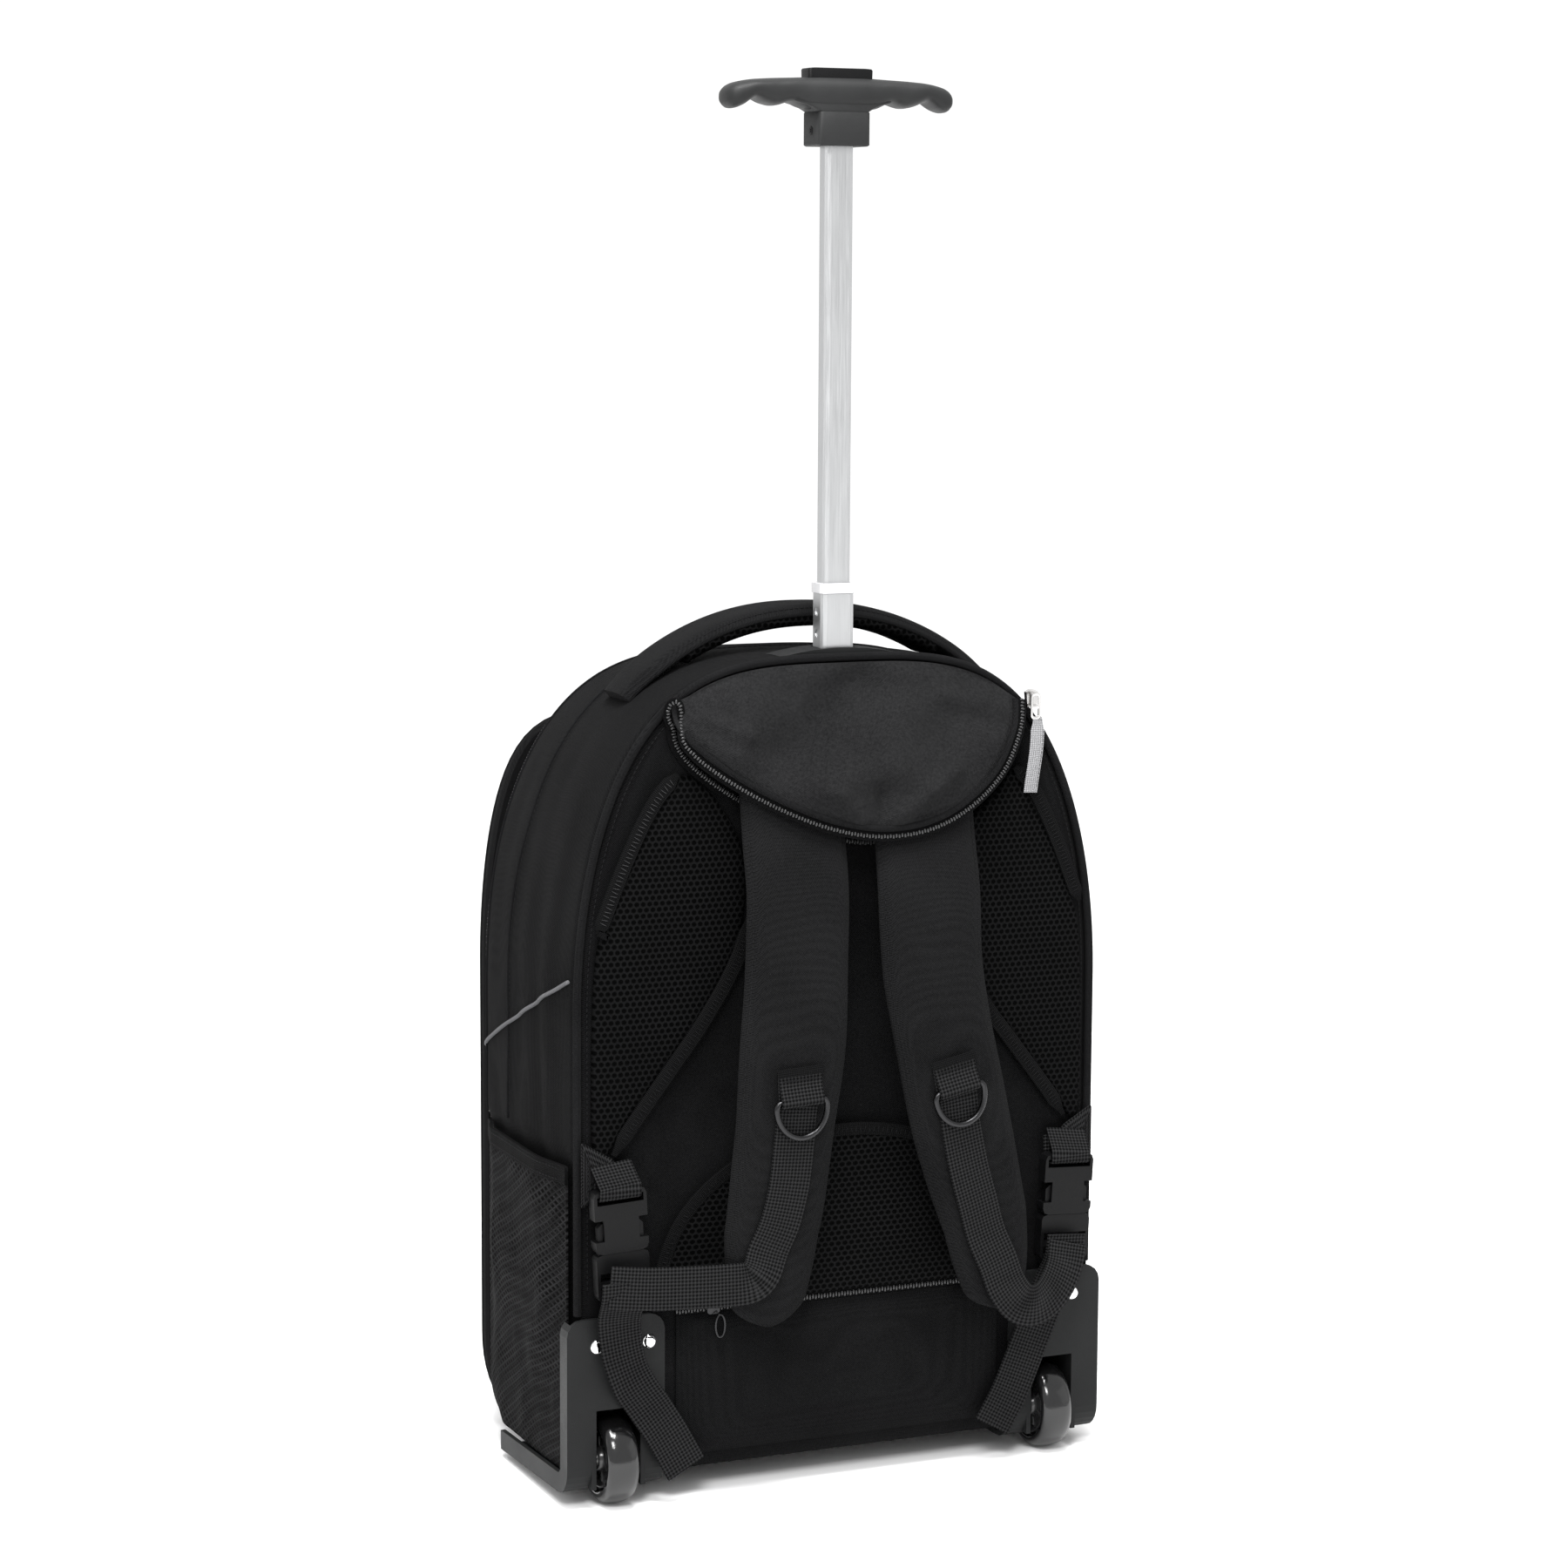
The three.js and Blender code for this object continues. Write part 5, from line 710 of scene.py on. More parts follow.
def stitches(name, path, pitch=3.4, length=2.4, radius=0.32, material=None, normal=(0, -1, 0), zigzag=0.0,
             body="bag"):
    """A row of short threads along a path, a little proud of the cloth."""
    pts = [Vector(p) for p in path]
    total = sum((b - a).length for a, b in zip(pts, pts[1:]))
    count = max(2, int(total / pitch))
    places = resample(pts, count * 2 + 1)
    parts = []
    up = Vector(normal)
    for i in range(count):
        a, b = places[2 * i], places[2 * i + 1]
        course = (b - a).normalized()
        a, b = a, a + course * length
        if zigzag:
            side = course.cross(up).normalized() * zigzag
            sign = 1 if i % 2 else -1
            a, b = a - side * sign, b + side * sign
            course = (b - a).normalized()
        side = course.cross(up).normalized()
        rings = []
        for t, r in ((0.0, 0.35), (0.25, 1.0), (0.75, 1.0), (1.0, 0.35)):
            c = a.lerp(b, t)
            rings.append([c + side * radius * r, c + up * radius * r, c - side * radius * r,
                          c - up * radius * r])
        parts.append(loft(rings))
    v, f, u = merge(parts)
    return make(name, v, f, material or THREAD, body=body)


def zip_chain(name, path, normals, pitch=1.9, width=3.4, height=1.5, material=None, nodes=(), body="bag"):
    """Interlocked coil teeth along a path."""
    pts = [Vector(p) for p in path]
    total = sum((b - a).length for a, b in zip(pts, pts[1:]))
    count = int(total / pitch)
    places = resample(pts, count)
    parts = []
    for i, at in enumerate(places):
        before = places[max(0, i - 1)]
        after = places[min(count - 1, i + 1)]
        course = (after - before).normalized()
        normal = Vector(normals(at) if callable(normals) else normals)
        normal = (normal - course * normal.dot(course)).normalized()
        side = course.cross(normal)
        shift = side * (0.25 * width * (1 if i % 2 else -1)) * 0.35
        parts.append(tablet(at + shift, (width, height, pitch * 0.62), (side, normal, course), 0.35))
    v, f, u = merge(parts)
    return make(name, v, f, material or TEETH, body=body, nodes=nodes)


# The bag's body

def bag_body():
    depths = [0, 0.8, 2, 4, 7, 10, 13] + [16 + i * (136 - 16) / 44 for i in range(45)] + [140, 144, 148,
                                                                                          152, 155, 158, 160, 162, 163.5, 164.5, 165]
    count = 110
    rings = [main_ring(y, count) for y in depths]
    front = rings[-1]
    for shrink in (0.9, 0.7, 0.45, 0.2):
        rings.append([Vector((p.x * shrink, 165.0, lerp(230, p.z, shrink))) for p in front])
    back = rings[0]
    inner = [[Vector((p.x * s, 0.3, lerp(230, p.z, s))) for p in back] for s in (0.2, 0.6, 0.93)]
    rings = inner + rings
    v, f, u = loft(rings)
    obj = make("bag_body", v, f, CLOTH, nodes=("bag_shell",), sharp=60)
    wide = (WHEEL_WIDTH + 7.5 + 6) / 2 + GAP
    boxes = [((s * WHEEL_OFFSET - wide, -20, -20), (s * WHEEL_OFFSET + wide, *WHEEL_CUT)) for s in (-1, 1)]
    boxes_cut(obj, boxes)
    return obj


def front_pocket():
    sections = [(0.0, 0.05), (0.1, 0.0), (0.2, 0.0), (0.33, 0.05), (0.45, 0.12), (0.6, 0.25), (0.7, 0.35),
                (0.8, 0.5), (0.88, 0.65), (0.95, 0.85), (1.0, 1.1)]
    rings = []
    last = None
    for depth, inset in sections:
        y = lerp(MAIN_DEPTH + GAP, TOTAL_DEPTH, depth)
        i = inset * 28
        ring = arch_outline(167 - i, floor_at(y) + i * 0.6, 460 - i, ARCH_START, 8, 27 - i / 2, 90,
                            54 - i / 2)
        last = [Vector((p.x, y, p.z)) for p in ring]
        rings.append(last)
    for s in (0.93, 0.8, 0.62, 0.42, 0.2):
        puff = -3.5 * s ** 6
        rings.append([Vector((p.x * s, TOTAL_DEPTH + puff + 0.8 * grain((p.x * s, 0, p.z), 60, 2.0) - 0.8,
                              lerp(230, p.z, s))) for p in last])
    rings = [[Vector((p.x * s, MAIN_DEPTH + GAP, lerp(230, p.z, s))) for p in rings[0]] for s in (0.3,
                                                                                                  0.9)] + rings
    v, f, u = loft(rings)
    make("front_pocket_cloth", v, f, CLOTH, nodes=("front_pocket",), sharp=60)
    seam = arch_outline(167 - 28 * 0.12 + 0.4, floor_at(181) + 28 * 0.072 - 0.4, 460 - 28 * 0.12 + 0.4,
                        ARCH_START, 8, 25.7, 90, 52.7)
    y = lerp(MAIN_DEPTH + GAP, TOTAL_DEPTH, 0.45)
    v, f, u = tube([(p.x, y, p.z) for p in seam], 1.5, 8, closed=True)
    make("front_pocket_piping", v, f, PIPING)
    bow = [Vector((x, TOTAL_DEPTH + 0.35, 398 - 10 * (x / 118) ** 2)) for x in np.linspace(-118, 118, 61)]
    v, f, u = strip([(p, (0, 0, 1), 14) for p in bow], 1.4)
    make("front_pocket_zip_tape", v, f, TAPE)
    zip_chain("front_pocket_zip_teeth", [p + Vector((0, 0.9, 0)) for p in bow], (0, 1, 0))
    v, f, u = merge([tablet((112, TOTAL_DEPTH + 2.1, 389.5), (9, 3, 9)),
                     tablet((112, TOTAL_DEPTH + 3.4, 380), (5, 1.2, 17))])
    make("front_pocket_puller", v, f, NICKEL)


def main_zip():
    row = 0.94 * MAIN_DEPTH
    ring = main_ring(row, 110, grow=0.9)
    arch = [p for p in ring if p.z > 160]
    right = [p for p in arch if p.x >= 0]
    left = [p for p in arch if p.x < 0]
    path = resample(right + left, 150)
    centre = Vector((0, 60, 250))

    def outward(p):
        d = Vector(p) - centre
        return Vector((d.x, 90, d.z)).normalized()

    stations = []
    for i, p in enumerate(path):
        course = (path[min(i + 1, 149)] - path[max(i - 1, 0)]).normalized()
        n = outward(p)
        stations.append((p + n * 0.3, course.cross(n), 13))
    v, f, u = strip(stations, 1.0)
    make("main_zip_tape", v, f, TAPE)
    zip_chain("main_zip_teeth", [p + outward(p) * 1.3 for p in path], outward, nodes=("main_zip",))
    at = path[28]
    v, f, u = merge([tablet(at + outward(at) * 2.4, (8, 9, 9)),
                     tablet(at + outward(at) * 4 + Vector((0, 0, -10)), (5, 2, 16))])
    make("main_zip_sliders", v, f, NICKEL)


def crowned(outline, rows, back):
    """A pad from its outline (x, z), rows of (shrink, depth) and a back plane."""
    n = len(outline)
    cx = sum(p[0] for p in outline) / n
    cz = sum(p[1] for p in outline) / n
    rings = []
    for shrink, depth in rows:
        rings.append([Vector((lerp(cx, x, shrink), back - depth, lerp(cz, z, shrink))) for x, z in outline])
    return rings


def soft_rows(thickness, edge=0.35, steps=12):
    rows = [(0.05, thickness)]
    for i in range(1, steps):
        s = i / steps
        rows.append((0.05 + 0.9 * s, thickness * (1 - 0.18 * s ** 4)))
    rows += [(0.965, thickness * 0.8), (0.985, thickness * 0.66), (0.997, thickness * edge),
             (1.0, thickness * 0.15), (0.99, 0.0), (0.5, 0.0)]
    return rows


def back_panel():
    inset = 1.5 * PIPING_RADIUS + 2 * GAP
    ring = arch_outline(HALF_WIDTH - inset, floor_at(0) + REAR_ROUND + inset, BODY_HEIGHT - inset,
                        ARCH_START, ARCH_POWER,
                        BODY_CORNER - inset, 100)
    outline = [(p.x, p.z) for p in ring]
    rings = crowned(outline, soft_rows(3.7, steps=26), PANEL_FACE + 3.7)
    for ring in rings[:-3]:
        for p in ring:
            p.y += 0.8 * abs(grain(p, 55, 1.0)) + 0.25 * grain(p, 16, 5.0)
    v, f, u = loft(rings)
    obj = make("back_panel_cloth", v, f, CLOTH, nodes=("back_panel",))
    wide = (WHEEL_WIDTH + 7.5 + 6) / 2 + GAP
    boxes_cut(obj, [((s * WHEEL_OFFSET - wide, -20, -20), (s * WHEEL_OFFSET + wide, *WHEEL_CUT))
                    for s in (-1, 1)])


def piping():
    low = REAR_CLEARANCE + 104 + 2
    ring = arch_outline(HALF_WIDTH - 1.25, 0, BODY_HEIGHT - 1.25, ARCH_START, ARCH_POWER, 1, 130)
    arch = [p for p in ring if p.z > low + 1]
    right = [p for p in arch if p.x >= 0]
    left = [p for p in arch if p.x < 0]
    path = [Vector((right[0].x, 0, low))] + right + left + [Vector((-right[0].x, 0, low))]
    path = [Vector((p.x, -PIPING_RADIUS - GAP, p.z)) for p in resample(path, 200)]
    v, f, u = tube(path, PIPING_RADIUS, 12)
    make("piping_cord", v, f, PIPING, nodes=("piping_back",))
    inner = arch_outline(HALF_WIDTH - 7.2, 0, BODY_HEIGHT - 7.2, ARCH_START, ARCH_POWER, 1, 130)
    arch = [p for p in inner if p.z > 130]
    seam = [Vector((p.x, PANEL_FACE + 0.15, p.z))
            for p in [q for q in arch if q.x >= 0] + [q for q in arch if q.x < 0]]
    stitches("panel_seam_thread", seam)


# Zip under the flap, and where the mesh pads end below it
COVER_EDGE = [(-0.66, 0.95), (-0.645, 0.925), (-0.58, 0.897), (-0.45, 0.864), (-0.28, 0.832), (-0.1, 0.808),
              (0.08, 0.797), (0.26, 0.802), (0.42, 0.824), (0.56, 0.861), (0.645, 0.907), (0.665, 0.94)]
COVER_TOP = 0.962 * BODY_HEIGHT
COVER_LOW = 0.797 * BODY_HEIGHT


def cover_edge(count):
    return catmull([(x * HALF_WIDTH, 0, z * BODY_HEIGHT) for x, z in COVER_EDGE], count)


def cover_face(z):
    t = min(1.0, max(0.0, (COVER_TOP - z) / (COVER_TOP - COVER_LOW)))
    return PANEL_FACE - 2 - 27 * t


def rim_path(count):
    return [Vector((p.x * 1.02 + 3, PANEL_FACE - GAP - 1, p.z - 12)) for p in cover_edge(count)]


RIM = rim_path(60)


def rim_height(x):
    if x <= RIM[0].x or x >= RIM[-1].x:
        return 600.0
    for a, b in zip(RIM, RIM[1:]):
        if a.x <= x <= b.x and b.x > a.x:
            return lerp(a.z, b.z, (x - a.x) / (b.x - a.x))
    return 600.0


AIR_PAD = [(0.6, 0.868), (0.7, 0.838), (0.795, 0.78), (0.88, 0.712), (0.93, 0.66), (0.945, 0.56),
           (0.945, 0.445),
           (0.915, 0.42), (0.82, 0.463), (0.69, 0.52), (0.55, 0.582), (0.43, 0.65), (0.38, 0.71), (0.39,
                                                                                                   0.78), (0.48, 0.835)]


def air_pad(name, side):
    corners = [(side * x * HALF_WIDTH, 0, z * BODY_HEIGHT) for x, z in AIR_PAD]
    curve = catmull(corners, 121, closed=True)[:-1]
    outline = [(p.x, min(p.z, rim_height(p.x) - 4.5)) for p in curve]
    rings = crowned(outline, soft_rows(6.0, steps=14), PANEL_FACE - GAP)
    for ring in rings[:-3]:
        for p in ring:
            p.y += 0.5 * abs(grain(p, 40, 3.0))
    v, f, u = loft(rings)
    make("air_pad_" + name, v, f, MESH, nodes=("air_mesh_" + name,))
    face = PANEL_FACE - GAP - 5.2
    ring = [Vector((x, face, z)) for x, z in outline]
    for label, first, last in (("upper", (0.62, 0.862), (0.9, 0.69)),
                               ("lower", (0.885, 0.434), (0.385, 0.7))):
        ends = []
        for x, z in (first, last):
            want = Vector((side * x * HALF_WIDTH, face, z * BODY_HEIGHT))
            ends.append(min(range(len(ring)), key=lambda k: (ring[k] - want).length))
        run = ring[ends[0]:ends[1] + 1]
        path = catmull(run[::4] + [run[-1]], 90)
        stations = []
        for i, p in enumerate(path):
            course = (path[min(i + 1, 89)] - path[max(i - 1, 0)]).normalized()
            inward = course.cross(Vector((0, 1, 0))) * side
            end = smooth(0, 7, i) * smooth(0, 7, 89 - i)
            stations.append((p + inward * 3.0, inward, 9.0 * (0.35 + 0.65 * end)))
        v, f, u = strip(stations, 2.2)
        make("pad_binding_" + name + "_" + label, v, f, BINDING, uvs=u)
        zig = [p + Vector((0, -1.3, 0)) for p, a, w in stations[5:-5]]
        # The upper binding of the left pad gets the lighter grey thread: a painted glint on that one seam.
        glint_seam = name == "left" and label == "upper"
        stitches("pad_thread_" + name + "_" + label, zig, pitch=2.4, length=0.6, radius=0.22,
                 material=GREY_THREAD if glint_seam else THREAD, zigzag=2.2)


LOWER_TOP = REAR_CLEARANCE + REAR_ROUND + 86
LOWER_ZIP = LOWER_TOP + GAP + 2.5


def lumbar():
    bottom = LOWER_ZIP + 2.5 + GAP
    outline = []
    for i in range(61):
        a = i / 60 * math.pi
        outline.append((122 * math.cos(a), bottom + 100 * max(0.0, math.sin(a)) ** 0.85))
    outline += [(x, bottom) for x in np.linspace(-112, 112, 30)]
    rings = crowned(outline, soft_rows(8.0, steps=16), PANEL_FACE - GAP)
    v, f, u = loft(rings)
    make("lumbar_cushion", v, f, LUMBAR_MESH, nodes=("lumbar_pad",))
    path = [Vector((x * 0.985, PANEL_FACE - GAP - 6.0, z)) for x, z in outline[:61]]
    stations = []
    for i, p in enumerate(path):
        course = (path[min(i + 1, 60)] - path[max(i - 1, 0)]).normalized()
        stations.append((p, course.cross(Vector((0, 1, 0))), 8))
    v, f, u = strip(stations, 2.0)
    make("lumbar_binding", v, f, BINDING, uvs=u)
    stitches("lumbar_thread", [p + Vector((0, -1.15, 0)) for p in path], pitch=3.0, length=0.6,
             radius=0.22, zigzag=1.8)


def lower_panel():
    bottom = LOWER_TOP - 86
    half = 107.0
    r = half * 0.16
    pts = [Vector((-half, 0, LOWER_TOP))]
    for i in range(13):
        a = math.pi + i / 12 * math.pi / 2
        pts.append(Vector((r - half + r * math.cos(a), 0, bottom + r + r * math.sin(a))))
    for i in range(13):
        a = math.pi * 1.5 + i / 12 * math.pi / 2
        pts.append(Vector((half - r + r * math.cos(a), 0, bottom + r + r * math.sin(a))))
    pts.append(Vector((half, 0, LOWER_TOP)))
    pts += [Vector((x, 0, LOWER_TOP)) for x in np.linspace(half, -half, 30)[1:-1]]
    outline = [(p.x, p.z) for p in pts]
    rows = [(0.05 + 0.95 * i / 22, 6.0 * (1 - 0.82 * (i / 22) ** 5)) for i in range(23)] + [(0.995, 0.0),
                                                                                            (0.5, 0.0)]
    rings = crowned(outline, rows, PANEL_FACE - GAP)
    for ring in rings[:-2]:
        for p in ring:
            p.y += 1.3 * abs(grain(p, 60, 7.0)) + 0.4 * grain(p, 18, 2.0)
    v, f, u = loft(rings)
    make("lower_panel_cloth", v, f, CLOTH, nodes=("lower_pocket",))
    y = PANEL_FACE - GAP - 1.0
    path = [Vector((x, y, LOWER_ZIP)) for x in np.linspace(-107, 107, 80)]
    v, f, u = strip([(p, (0, 0, 1), 5) for p in path], 1.4)
    make("lower_zip_tape", v, f, TAPE)
    zip_chain("lower_zip_teeth", [p + Vector((0, -0.75, 0)) for p in path], (0, -1, 0), width=2.8,
              nodes=("lower_zip",))
    slide = [tablet((-84, y - 2.2, LOWER_ZIP), (8, 2.6, 6.5))]
    loop = [Vector((-81 + 3 * math.cos(a), PANEL_FACE - GAP - 7.0, LOWER_ZIP - 10 + 7 * math.sin(a)))
            for a in np.linspace(0, 2 * math.pi, 25)[:-1]]
    slide.append(tube(loop, 0.7, 8, closed=True))
    v, f, u = merge(slide)
    make("lower_zip_pull", v, f, RING)


# Strap cover with its zip

# Creases of the cover: ends (x, z), height towards the viewer and width
FLAP_RIDGES = [
    (-2, 408, -16, 426, 2.4, 4.5), (24, 410, 62, 437, 3.0, 5.5), (10, 404, 13, 426, -2.2, 5.0),
    (58, 481, 100, 471, 1.8, 7.5), (66, 468, 104, 463, -0.9, 8.0), (8, 492, -42, 448, -3.0, 15.0),
    (42, 488, 22, 446, 2.2, 15.0), (-60, 482, -76, 450, 2.0, 12.0), (-30, 430, 20, 440, 1.6, 12.0),
    (-96, 474, -70, 462, 1.8, 5.0),
]
# The zip's left end: up from the rim, over a small loop and down to the cover's edge
ZIP_CURL = [(-111.5, -6.0, 466), (-115.0, -7.6, 473), (-115.0, -9.4, 479.5), (-111.6, -10.6, 483),
            (-107.6, -10.8, 481.5),
            (-106.0, -10.4, 475.5), (-105.6, -10.0, 468)]


def ridge(x, z, line):
    x0, z0, x1, z1, high, wide = line
    dx, dz = x1 - x0, z1 - z0
    t = min(1.0, max(0.0, ((x - x0) * dx + (z - z0) * dz) / (dx * dx + dz * dz)))
    away = math.hypot(x - x0 - t * dx, z - z0 - t * dz)
    return high * math.exp(-(away / wide) ** 2)


def flap():
    edge = cover_edge(81)
    first, last = edge[0].x, edge[-1].x
    rows, cols = 36, 80
    front, back = [], []
    for i in range(cols + 1):
        t = i / cols
        low = edge[i]
        x = lerp(first * 0.88, last * 0.88, t)
        top = Vector((x, 0, max(low.z + 1.0, arch_height(x) - 4.4)))
        outer, under = [], []
        for j in range(rows + 1):
            v = j / rows
            px, pz = lerp(low.x, top.x, v), lerp(low.z, top.z, v)
            s = min(1.0, (abs(2 * t - 1) ** 4 + abs(2 * v - 1) ** 4) ** 0.25)
            crease = 2.1 * sum(ridge(px, pz, line) for line in FLAP_RIDGES) + 1.5 * grain((px, 0, pz), 26,
                                                                                          9.0) + 0.5 * grain((px, 0, pz), 9, 4.0)
            y = cover_face(pz) - 8 * (1 - s ** 3) - crease * (1 - s ** 5)
            outer.append(Vector((px, y, pz)))
            under.append(Vector((px, y + 1.8, pz)))
        front.append(outer)
        back.append(under)
    rings = [a + b[::-1] for a, b in zip(front, back)]
    v, f, u = loft(rings)
    cover = make("flap_cloth", v, f, FLAP_CLOTH, nodes=("strap_flap",), sharp=65)
    along = [Vector((p.x, cover_face(p.z) + 1.0, p.z)) for p in cover_edge(40) if p.z < 462 or p.x > 0]
    mid = catmull([Vector(p) for p in ZIP_CURL] + along, 150)
    count = len(mid)
    outs, gaps = [], []
    for i, p in enumerate(mid):
        course = (mid[min(i + 1, count - 1)] - mid[max(i - 1, 0)]).normalized()
        outs.append(Vector((course.z, 0, -course.x)).normalized())
        gaps.append(smooth(14, 30, i))
    rows = [(m + o * lerp(0.6, 2.7, g), o, lerp(4.6, 7.0, g)) for m, o, g in zip(mid, outs, gaps)]
    v, f, u = strip(rows, 1.5)
    make("flap_zip_tape", v, f, TAPE, nodes=("flap_zip",))
    zip_chain("flap_zip_teeth", [m + o * lerp(1.0, 3.2, g) + Vector((0, -1.1, 0)) for m, o,
                                 g in zip(mid, outs, gaps)],
              (0, -1, 0), pitch=1.9, width=2.2, height=1.6)
    roll = [m - o * 1.6 + Vector((0, -1.4, 0)) for m, o in zip(mid, outs)][20:]
    v, f, u = tube(roll, 1.9, 10)
    make("flap_edge_roll", v, f, PIPING)
    stitches("flap_thread", [p - o * 4.2 + Vector((0, -0.6, 0)) for p, o in zip(roll, outs[20:])][6:])
    rim = rim_path(100)
    outs = []
    for i, p in enumerate(rim):
        course = (rim[min(i + 1, 99)] - rim[max(i - 1, 0)]).normalized()
        outs.append(Vector((course.z, 0, -course.x)))
    v, f, u = strip([(p, o, 5) for p, o in zip(rim, outs)], 1.6)
    make("rim_zip_tape", v, f, TAPE, nodes=("rim_zip",))
    zip_chain("rim_zip_teeth", [p - o * 1.4 + Vector((0, -0.9, 0)) for p, o in zip(rim, outs)],
              (0, -1, 0), pitch=1.75, width=2.6)


# Straps

STRAP_TABLE = {
    "left": [(0.888, -0.224, 1.0, 0.0), (0.865, -0.224, 1.0, 0.04), (0.843, -0.224, 1.0, 0.11),
             (0.8, -0.226, 1.0, 0.26),
             (0.725, -0.238, 0.99, 0.66), (0.63, -0.259, 1.0, 0.88), (0.55, -0.28, 1.03, 1.0), (0.455,
                                                                                                -0.306, 0.97, 0.98),
             (0.35, -0.335, 0.94, 0.86), (0.295, -0.359, 0.87, 0.76), (0.245, -0.355, 0.74, 0.7), (0.218,
                                                                                                   -0.355, 0.66, 0.68)],
    "right": [(0.888, 0.282, 1.0, 0.0), (0.865, 0.28, 1.0, 0.04), (0.843, 0.279, 1.0, 0.11),
              (0.8, 0.276, 1.0, 0.26),
              (0.725, 0.265, 1.02, 0.66), (0.63, 0.265, 1.0, 0.88), (0.55, 0.3, 0.98, 1.0), (0.44, 0.375,
                                                                                             0.98, 0.98),
              (0.33, 0.475, 0.86, 0.86), (0.272, 0.535, 0.76, 0.76), (0.232, 0.552, 0.62, 0.7), (0.209,
                                                                                                 0.556, 0.52, 0.68)],
}


def strap_section():
    """Half sizes of a padded strap with a pressed seam near each edge."""
    top = [(1.0, 0.0), (0.985, 0.22), (0.945, 0.38), (0.9, 0.5), (0.87, 0.66), (0.82, 0.8), (0.72, 0.92),
           (0.5, 0.98), (0.25, 1.0), (0.0, 1.0)]
    half = top + [(-x, y) for x, y in reversed(top[:-1])]
    return half + [(x, -y) for x, y in reversed(half[1:-1])]


TIP = 17.0


def strap_mid(name):
    rows = STRAP_TABLE[name]
    pts = [(x * HALF_WIDTH, STRAP_BACK - off * STRAP_STANDOFF - STRAP_THICKNESS / 2, z * BODY_HEIGHT,
            w * STRAP_WIDTH)
           for z, x, w, off in rows]
    curve = catmull([p[:3] for p in pts], 120)
    curve = curve[:100] + [curve[99].lerp(curve[119], 1 - (1 - k / 28) ** 1.6) for k in range(1, 29)]
    widths = [p[3] for p in pts]
    heights = [p[2] for p in pts]
    table = sorted(({"z": h, "w": w} for h, w in zip(heights, widths)), key=lambda r: r["z"])
    out = []
    for p in curve:
        left = (curve[-1] - p).length
        tip = 1.0 if left > TIP else math.sqrt(max(0.02, 1 - ((TIP - left) / TIP) ** 2))
        out.append(column(table, "z", "w", p.z) * tip)
    return curve, out


def strap(name):
    curve, widths = strap_mid(name)
    section = strap_section()
    stations = [(p, (1, 0, 0), w) for p, w in zip(curve, widths)]
    v, f, u = strip(stations, STRAP_THICKNESS, section)
    size = len(section)
    for i, p in enumerate(v):
        row = i // size
        live = smooth(4, 20, row) * (1 - smooth(90, 110, row))
        p.y += live * 0.7 * grain(p, 30, 4.0 if name == "left" else 8.0)
    make("strap_" + name, v, f, PAD_CLOTH, nodes=("shoulder_strap_" + name,))
    for s in (-1, 1):
        line = []
        for p, w in list(zip(curve, widths))[6:100]:
            line.append(p + Vector((s * w * 0.452, -3.2, 0)))
        stitches(f"strap_thread_{name}_{'in' if s < 0 else 'out'}", line, pitch=3.0)


def strap_face(name, z):
    rows = sorted(({"z": r[0], "x": r[1], "off": r[3]} for r in STRAP_TABLE[name]), key=lambda r: r["z"])

    def spot(at):
        return Vector((column(rows, "z", "x", at) * HALF_WIDTH,
                       STRAP_BACK - column(rows, "z", "off",
                                           at) * STRAP_STANDOFF - STRAP_THICKNESS, at * BODY_HEIGHT))

    course = (spot(z - 0.03) - spot(z + 0.03)).normalized()
    return spot(z), course


WEB = {
    "left": {
        "on": [(0.488, 0.018), (0.475, 0.018), (0.44, 0.02), (0.39, 0.02), (0.345, 0.005), (0.312, -0.018)],
        "free": [(-0.4, 0.288, 1.29, -42), (-0.44, 0.277, 1.28, -72), (-0.53, 0.275, 1.22, -88),
                 (-0.66, 0.275, 1.1, -90),
                 (-0.8, 0.276, 0.94, -92), (-0.93, 0.28, 0.82, -94)],
        "tail": [(-0.884, 0.285, 0.88, -10), (-0.882, 0.262, 0.8, -10), (-0.87, 0.23, 0.44, -12),
                 (-0.85, 0.19, 0.34, -16),
                 (-0.815, 0.155, 0.36, -30), (-0.745, 0.12, 0.3, -36), (-0.68, 0.085, 0.3, -26), (-0.61,
                                                                                                  0.042, 0.3, -22)],
    },
    "right": {
        "on": [(0.488, -0.01), (0.475, -0.01), (0.44, -0.022), (0.39, -0.03), (0.345, -0.03),
               (0.305, -0.032)],
        "free": [(0.515, 0.27, 1.3, 26), (0.555, 0.238, 1.28, 40), (0.615, 0.214, 1.22, 62),
                 (0.69, 0.208, 1.14, 92),
                 (0.765, 0.22, 1.02, 122), (0.82, 0.246, 0.9, 145), (0.845, 0.275, 0.8, 165)],
        "tail": [(0.84, 0.285, 0.77, -10), (0.835, 0.26, 0.72, -4), (0.82, 0.23, 0.5, -14),
                 (0.785, 0.19, 0.36, -22),
                 (0.735, 0.145, 0.3, -26), (0.665, 0.09, 0.3, -26), (0.59, 0.045, 0.3, -28)],
    },
}


def across_turn(degrees):
    a = math.radians(degrees)
    return Vector((math.cos(a), 0, math.sin(a)))


def smooth_stations(rows, count):
    """Stations (place, across) smoothed along the band."""
    mids = catmull([r[0] for r in rows], count)
    at = [0.0]
    for a, b in zip(rows, rows[1:]):
        at.append(at[-1] + (b[0] - a[0]).length)
    out = []
    for i, p in enumerate(mids):
        want = at[-1] * i / (count - 1)
        k = 1
        while k < len(at) - 1 and at[k] < want:
            k += 1
        t = min(1.0, max(0.0, (want - at[k - 1]) / (at[k] - at[k - 1] or 1)))
        out.append((p, rows[k - 1][1].lerp(rows[k][1], t), WEBBING_WIDTH))
    return out


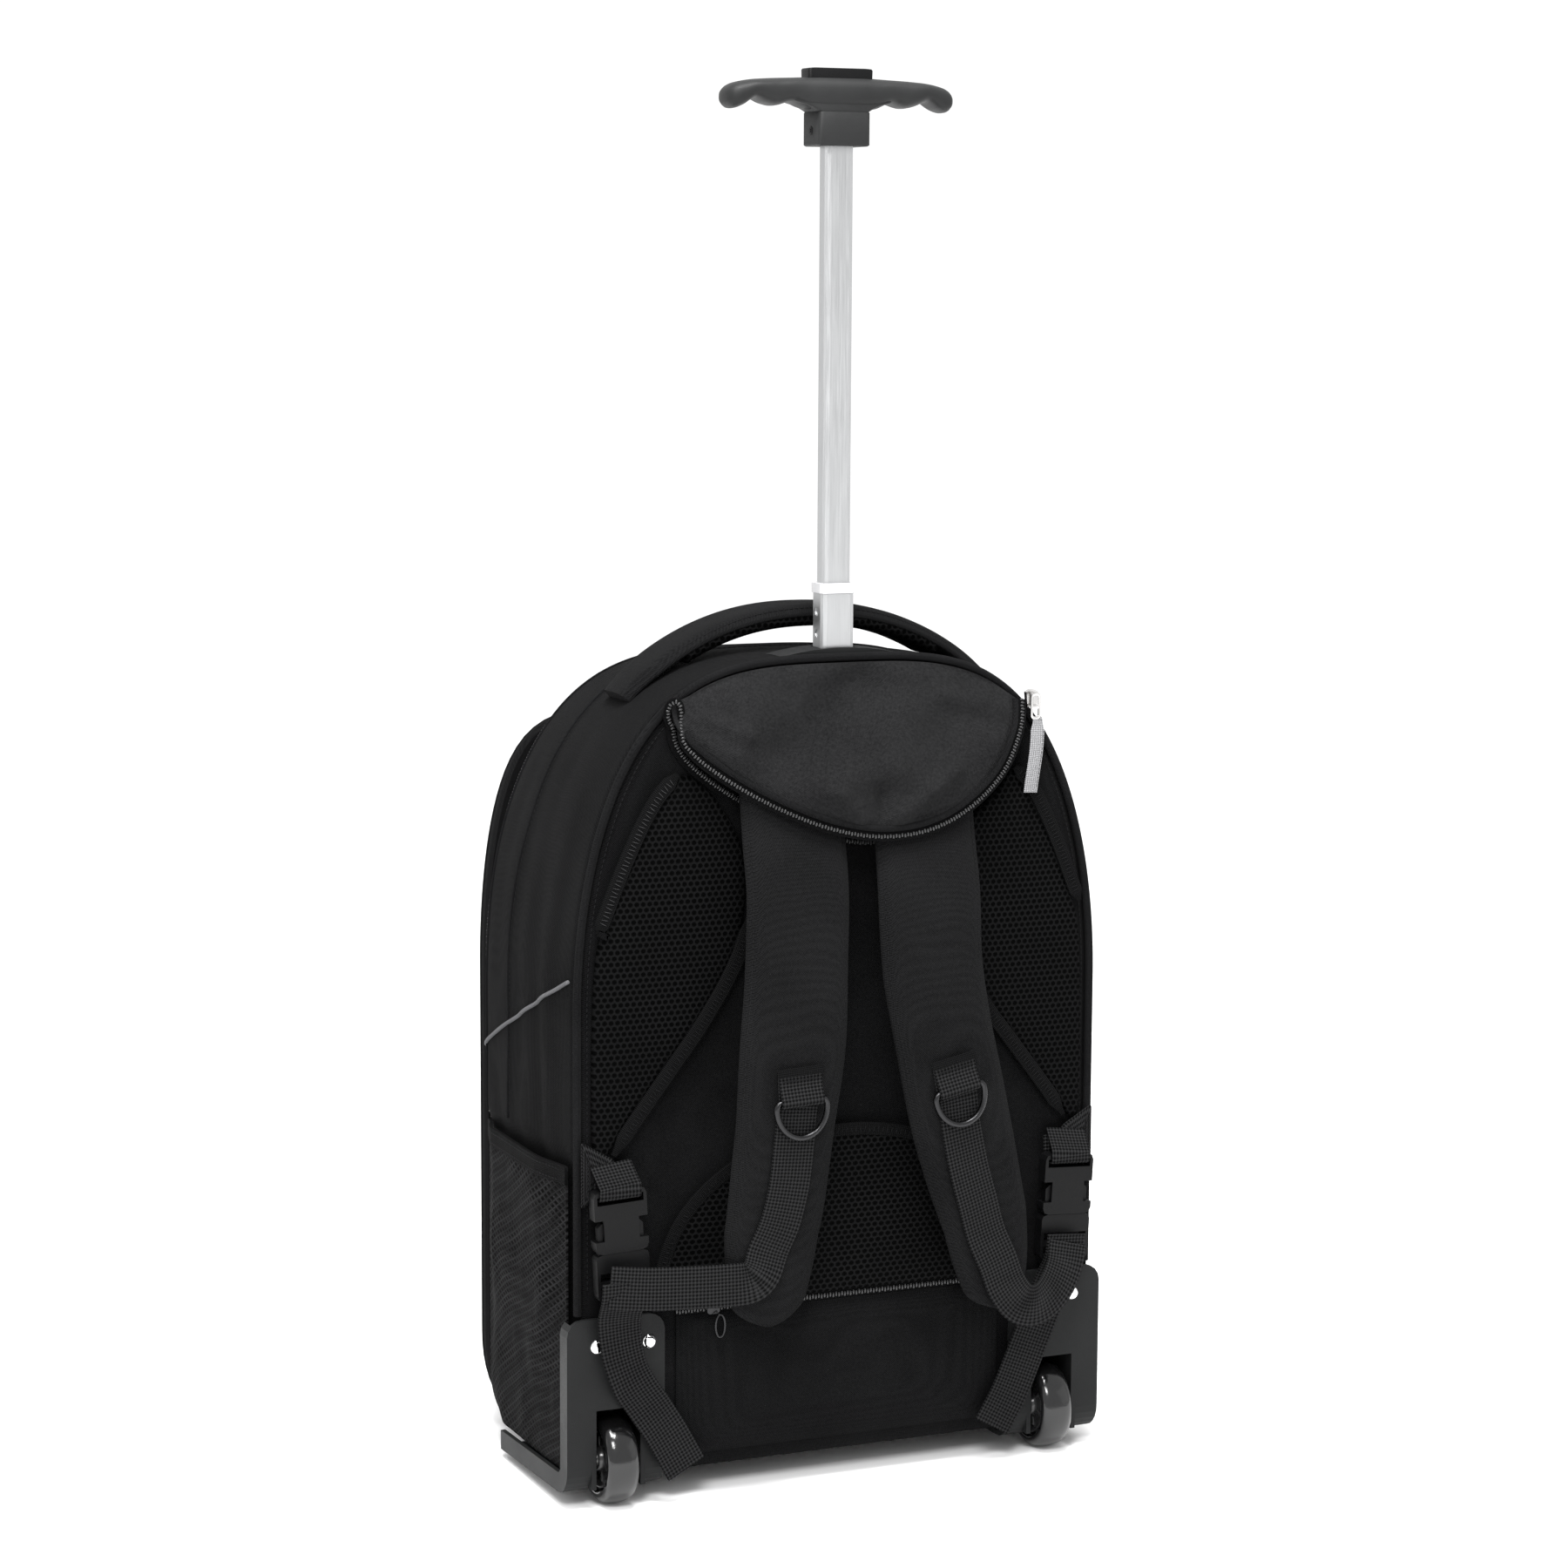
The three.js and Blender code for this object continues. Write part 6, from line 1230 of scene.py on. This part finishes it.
def strap_web(name):
    data = WEB[name]
    rows = []
    for z, shift in data["on"]:
        at, course = strap_face(name, z)
        at = at + Vector((shift * HALF_WIDTH, -1.7, 0))
        rows.append((at, Vector((-course.z, 0, course.x))))
    for x, z, off, turn in data["free"]:
        rows.append((Vector((x * HALF_WIDTH, STRAP_BACK - off * STRAP_STANDOFF, z * BODY_HEIGHT)),
                     across_turn(turn)))
    tail = [(Vector((x * HALF_WIDTH, STRAP_BACK - off * STRAP_STANDOFF, z * BODY_HEIGHT)), across_turn(turn))
            for x, z, off, turn in data["tail"]]
    a = strip(smooth_stations(rows, 90), 1.6)
    b = strip(smooth_stations(tail, 70), 1.6)
    v, f, u = merge([a, b])
    make("webbing_" + name, v, f, WEBBING, uvs=u, nodes=("strap_webbing_" + name,))


RINGS = {"left": (0.492, 0.024, 3), "right": (0.49, -0.01, 12)}


def ring_place(name):
    z, shift, lean = RINGS[name]
    at, _ = strap_face_linear(name, z)
    at.x += shift * HALF_WIDTH
    at.y -= GAP + 1.6 + 1 + GAP + 1.8
    return at, math.radians(lean)


def strap_face_linear(name, z):
    rows = sorted(STRAP_TABLE[name], key=lambda r: r[0])
    for a, b in zip(rows, rows[1:]):
        if a[0] <= z <= b[0]:
            t = (z - a[0]) / (b[0] - a[0])
            x = lerp(a[1], b[1], t)
            off = lerp(a[3], b[3], t)
            break
    return Vector((x * HALF_WIDTH, STRAP_BACK - off * STRAP_STANDOFF - STRAP_THICKNESS,
                   z * BODY_HEIGHT)), None


def d_ring(name):
    at, lean = ring_place(name)
    half = 18 - 1.8
    pts = [Vector((half * 0.5, 0, 0)), Vector((half - 4, 0, 0)), Vector((half - 1.4, 0, -0.5)),
           Vector((half - 0.1, 0, -2.6))]
    bow = 26 - 3.6 - 4
    for i in range(25):
        a = i / 24 * math.pi
        pts.append(Vector((half * math.cos(a), 0, -4 - bow * math.sin(a))))
    pts += [Vector((0.1 - half, 0, -2.6)), Vector((1.4 - half, 0, -0.5)), Vector((4 - half, 0, 0)),
            Vector((-half * 0.5, 0, 0))]
    c, s = math.cos(lean), math.sin(lean)
    path = [at + Vector((p.x * c - p.z * s, p.y, p.x * s + p.z * c)) for p in pts]
    v, f, u = tube(path, 1.8, 14, closed=True)
    make("ring_" + name, v, f, RING, body="ring_" + name, nodes=("d_ring_" + name,))


def d_loop(name):
    at, lean = ring_place(name)
    middle = 1.8 + GAP + 0.8
    width = 27.0
    side = Vector((math.cos(lean), 0, math.sin(lean)))
    up = Vector((-math.sin(lean), 0, math.cos(lean)))
    stations = [(at + up * 17 + Vector((0, middle + 0.1, 0)), side, width)]
    for i in range(13):
        a = i / 12 * math.pi
        stations.append((at + Vector((0, middle * math.cos(a), 0)) - up * middle * math.sin(a), side, width))
    stations.append((at + up * 5 + Vector((0, middle - 4.0, 0)), side, width))
    stations.append((at + up * 9 + Vector((0, middle - 2.6, 0)), side, width))
    stations.append((at + up * 17.5 + Vector((0, middle - 2.2, 0)), side, width + 1))
    v, f, u = strip(stations, 1.5)
    make("ring_loop_" + name, v, f, WEBBING, uvs=u, nodes=("d_loop_" + name,))
    v, f, u = strip([(at + up * 15.5 + Vector((0, middle - 3.4, 0)), side, width + 3),
                     (at + up * 18.6 + Vector((0, middle - 3.2, 0)), side, width + 3),
                     (at + up * 19.4 + Vector((0, middle - 2.0, 0)), side, width + 3)], 1.2)
    make("ring_loop_fold_" + name, v, f, BINDING, uvs=u)
    y = middle - 3.1
    stitches("ring_loop_thread_" + name, [at + up * 12.5 - side * 12 + Vector((0, y - 0.3, 0)),
                                          at + up * 12.5 + side * 12 + Vector((0, y - 0.3, 0))], pitch=2.6)


# Buckles, anchor tabs

BUCKLES = {"left": (-0.862, 0.316, -3, -1), "right": (0.862, 0.306, 3, 1)}
BUCKLE_BACK = PANEL_FACE - 6 - 1.2


def anchor(name):
    x, z, lean, side = BUCKLES[name]
    tilt = math.radians(lean)
    rise = 38 - 1.7
    bar = Vector((x * HALF_WIDTH + rise * math.sin(tilt), BUCKLE_BACK - 4.5,
                  z * BODY_HEIGHT + rise * math.cos(tilt)))
    reach = 4.5 + 0.6 + 0.8
    drop = 1.7 + 1.5 + 0.8
    behind = BUCKLE_BACK + 0.6 + 1.6
    across = Vector((math.cos(tilt), 0, -math.sin(tilt)))
    width = 26.0
    rows = [(Vector((bar.x, behind, bar.z + 12)), across)]
    for i in range(7):
        a = i / 6 * math.pi
        c = math.cos(a)
        yy = reach * (1 if c > 0 else -1) * math.sqrt(abs(c))
        rows.append((Vector((bar.x, bar.y + yy, bar.z - drop
                             * math.sqrt(math.sin(a) if math.sin(a) > 0 else 0))), across))
    rows.append((Vector((bar.x, bar.y - reach, bar.z + 3.4)), across))
    rows.append((Vector((bar.x + side * 2, behind - 0.6, bar.z + 15)), across))
    v1 = strip([(p, s, width) for p, s in rows], 1.5)
    middle = bar.z + 9
    outline = [(side * 168.5, middle + 20), (side * 148, middle + 8), (side * 148, middle - 4),
               (side * 168.5, middle - 20)]
    shape = rounded(outline, 2.0)
    rings = [[Vector((lerp(side * 160, px, s), yy, lerp(middle, pz, s))) for px, pz in shape]
             for s, yy in ((0.2, behind - 1.2), (0.9, behind - 1.1), (1.0, behind - 0.6),
                           (1.0, behind + 0.4), (0.9, behind + 0.6), (0.2, behind + 0.6))]
    v2 = loft(rings)
    foot = tablet((side * 159, (behind + PANEL_FACE) / 2, middle), (8, PANEL_FACE - behind, 14))
    v, f, u = merge([v1, v2, foot])
    make("anchor_" + name, v, f, WEBBING, uvs=u, nodes=("anchor_tab_" + name,))
    line = [Vector((side * 164.5, behind - 1.5, middle + t)) for t in np.linspace(-15, 15, 8)]
    stitches("anchor_thread_" + name, line, pitch=2.8)


def dress(node, material, bevel=0.0, segments=2, angle=32):
    """Gives a CAD node its material and, where set, rounded edges."""
    obj = NODES[node]
    obj.data.materials.clear()
    obj.data.materials.append(material)
    if bevel:
        mod = obj.modifiers.new("edges", "BEVEL")
        mod.width = bevel * 0.001
        mod.segments = segments
        mod.limit_method = "ANGLE"
        mod.angle_limit = math.radians(angle)
        mod.harden_normals = False
        mod.use_clamp_overlap = True


# Wheels, guards, rivets

def wheel(name, side):
    cx = side * WHEEL_OFFSET
    core = WHEEL_RADIUS - 9
    half = WHEEL_WIDTH / 2
    profile = [(core + 0.4, half * 0.8), (core + 1.5, half * 0.93), (core + 3.2, half * 0.985),
               (core + 4.6, half * 0.985),
               (core + 6.2, half * 0.93), (core + 7.4, half * 0.8), (core + 8.3,
                                                                     half * 0.6), (core + 8.85,
                                                                                   half * 0.36), (core + 9.0, half * 0.12)]
    ring = profile + [(r, -t) for r, t in reversed(profile)]
    ring += [(core, -half * 0.72), (core, half * 0.72)]
    v, f, u = lathe(ring, 96, (cx, WHEEL_DEPTH, WHEEL_RADIUS))
    make("wheel_tyre_" + name, v, f, TYRE, body="wheel_" + name, nodes=("tyre_" + name,))
    core -= GAP
    bore = 3.9
    hub = [(bore, half * 0.93), (bore + 0.5, half * 0.97), (bore + 2.6, half * 0.97),
           (bore + 3.2, half * 0.9), (bore + 3.8, half * 0.62),
           (core - 6, half * 0.54), (core - 3, half * 0.56), (core - 2.2, half * 0.74), (core - 1.4,
                                                                                         half * 0.8), (core - 0.4, half * 0.8), (core, half * 0.74)]
    ring = hub + [(r, -t) for r, t in reversed(hub)]
    parts = [lathe(ring, 72, (cx, WHEEL_DEPTH, WHEEL_RADIUS))]
    for k in range(6):
        a = k * math.pi / 3 + 0.3
        for face in (-1, 1):
            c = Vector((cx + face * half * 0.58, WHEEL_DEPTH + 10.4 * math.cos(a),
                        WHEEL_RADIUS + 10.4 * math.sin(a)))
            radial = Vector((0, math.cos(a), math.sin(a)))
            parts.append(tablet(c, (2.0, 2.0, 6.0),
                                (Vector((1, 0, 0)), radial.cross(Vector((1, 0, 0))), radial)))
    v, f, u = merge(parts)
    make("wheel_hub_" + name, v, f, HUB, body="wheel_" + name, nodes=("hub_" + name,))
    v, f, u = lathe([(0.0, -16.5), (2.6, -16.5), (3.5, -15.8), (3.5, 15.8), (2.6, 16.5), (0.0, 16.5)], 40,
                    (cx, WHEEL_DEPTH, WHEEL_RADIUS))
    make("wheel_axle_" + name, v, f, AXLE, nodes=("axle_" + name,))


def rivet(name, x, z):
    face = PANEL_FACE - GAP - 3 - GAP
    profile = [(0.0, -2.6), (1.4, -2.5), (2.7, -2.05), (3.7, -1.25), (4.3, -0.45), (4.5, 0.0), (0.0, 0.0)]
    v, f, u = lathe(profile, 40, (x, face, z), axis="y")
    make("rivet_head_" + name, v, f, CHROME, nodes=("rivet_" + name,))


# Side pockets

def side_pocket_x(y, z):
    share = smooth(0.0, 0.25, y / MAIN_DEPTH) * (1 - smooth(0.7, 0.86, y / MAIN_DEPTH))
    opened = smooth(BODY_CORNER * 1.2, 208 * 0.7, z)
    wide, tall = corner_at(y)
    down = min(1.0, max(0.0, floor_at(y) + tall - z) / tall)
    corner = wide * (1 - math.sqrt(1 - down ** 2))
    wall = HALF_WIDTH + SIDE_SWELL + 2.2 * 0.9 + 2 * GAP - 5.0 - corner
    return wall + share * opened * 5.0 - SIDE_SWELL * 0.25 * (1 - share)


def side_pocket(name, side):
    def surface(bottom, top, thickness, columns, rows, wavy):
        rings = []
        for i in range(columns + 1):
            y = lerp(NET_BACK, NET_FRONT, i / columns)
            ring = []
            for layer, order in ((0.0, range(rows + 1)), (thickness, range(rows, -1, -1))):
                for j in order:
                    z = lerp(bottom, top, j / rows)
                    z += wavy[1] * smooth(0.5, 1.0, j / rows) * math.sin(y / 9)
                    inside = smooth(0, 10, y - NET_BACK) * smooth(0, 10, NET_FRONT - y)
                    ripple = inside * (wavy[0] * noise.noise(Vector((y / 22, z / 40, 3.0 * side))) + 0.25
                                       * noise.noise(Vector((y / 6, z / 14, 7.0))))
                    x = side_pocket_x(y, z) + layer + max(-0.2, ripple)
                    ring.append(Vector((side * x, y, z)))
            rings.append(ring)
        return loft(rings)

    v, f, u = surface(20.5, NET_TOP, 1.2, 54, 48, (1.6, 0.0))
    knitted = make("net_pocket_" + name, v, f, NET, nodes=("side_pocket_" + name,), sharp=70)
    v, f, u = surface(HEM_BOTTOM, HEM_TOP, 2.2, 90, 4, (0.6, 0.0))
    hem = make("net_binding_" + name, v, f, BINDING, uvs=u, nodes=("pocket_binding_" + name,),
               sharp=70)
    for z in (199.0, 205.5):
        line = [Vector((side * (side_pocket_x(y, z) + 2.6), y, z)) for y in np.linspace(12, 136, 40)]
        stitches(f"net_thread_{name}_{int(z)}", line, normal=(side, 0, 0))


def reflective(name, side):
    pts = []
    for y in np.linspace(4, 152, 40):
        z = lerp(0.63 * BODY_HEIGHT, 0.5 * BODY_HEIGHT, (y - 4) / 148)
        d = y / MAIN_DEPTH
        x = HALF_WIDTH + column(MAIN_SECTIONS, "depth", "swell", d) * SIDE_SWELL - column(MAIN_SECTIONS,
                                                                                          "depth", "inset", d) * FRONT_ROUND
        fade = smooth(2, 14, y) * (1 - smooth(140, 158, y))
        x += fade * side_folds(side * HALF_WIDTH, y, z)
        pts.append(Vector((side * (x + 0.9), y, z)))
    v, f, u = tube(catmull(pts[::2] + [pts[-1]], 90), 1.2, 10, up=(1, 0, 0))
    make("reflective_" + name, v, f, REFLECTIVE, uvs=u, nodes=("reflective_cord_" + name,))


# Carrying handle

def grab_handle():
    foot = arch_height(HANDLE_HALF_SPAN) - TOP_DROP * 0.3
    peak = BODY_HEIGHT + 27 - 7
    stations = []
    for i in range(61):
        uu = lerp(-1, 1, i / 60)
        z = foot + 5 + (peak - foot - 5) * max(0.0, 1 - abs(uu) ** 2.2) ** 0.9
        end = smooth(0.8, 1, abs(uu))
        stations.append((Vector((uu * HANDLE_HALF_SPAN, 60, z)), (0, 1, 0), 42 * (1 - 0.15 * end)))
    section = [(x, y if y > 0 else 0.35 * y) for x, y in strap_section()]
    v, f, u = strip(stations, 14, section)
    make("carry_handle", v, f, PAD_CLOTH, nodes=("grab_handle",))
    under = []
    for p, across, w in stations[9:-9]:
        under.append((p + Vector((0, 0, -2.7)), across, w * 1.0))
    puffed = [(0.9, 0.9), (0.97, 0.4), (0.985, 0.0), (0.95, -0.4), (0.85, -0.72), (0.6, -0.93),
              (0.3, -1.0), (0.0, -1.0)]
    puffed += [(-x, y) for x, y in reversed(puffed[:-1])]
    v, f, u = strip(under, 9.4, puffed)
    make("carry_handle_mesh", v, f, MESH)
    for s in (-1, 1):
        stitches(f"carry_handle_thread_{'back' if s < 0 else 'front'}",
                 [p + Vector((0, s * w * 0.44, 4.6)) for p, a, w in stations[5:-5]], normal=(0, 0, 1))


# T handle

GRIP_SECTIONS = [(1.0, 0.72, 0.66, 0.3), (0.985, 0.8, 0.58, 0.6), (0.94, 0.87, 0.52, 0.8),
                 (0.86, 0.915, 0.56, 0.9), (0.76, 0.945, 0.665, 0.95),
                 (0.66, 0.96, 0.6, 1.0), (0.57, 0.97, 0.57, 1.0), (0.43, 0.98, 0.625, 1.0), (0.32, 0.99,
                                                                                             0.55, 1.0), (0.2, 1.0, 0.52, 1.0)]


def t_handle():
    table = sorted(({"x": r[0], "top": r[1], "low": r[2], "deep": r[3]} for r in GRIP_SECTIONS),
                   key=lambda r: r["x"])
    shares = [1.0, 0.997, 0.99, 0.98, 0.965, 0.95] + list(np.linspace(0.93, 0.2, 50))
    xs = [-s for s in shares] + [s for s in reversed(shares)]
    rings = []
    for x in xs:
        a = abs(x)
        top, low, deep = (column(table, "x", c, a) for c in ("top", "low", "deep"))
        if a > 0.985:
            t = (a - 0.985) / 0.015
            deep = lerp(0.62, 0.12, t ** 2)
            mid = 0.69
            half = lerp(0.11, 0.03, t ** 2)
            top, low = mid + half, mid - half
        middle = INNER_TOP + GRIP_HEIGHT * (top + low) / 2
        up = GRIP_HEIGHT * (top - low) / 2
        ring = []
        for k in range(28):
            ang = 2 * math.pi * k / 28
            c, s = math.cos(ang), math.sin(ang)
            ring.append(Vector((x * GRIP_HALF_SPAN,
                                TUBE_DEPTH + GRIP_HALF_DEPTH * deep * math.copysign(abs(c) ** 0.75, c),
                                middle + up * math.copysign(abs(s) ** 0.75, s))))
        rings.append(ring)
    grip = loft(rings)
    neck_shape = rounded([(16.5, 12.5), (-16.5, 12.5), (-16.5, -12.5), (16.5, -12.5)], 3.0, 4)
    rings = [[Vector((x * s, TUBE_DEPTH + y * s, z)) for x, y in neck_shape]
             for z, s in ((INNER_TOP + 0.3, 0.6), (INNER_TOP + 0.1, 0.94), (INNER_TOP + 0.9, 1.0),
                          (INNER_TOP + 19.5, 1.0), (INNER_TOP + 19.8, 0.98), (INNER_TOP + 20.1, 0.98),
                          (INNER_TOP + 20.4, 1.0), (INNER_TOP + 26, 1.0))]
    for z, wide, deep in ((21.2, 1.08, 1.0), (22.5, 1.24, 0.99), (24.0, 1.5, 0.97), (25.5, 1.85, 0.93),
                          (27.5, 2.0, 0.85)):
        rings.insert(-1, [Vector((x * wide, TUBE_DEPTH + y * deep, INNER_TOP + z)) for x, y in neck_shape])
    rings.pop()
    neck = loft(rings)
    v, f, u = grip
    obj = make("pull_grip", v, f, GRIP, body="grip", nodes=("t_handle",), sharp=60)
    v, f, u = neck
    make("pull_grip_neck", v, f, GRIP, body="grip", sharp=50)
    across, deep = BUTTON_HALF_WIDTH, BUTTON_HALF_DEPTH
    boxes_cut(obj, [((-across - GAP, TUBE_DEPTH - deep - GAP, INNER_TOP + 30),
                     (across + GAP, TUBE_DEPTH + deep + GAP, INNER_TOP + 60))])
    b = rounded([(across, deep), (-across, deep), (-across, -deep), (across, -deep)], 2.0, 4)
    rings = [[Vector((x * s, TUBE_DEPTH + y * s, z)) for x, y in b]
             for z, s in ((INNER_TOP + 34.4, 0.97), (INNER_TOP + 44.2, 0.985), (INNER_TOP + 45.0, 0.95),
                          (INNER_TOP + 45.3, 0.8), (INNER_TOP + 45.3, 0.3))]
    v, f, u = loft(rings)
    make("grip_button", v, f, BUCKLE, body="button", nodes=("release_button",))
    v, f, u = lathe([(0.0, -0.9), (1.0, -0.9), (1.2, -0.3), (2.4, -0.45), (3.0, 0.1), (3.0, 0.9),
                     (0.0, 0.9)], 32,
                    (-16.5, TUBE_DEPTH, INNER_TOP + 9))
    make("grip_screw", v, f, BUCKLE, body="grip", nodes=("handle_screw",))


def zip_pull():
    low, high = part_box("zip_puller")
    mid = (Vector(low) + Vector(high)) * 500
    mid.y -= SHIFT
    shape = rounded([(-3.2, -8), (3.2, -8), (3.2, 8), (-3.2, 8)], 2.6, 5)
    parts = []
    rings = []
    inner = rounded([(-1.9, -6.6), (1.9, -6.6), (1.9, 6.6), (-1.9, 6.6)], 1.7, 5)
    for (ox, oz), (ix, iz) in zip(shape, inner):
        o = Vector((mid.x + ox, mid.y, mid.z + oz))
        i = Vector((mid.x + ix, mid.y, mid.z + iz))
        rings.append([o + Vector((0, -0.6, 0)), o.lerp(i, 0.25) + Vector((0, -0.75, 0)),
                      i.lerp(o, 0.25) + Vector((0, -0.75, 0)), i + Vector((0, -0.5, 0)),
                      i + Vector((0, 0.5, 0)), i.lerp(o, 0.25) + Vector((0, 0.7, 0)), o.lerp(i,
                                                                                             0.25) + Vector((0, 0.7, 0)), o + Vector((0, 0.6, 0))])
    parts.append(loft(rings, closed=True))
    parts.append(tablet((mid.x, mid.y, mid.z - 0.6), (5, 1.3, 2.4)))
    v, f, u = merge(parts)
    make("flap_puller", v, f, NICKEL, nodes=("zip_puller",))
    low, high = (Vector(c) * 1000 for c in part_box("zip_tab"))
    x0, y0, z1, z0 = mid.x, mid.y + 0.2, high.z, low.z
    rows = []
    for i in range(21):
        t = i / 20
        swing = lerp(1.6, -2.2, t) + 0.5 * math.sin(5 * t)
        rows.append((Vector((x0 + swing, y0 - 1.0 * math.sin(t * math.pi) - 0.3,
                             lerp(z1 - 0.4, z0 + 0.3, t))), (1, 0.12, 0.05),
                     lerp(6.4, 9.6, smooth(0, 0.16, t))))
    fold = [(p + Vector((0.7, 1.7, -0.5 * i / 20)), a, w - 0.5) for i, (p, a, w) in enumerate(rows)]
    top = rows[0][0]
    loop = [(top + Vector((0.1, 0.85 - 0.85 * math.cos(a), 1.1 * math.sin(a))), (1, 0.12, 0.05), 6.2)
            for a in np.linspace(0.2, math.pi - 0.2, 7)]
    v, f, u = strip(rows[::-1] + loop + fold, 1.0)
    make("flap_tab", v, f, TAB, uvs=u, nodes=("zip_tab",))
    for s in (-1, 1):
        stitches(f"flap_tab_thread_{'left' if s < 0 else 'right'}",
                 [p + Vector((s * 3.6, -0.75, 0)) for p, a, w in rows[3:-1]],
                 pitch=2.4, length=1.6, radius=0.2, material=GREY_THREAD)


bag_body()
gusset_seams()
front_pocket()
main_zip()
back_panel()
piping()
for label, sign in (("left", -1), ("right", 1)):
    air_pad(label, sign)
    strap(label)
    strap_web(label)
    d_ring(label)
    d_loop(label)
    anchor(label)
    wheel(label, sign)
    rivet(label + "_outer", sign * (WHEEL_OFFSET + 13.5), 100)
    rivet(label + "_inner", sign * (WHEEL_OFFSET - 19.5), 100)
    side_pocket(label, sign)
    reflective(label, sign)
    dress("corner_guard_" + label, GUARD, 0.8, 3)
    dress("buckle_socket_" + label, BUCKLE, 0.5)
    dress("buckle_plug_" + label, BUCKLE, 0.4)
    dress("foot_" + label, GUARD, 0.8)
lumbar()
lower_panel()
flap()
grab_handle()
t_handle()
zip_pull()
dress("zip_slider", NICKEL, 0.25)
dress("handle_tray", GUARD, 0.5)
dress("outer_tube", TUBE, 0.3)
dress("middle_tube", TUBE, 0.3)
dress("inner_tube", TUBE, 0.3)
dress("tube_bushing", BUSH, 0.4)


# Floor, light and camera

def stage():
    bpy.ops.mesh.primitive_plane_add(size=14, location=(0, 2, 0))
    floor = bpy.context.object
    floor.name = "floor"
    material, tree, shader = new_material("pale_floor", (0.96, 0.96, 0.96), 0.95)
    floor.data.materials.append(material)
    bpy.context.scene.view_settings.view_transform = "Standard"
    world = bpy.data.worlds.new("studio")
    bpy.context.scene.world = world
    world.use_nodes = True
    world.node_tree.nodes["Background"].inputs[0].default_value = (1.0, 1.0, 1.0, 1)
    world.node_tree.nodes["Background"].inputs[1].default_value = 1.06
    for name, at, power, size in (("key", (-1.2, -2.3, 2.6), 75, 0.9), ("fill", (2.4, -1.9, 1.2), 5, 2.0),
                                  ("side", (-2.6, 0.6, 1.4), 6, 1.2), ("top", (-0.3, -0.7, 2.8), 125, 0.9)):
        light = bpy.data.lights.new(name, "AREA")
        light.energy = power
        light.size = size
        lamp = bpy.data.objects.new(name, light)
        bpy.context.collection.objects.link(lamp)
        lamp.location = at
        lamp.rotation_euler = (Vector((0, 0, 0.4)) - Vector(at)).to_track_quat("-Z", "Y").to_euler()


def camera():
    f_px, yaw, down, roll = 4323.24, math.radians(23.5), math.radians(7.72), math.radians(0.32)
    fwd = Vector((math.sin(yaw) * math.cos(down), math.cos(yaw) * math.cos(down), -math.sin(down)))
    right = Vector((math.cos(yaw), -math.sin(yaw), 0))
    up = right.cross(fwd)
    r2 = right * math.cos(roll) + up * math.sin(roll)
    u2 = -right * math.sin(roll) + up * math.cos(roll)
    data = bpy.data.cameras.new("photo_camera")
    data.sensor_width = 36
    data.lens = f_px / 1800 * 36
    data.clip_end = 50
    cam = bpy.data.objects.new("photo_camera", data)
    bpy.context.collection.objects.link(cam)
    turn = Matrix((r2, u2, -fwd)).transposed()
    cam.matrix_world = Matrix.Translation(place((-919.7, -2031.2, 729.2))) @ turn.to_4x4()
    bpy.context.scene.camera = cam


stage()
camera()
bpy.context.view_layer.update()
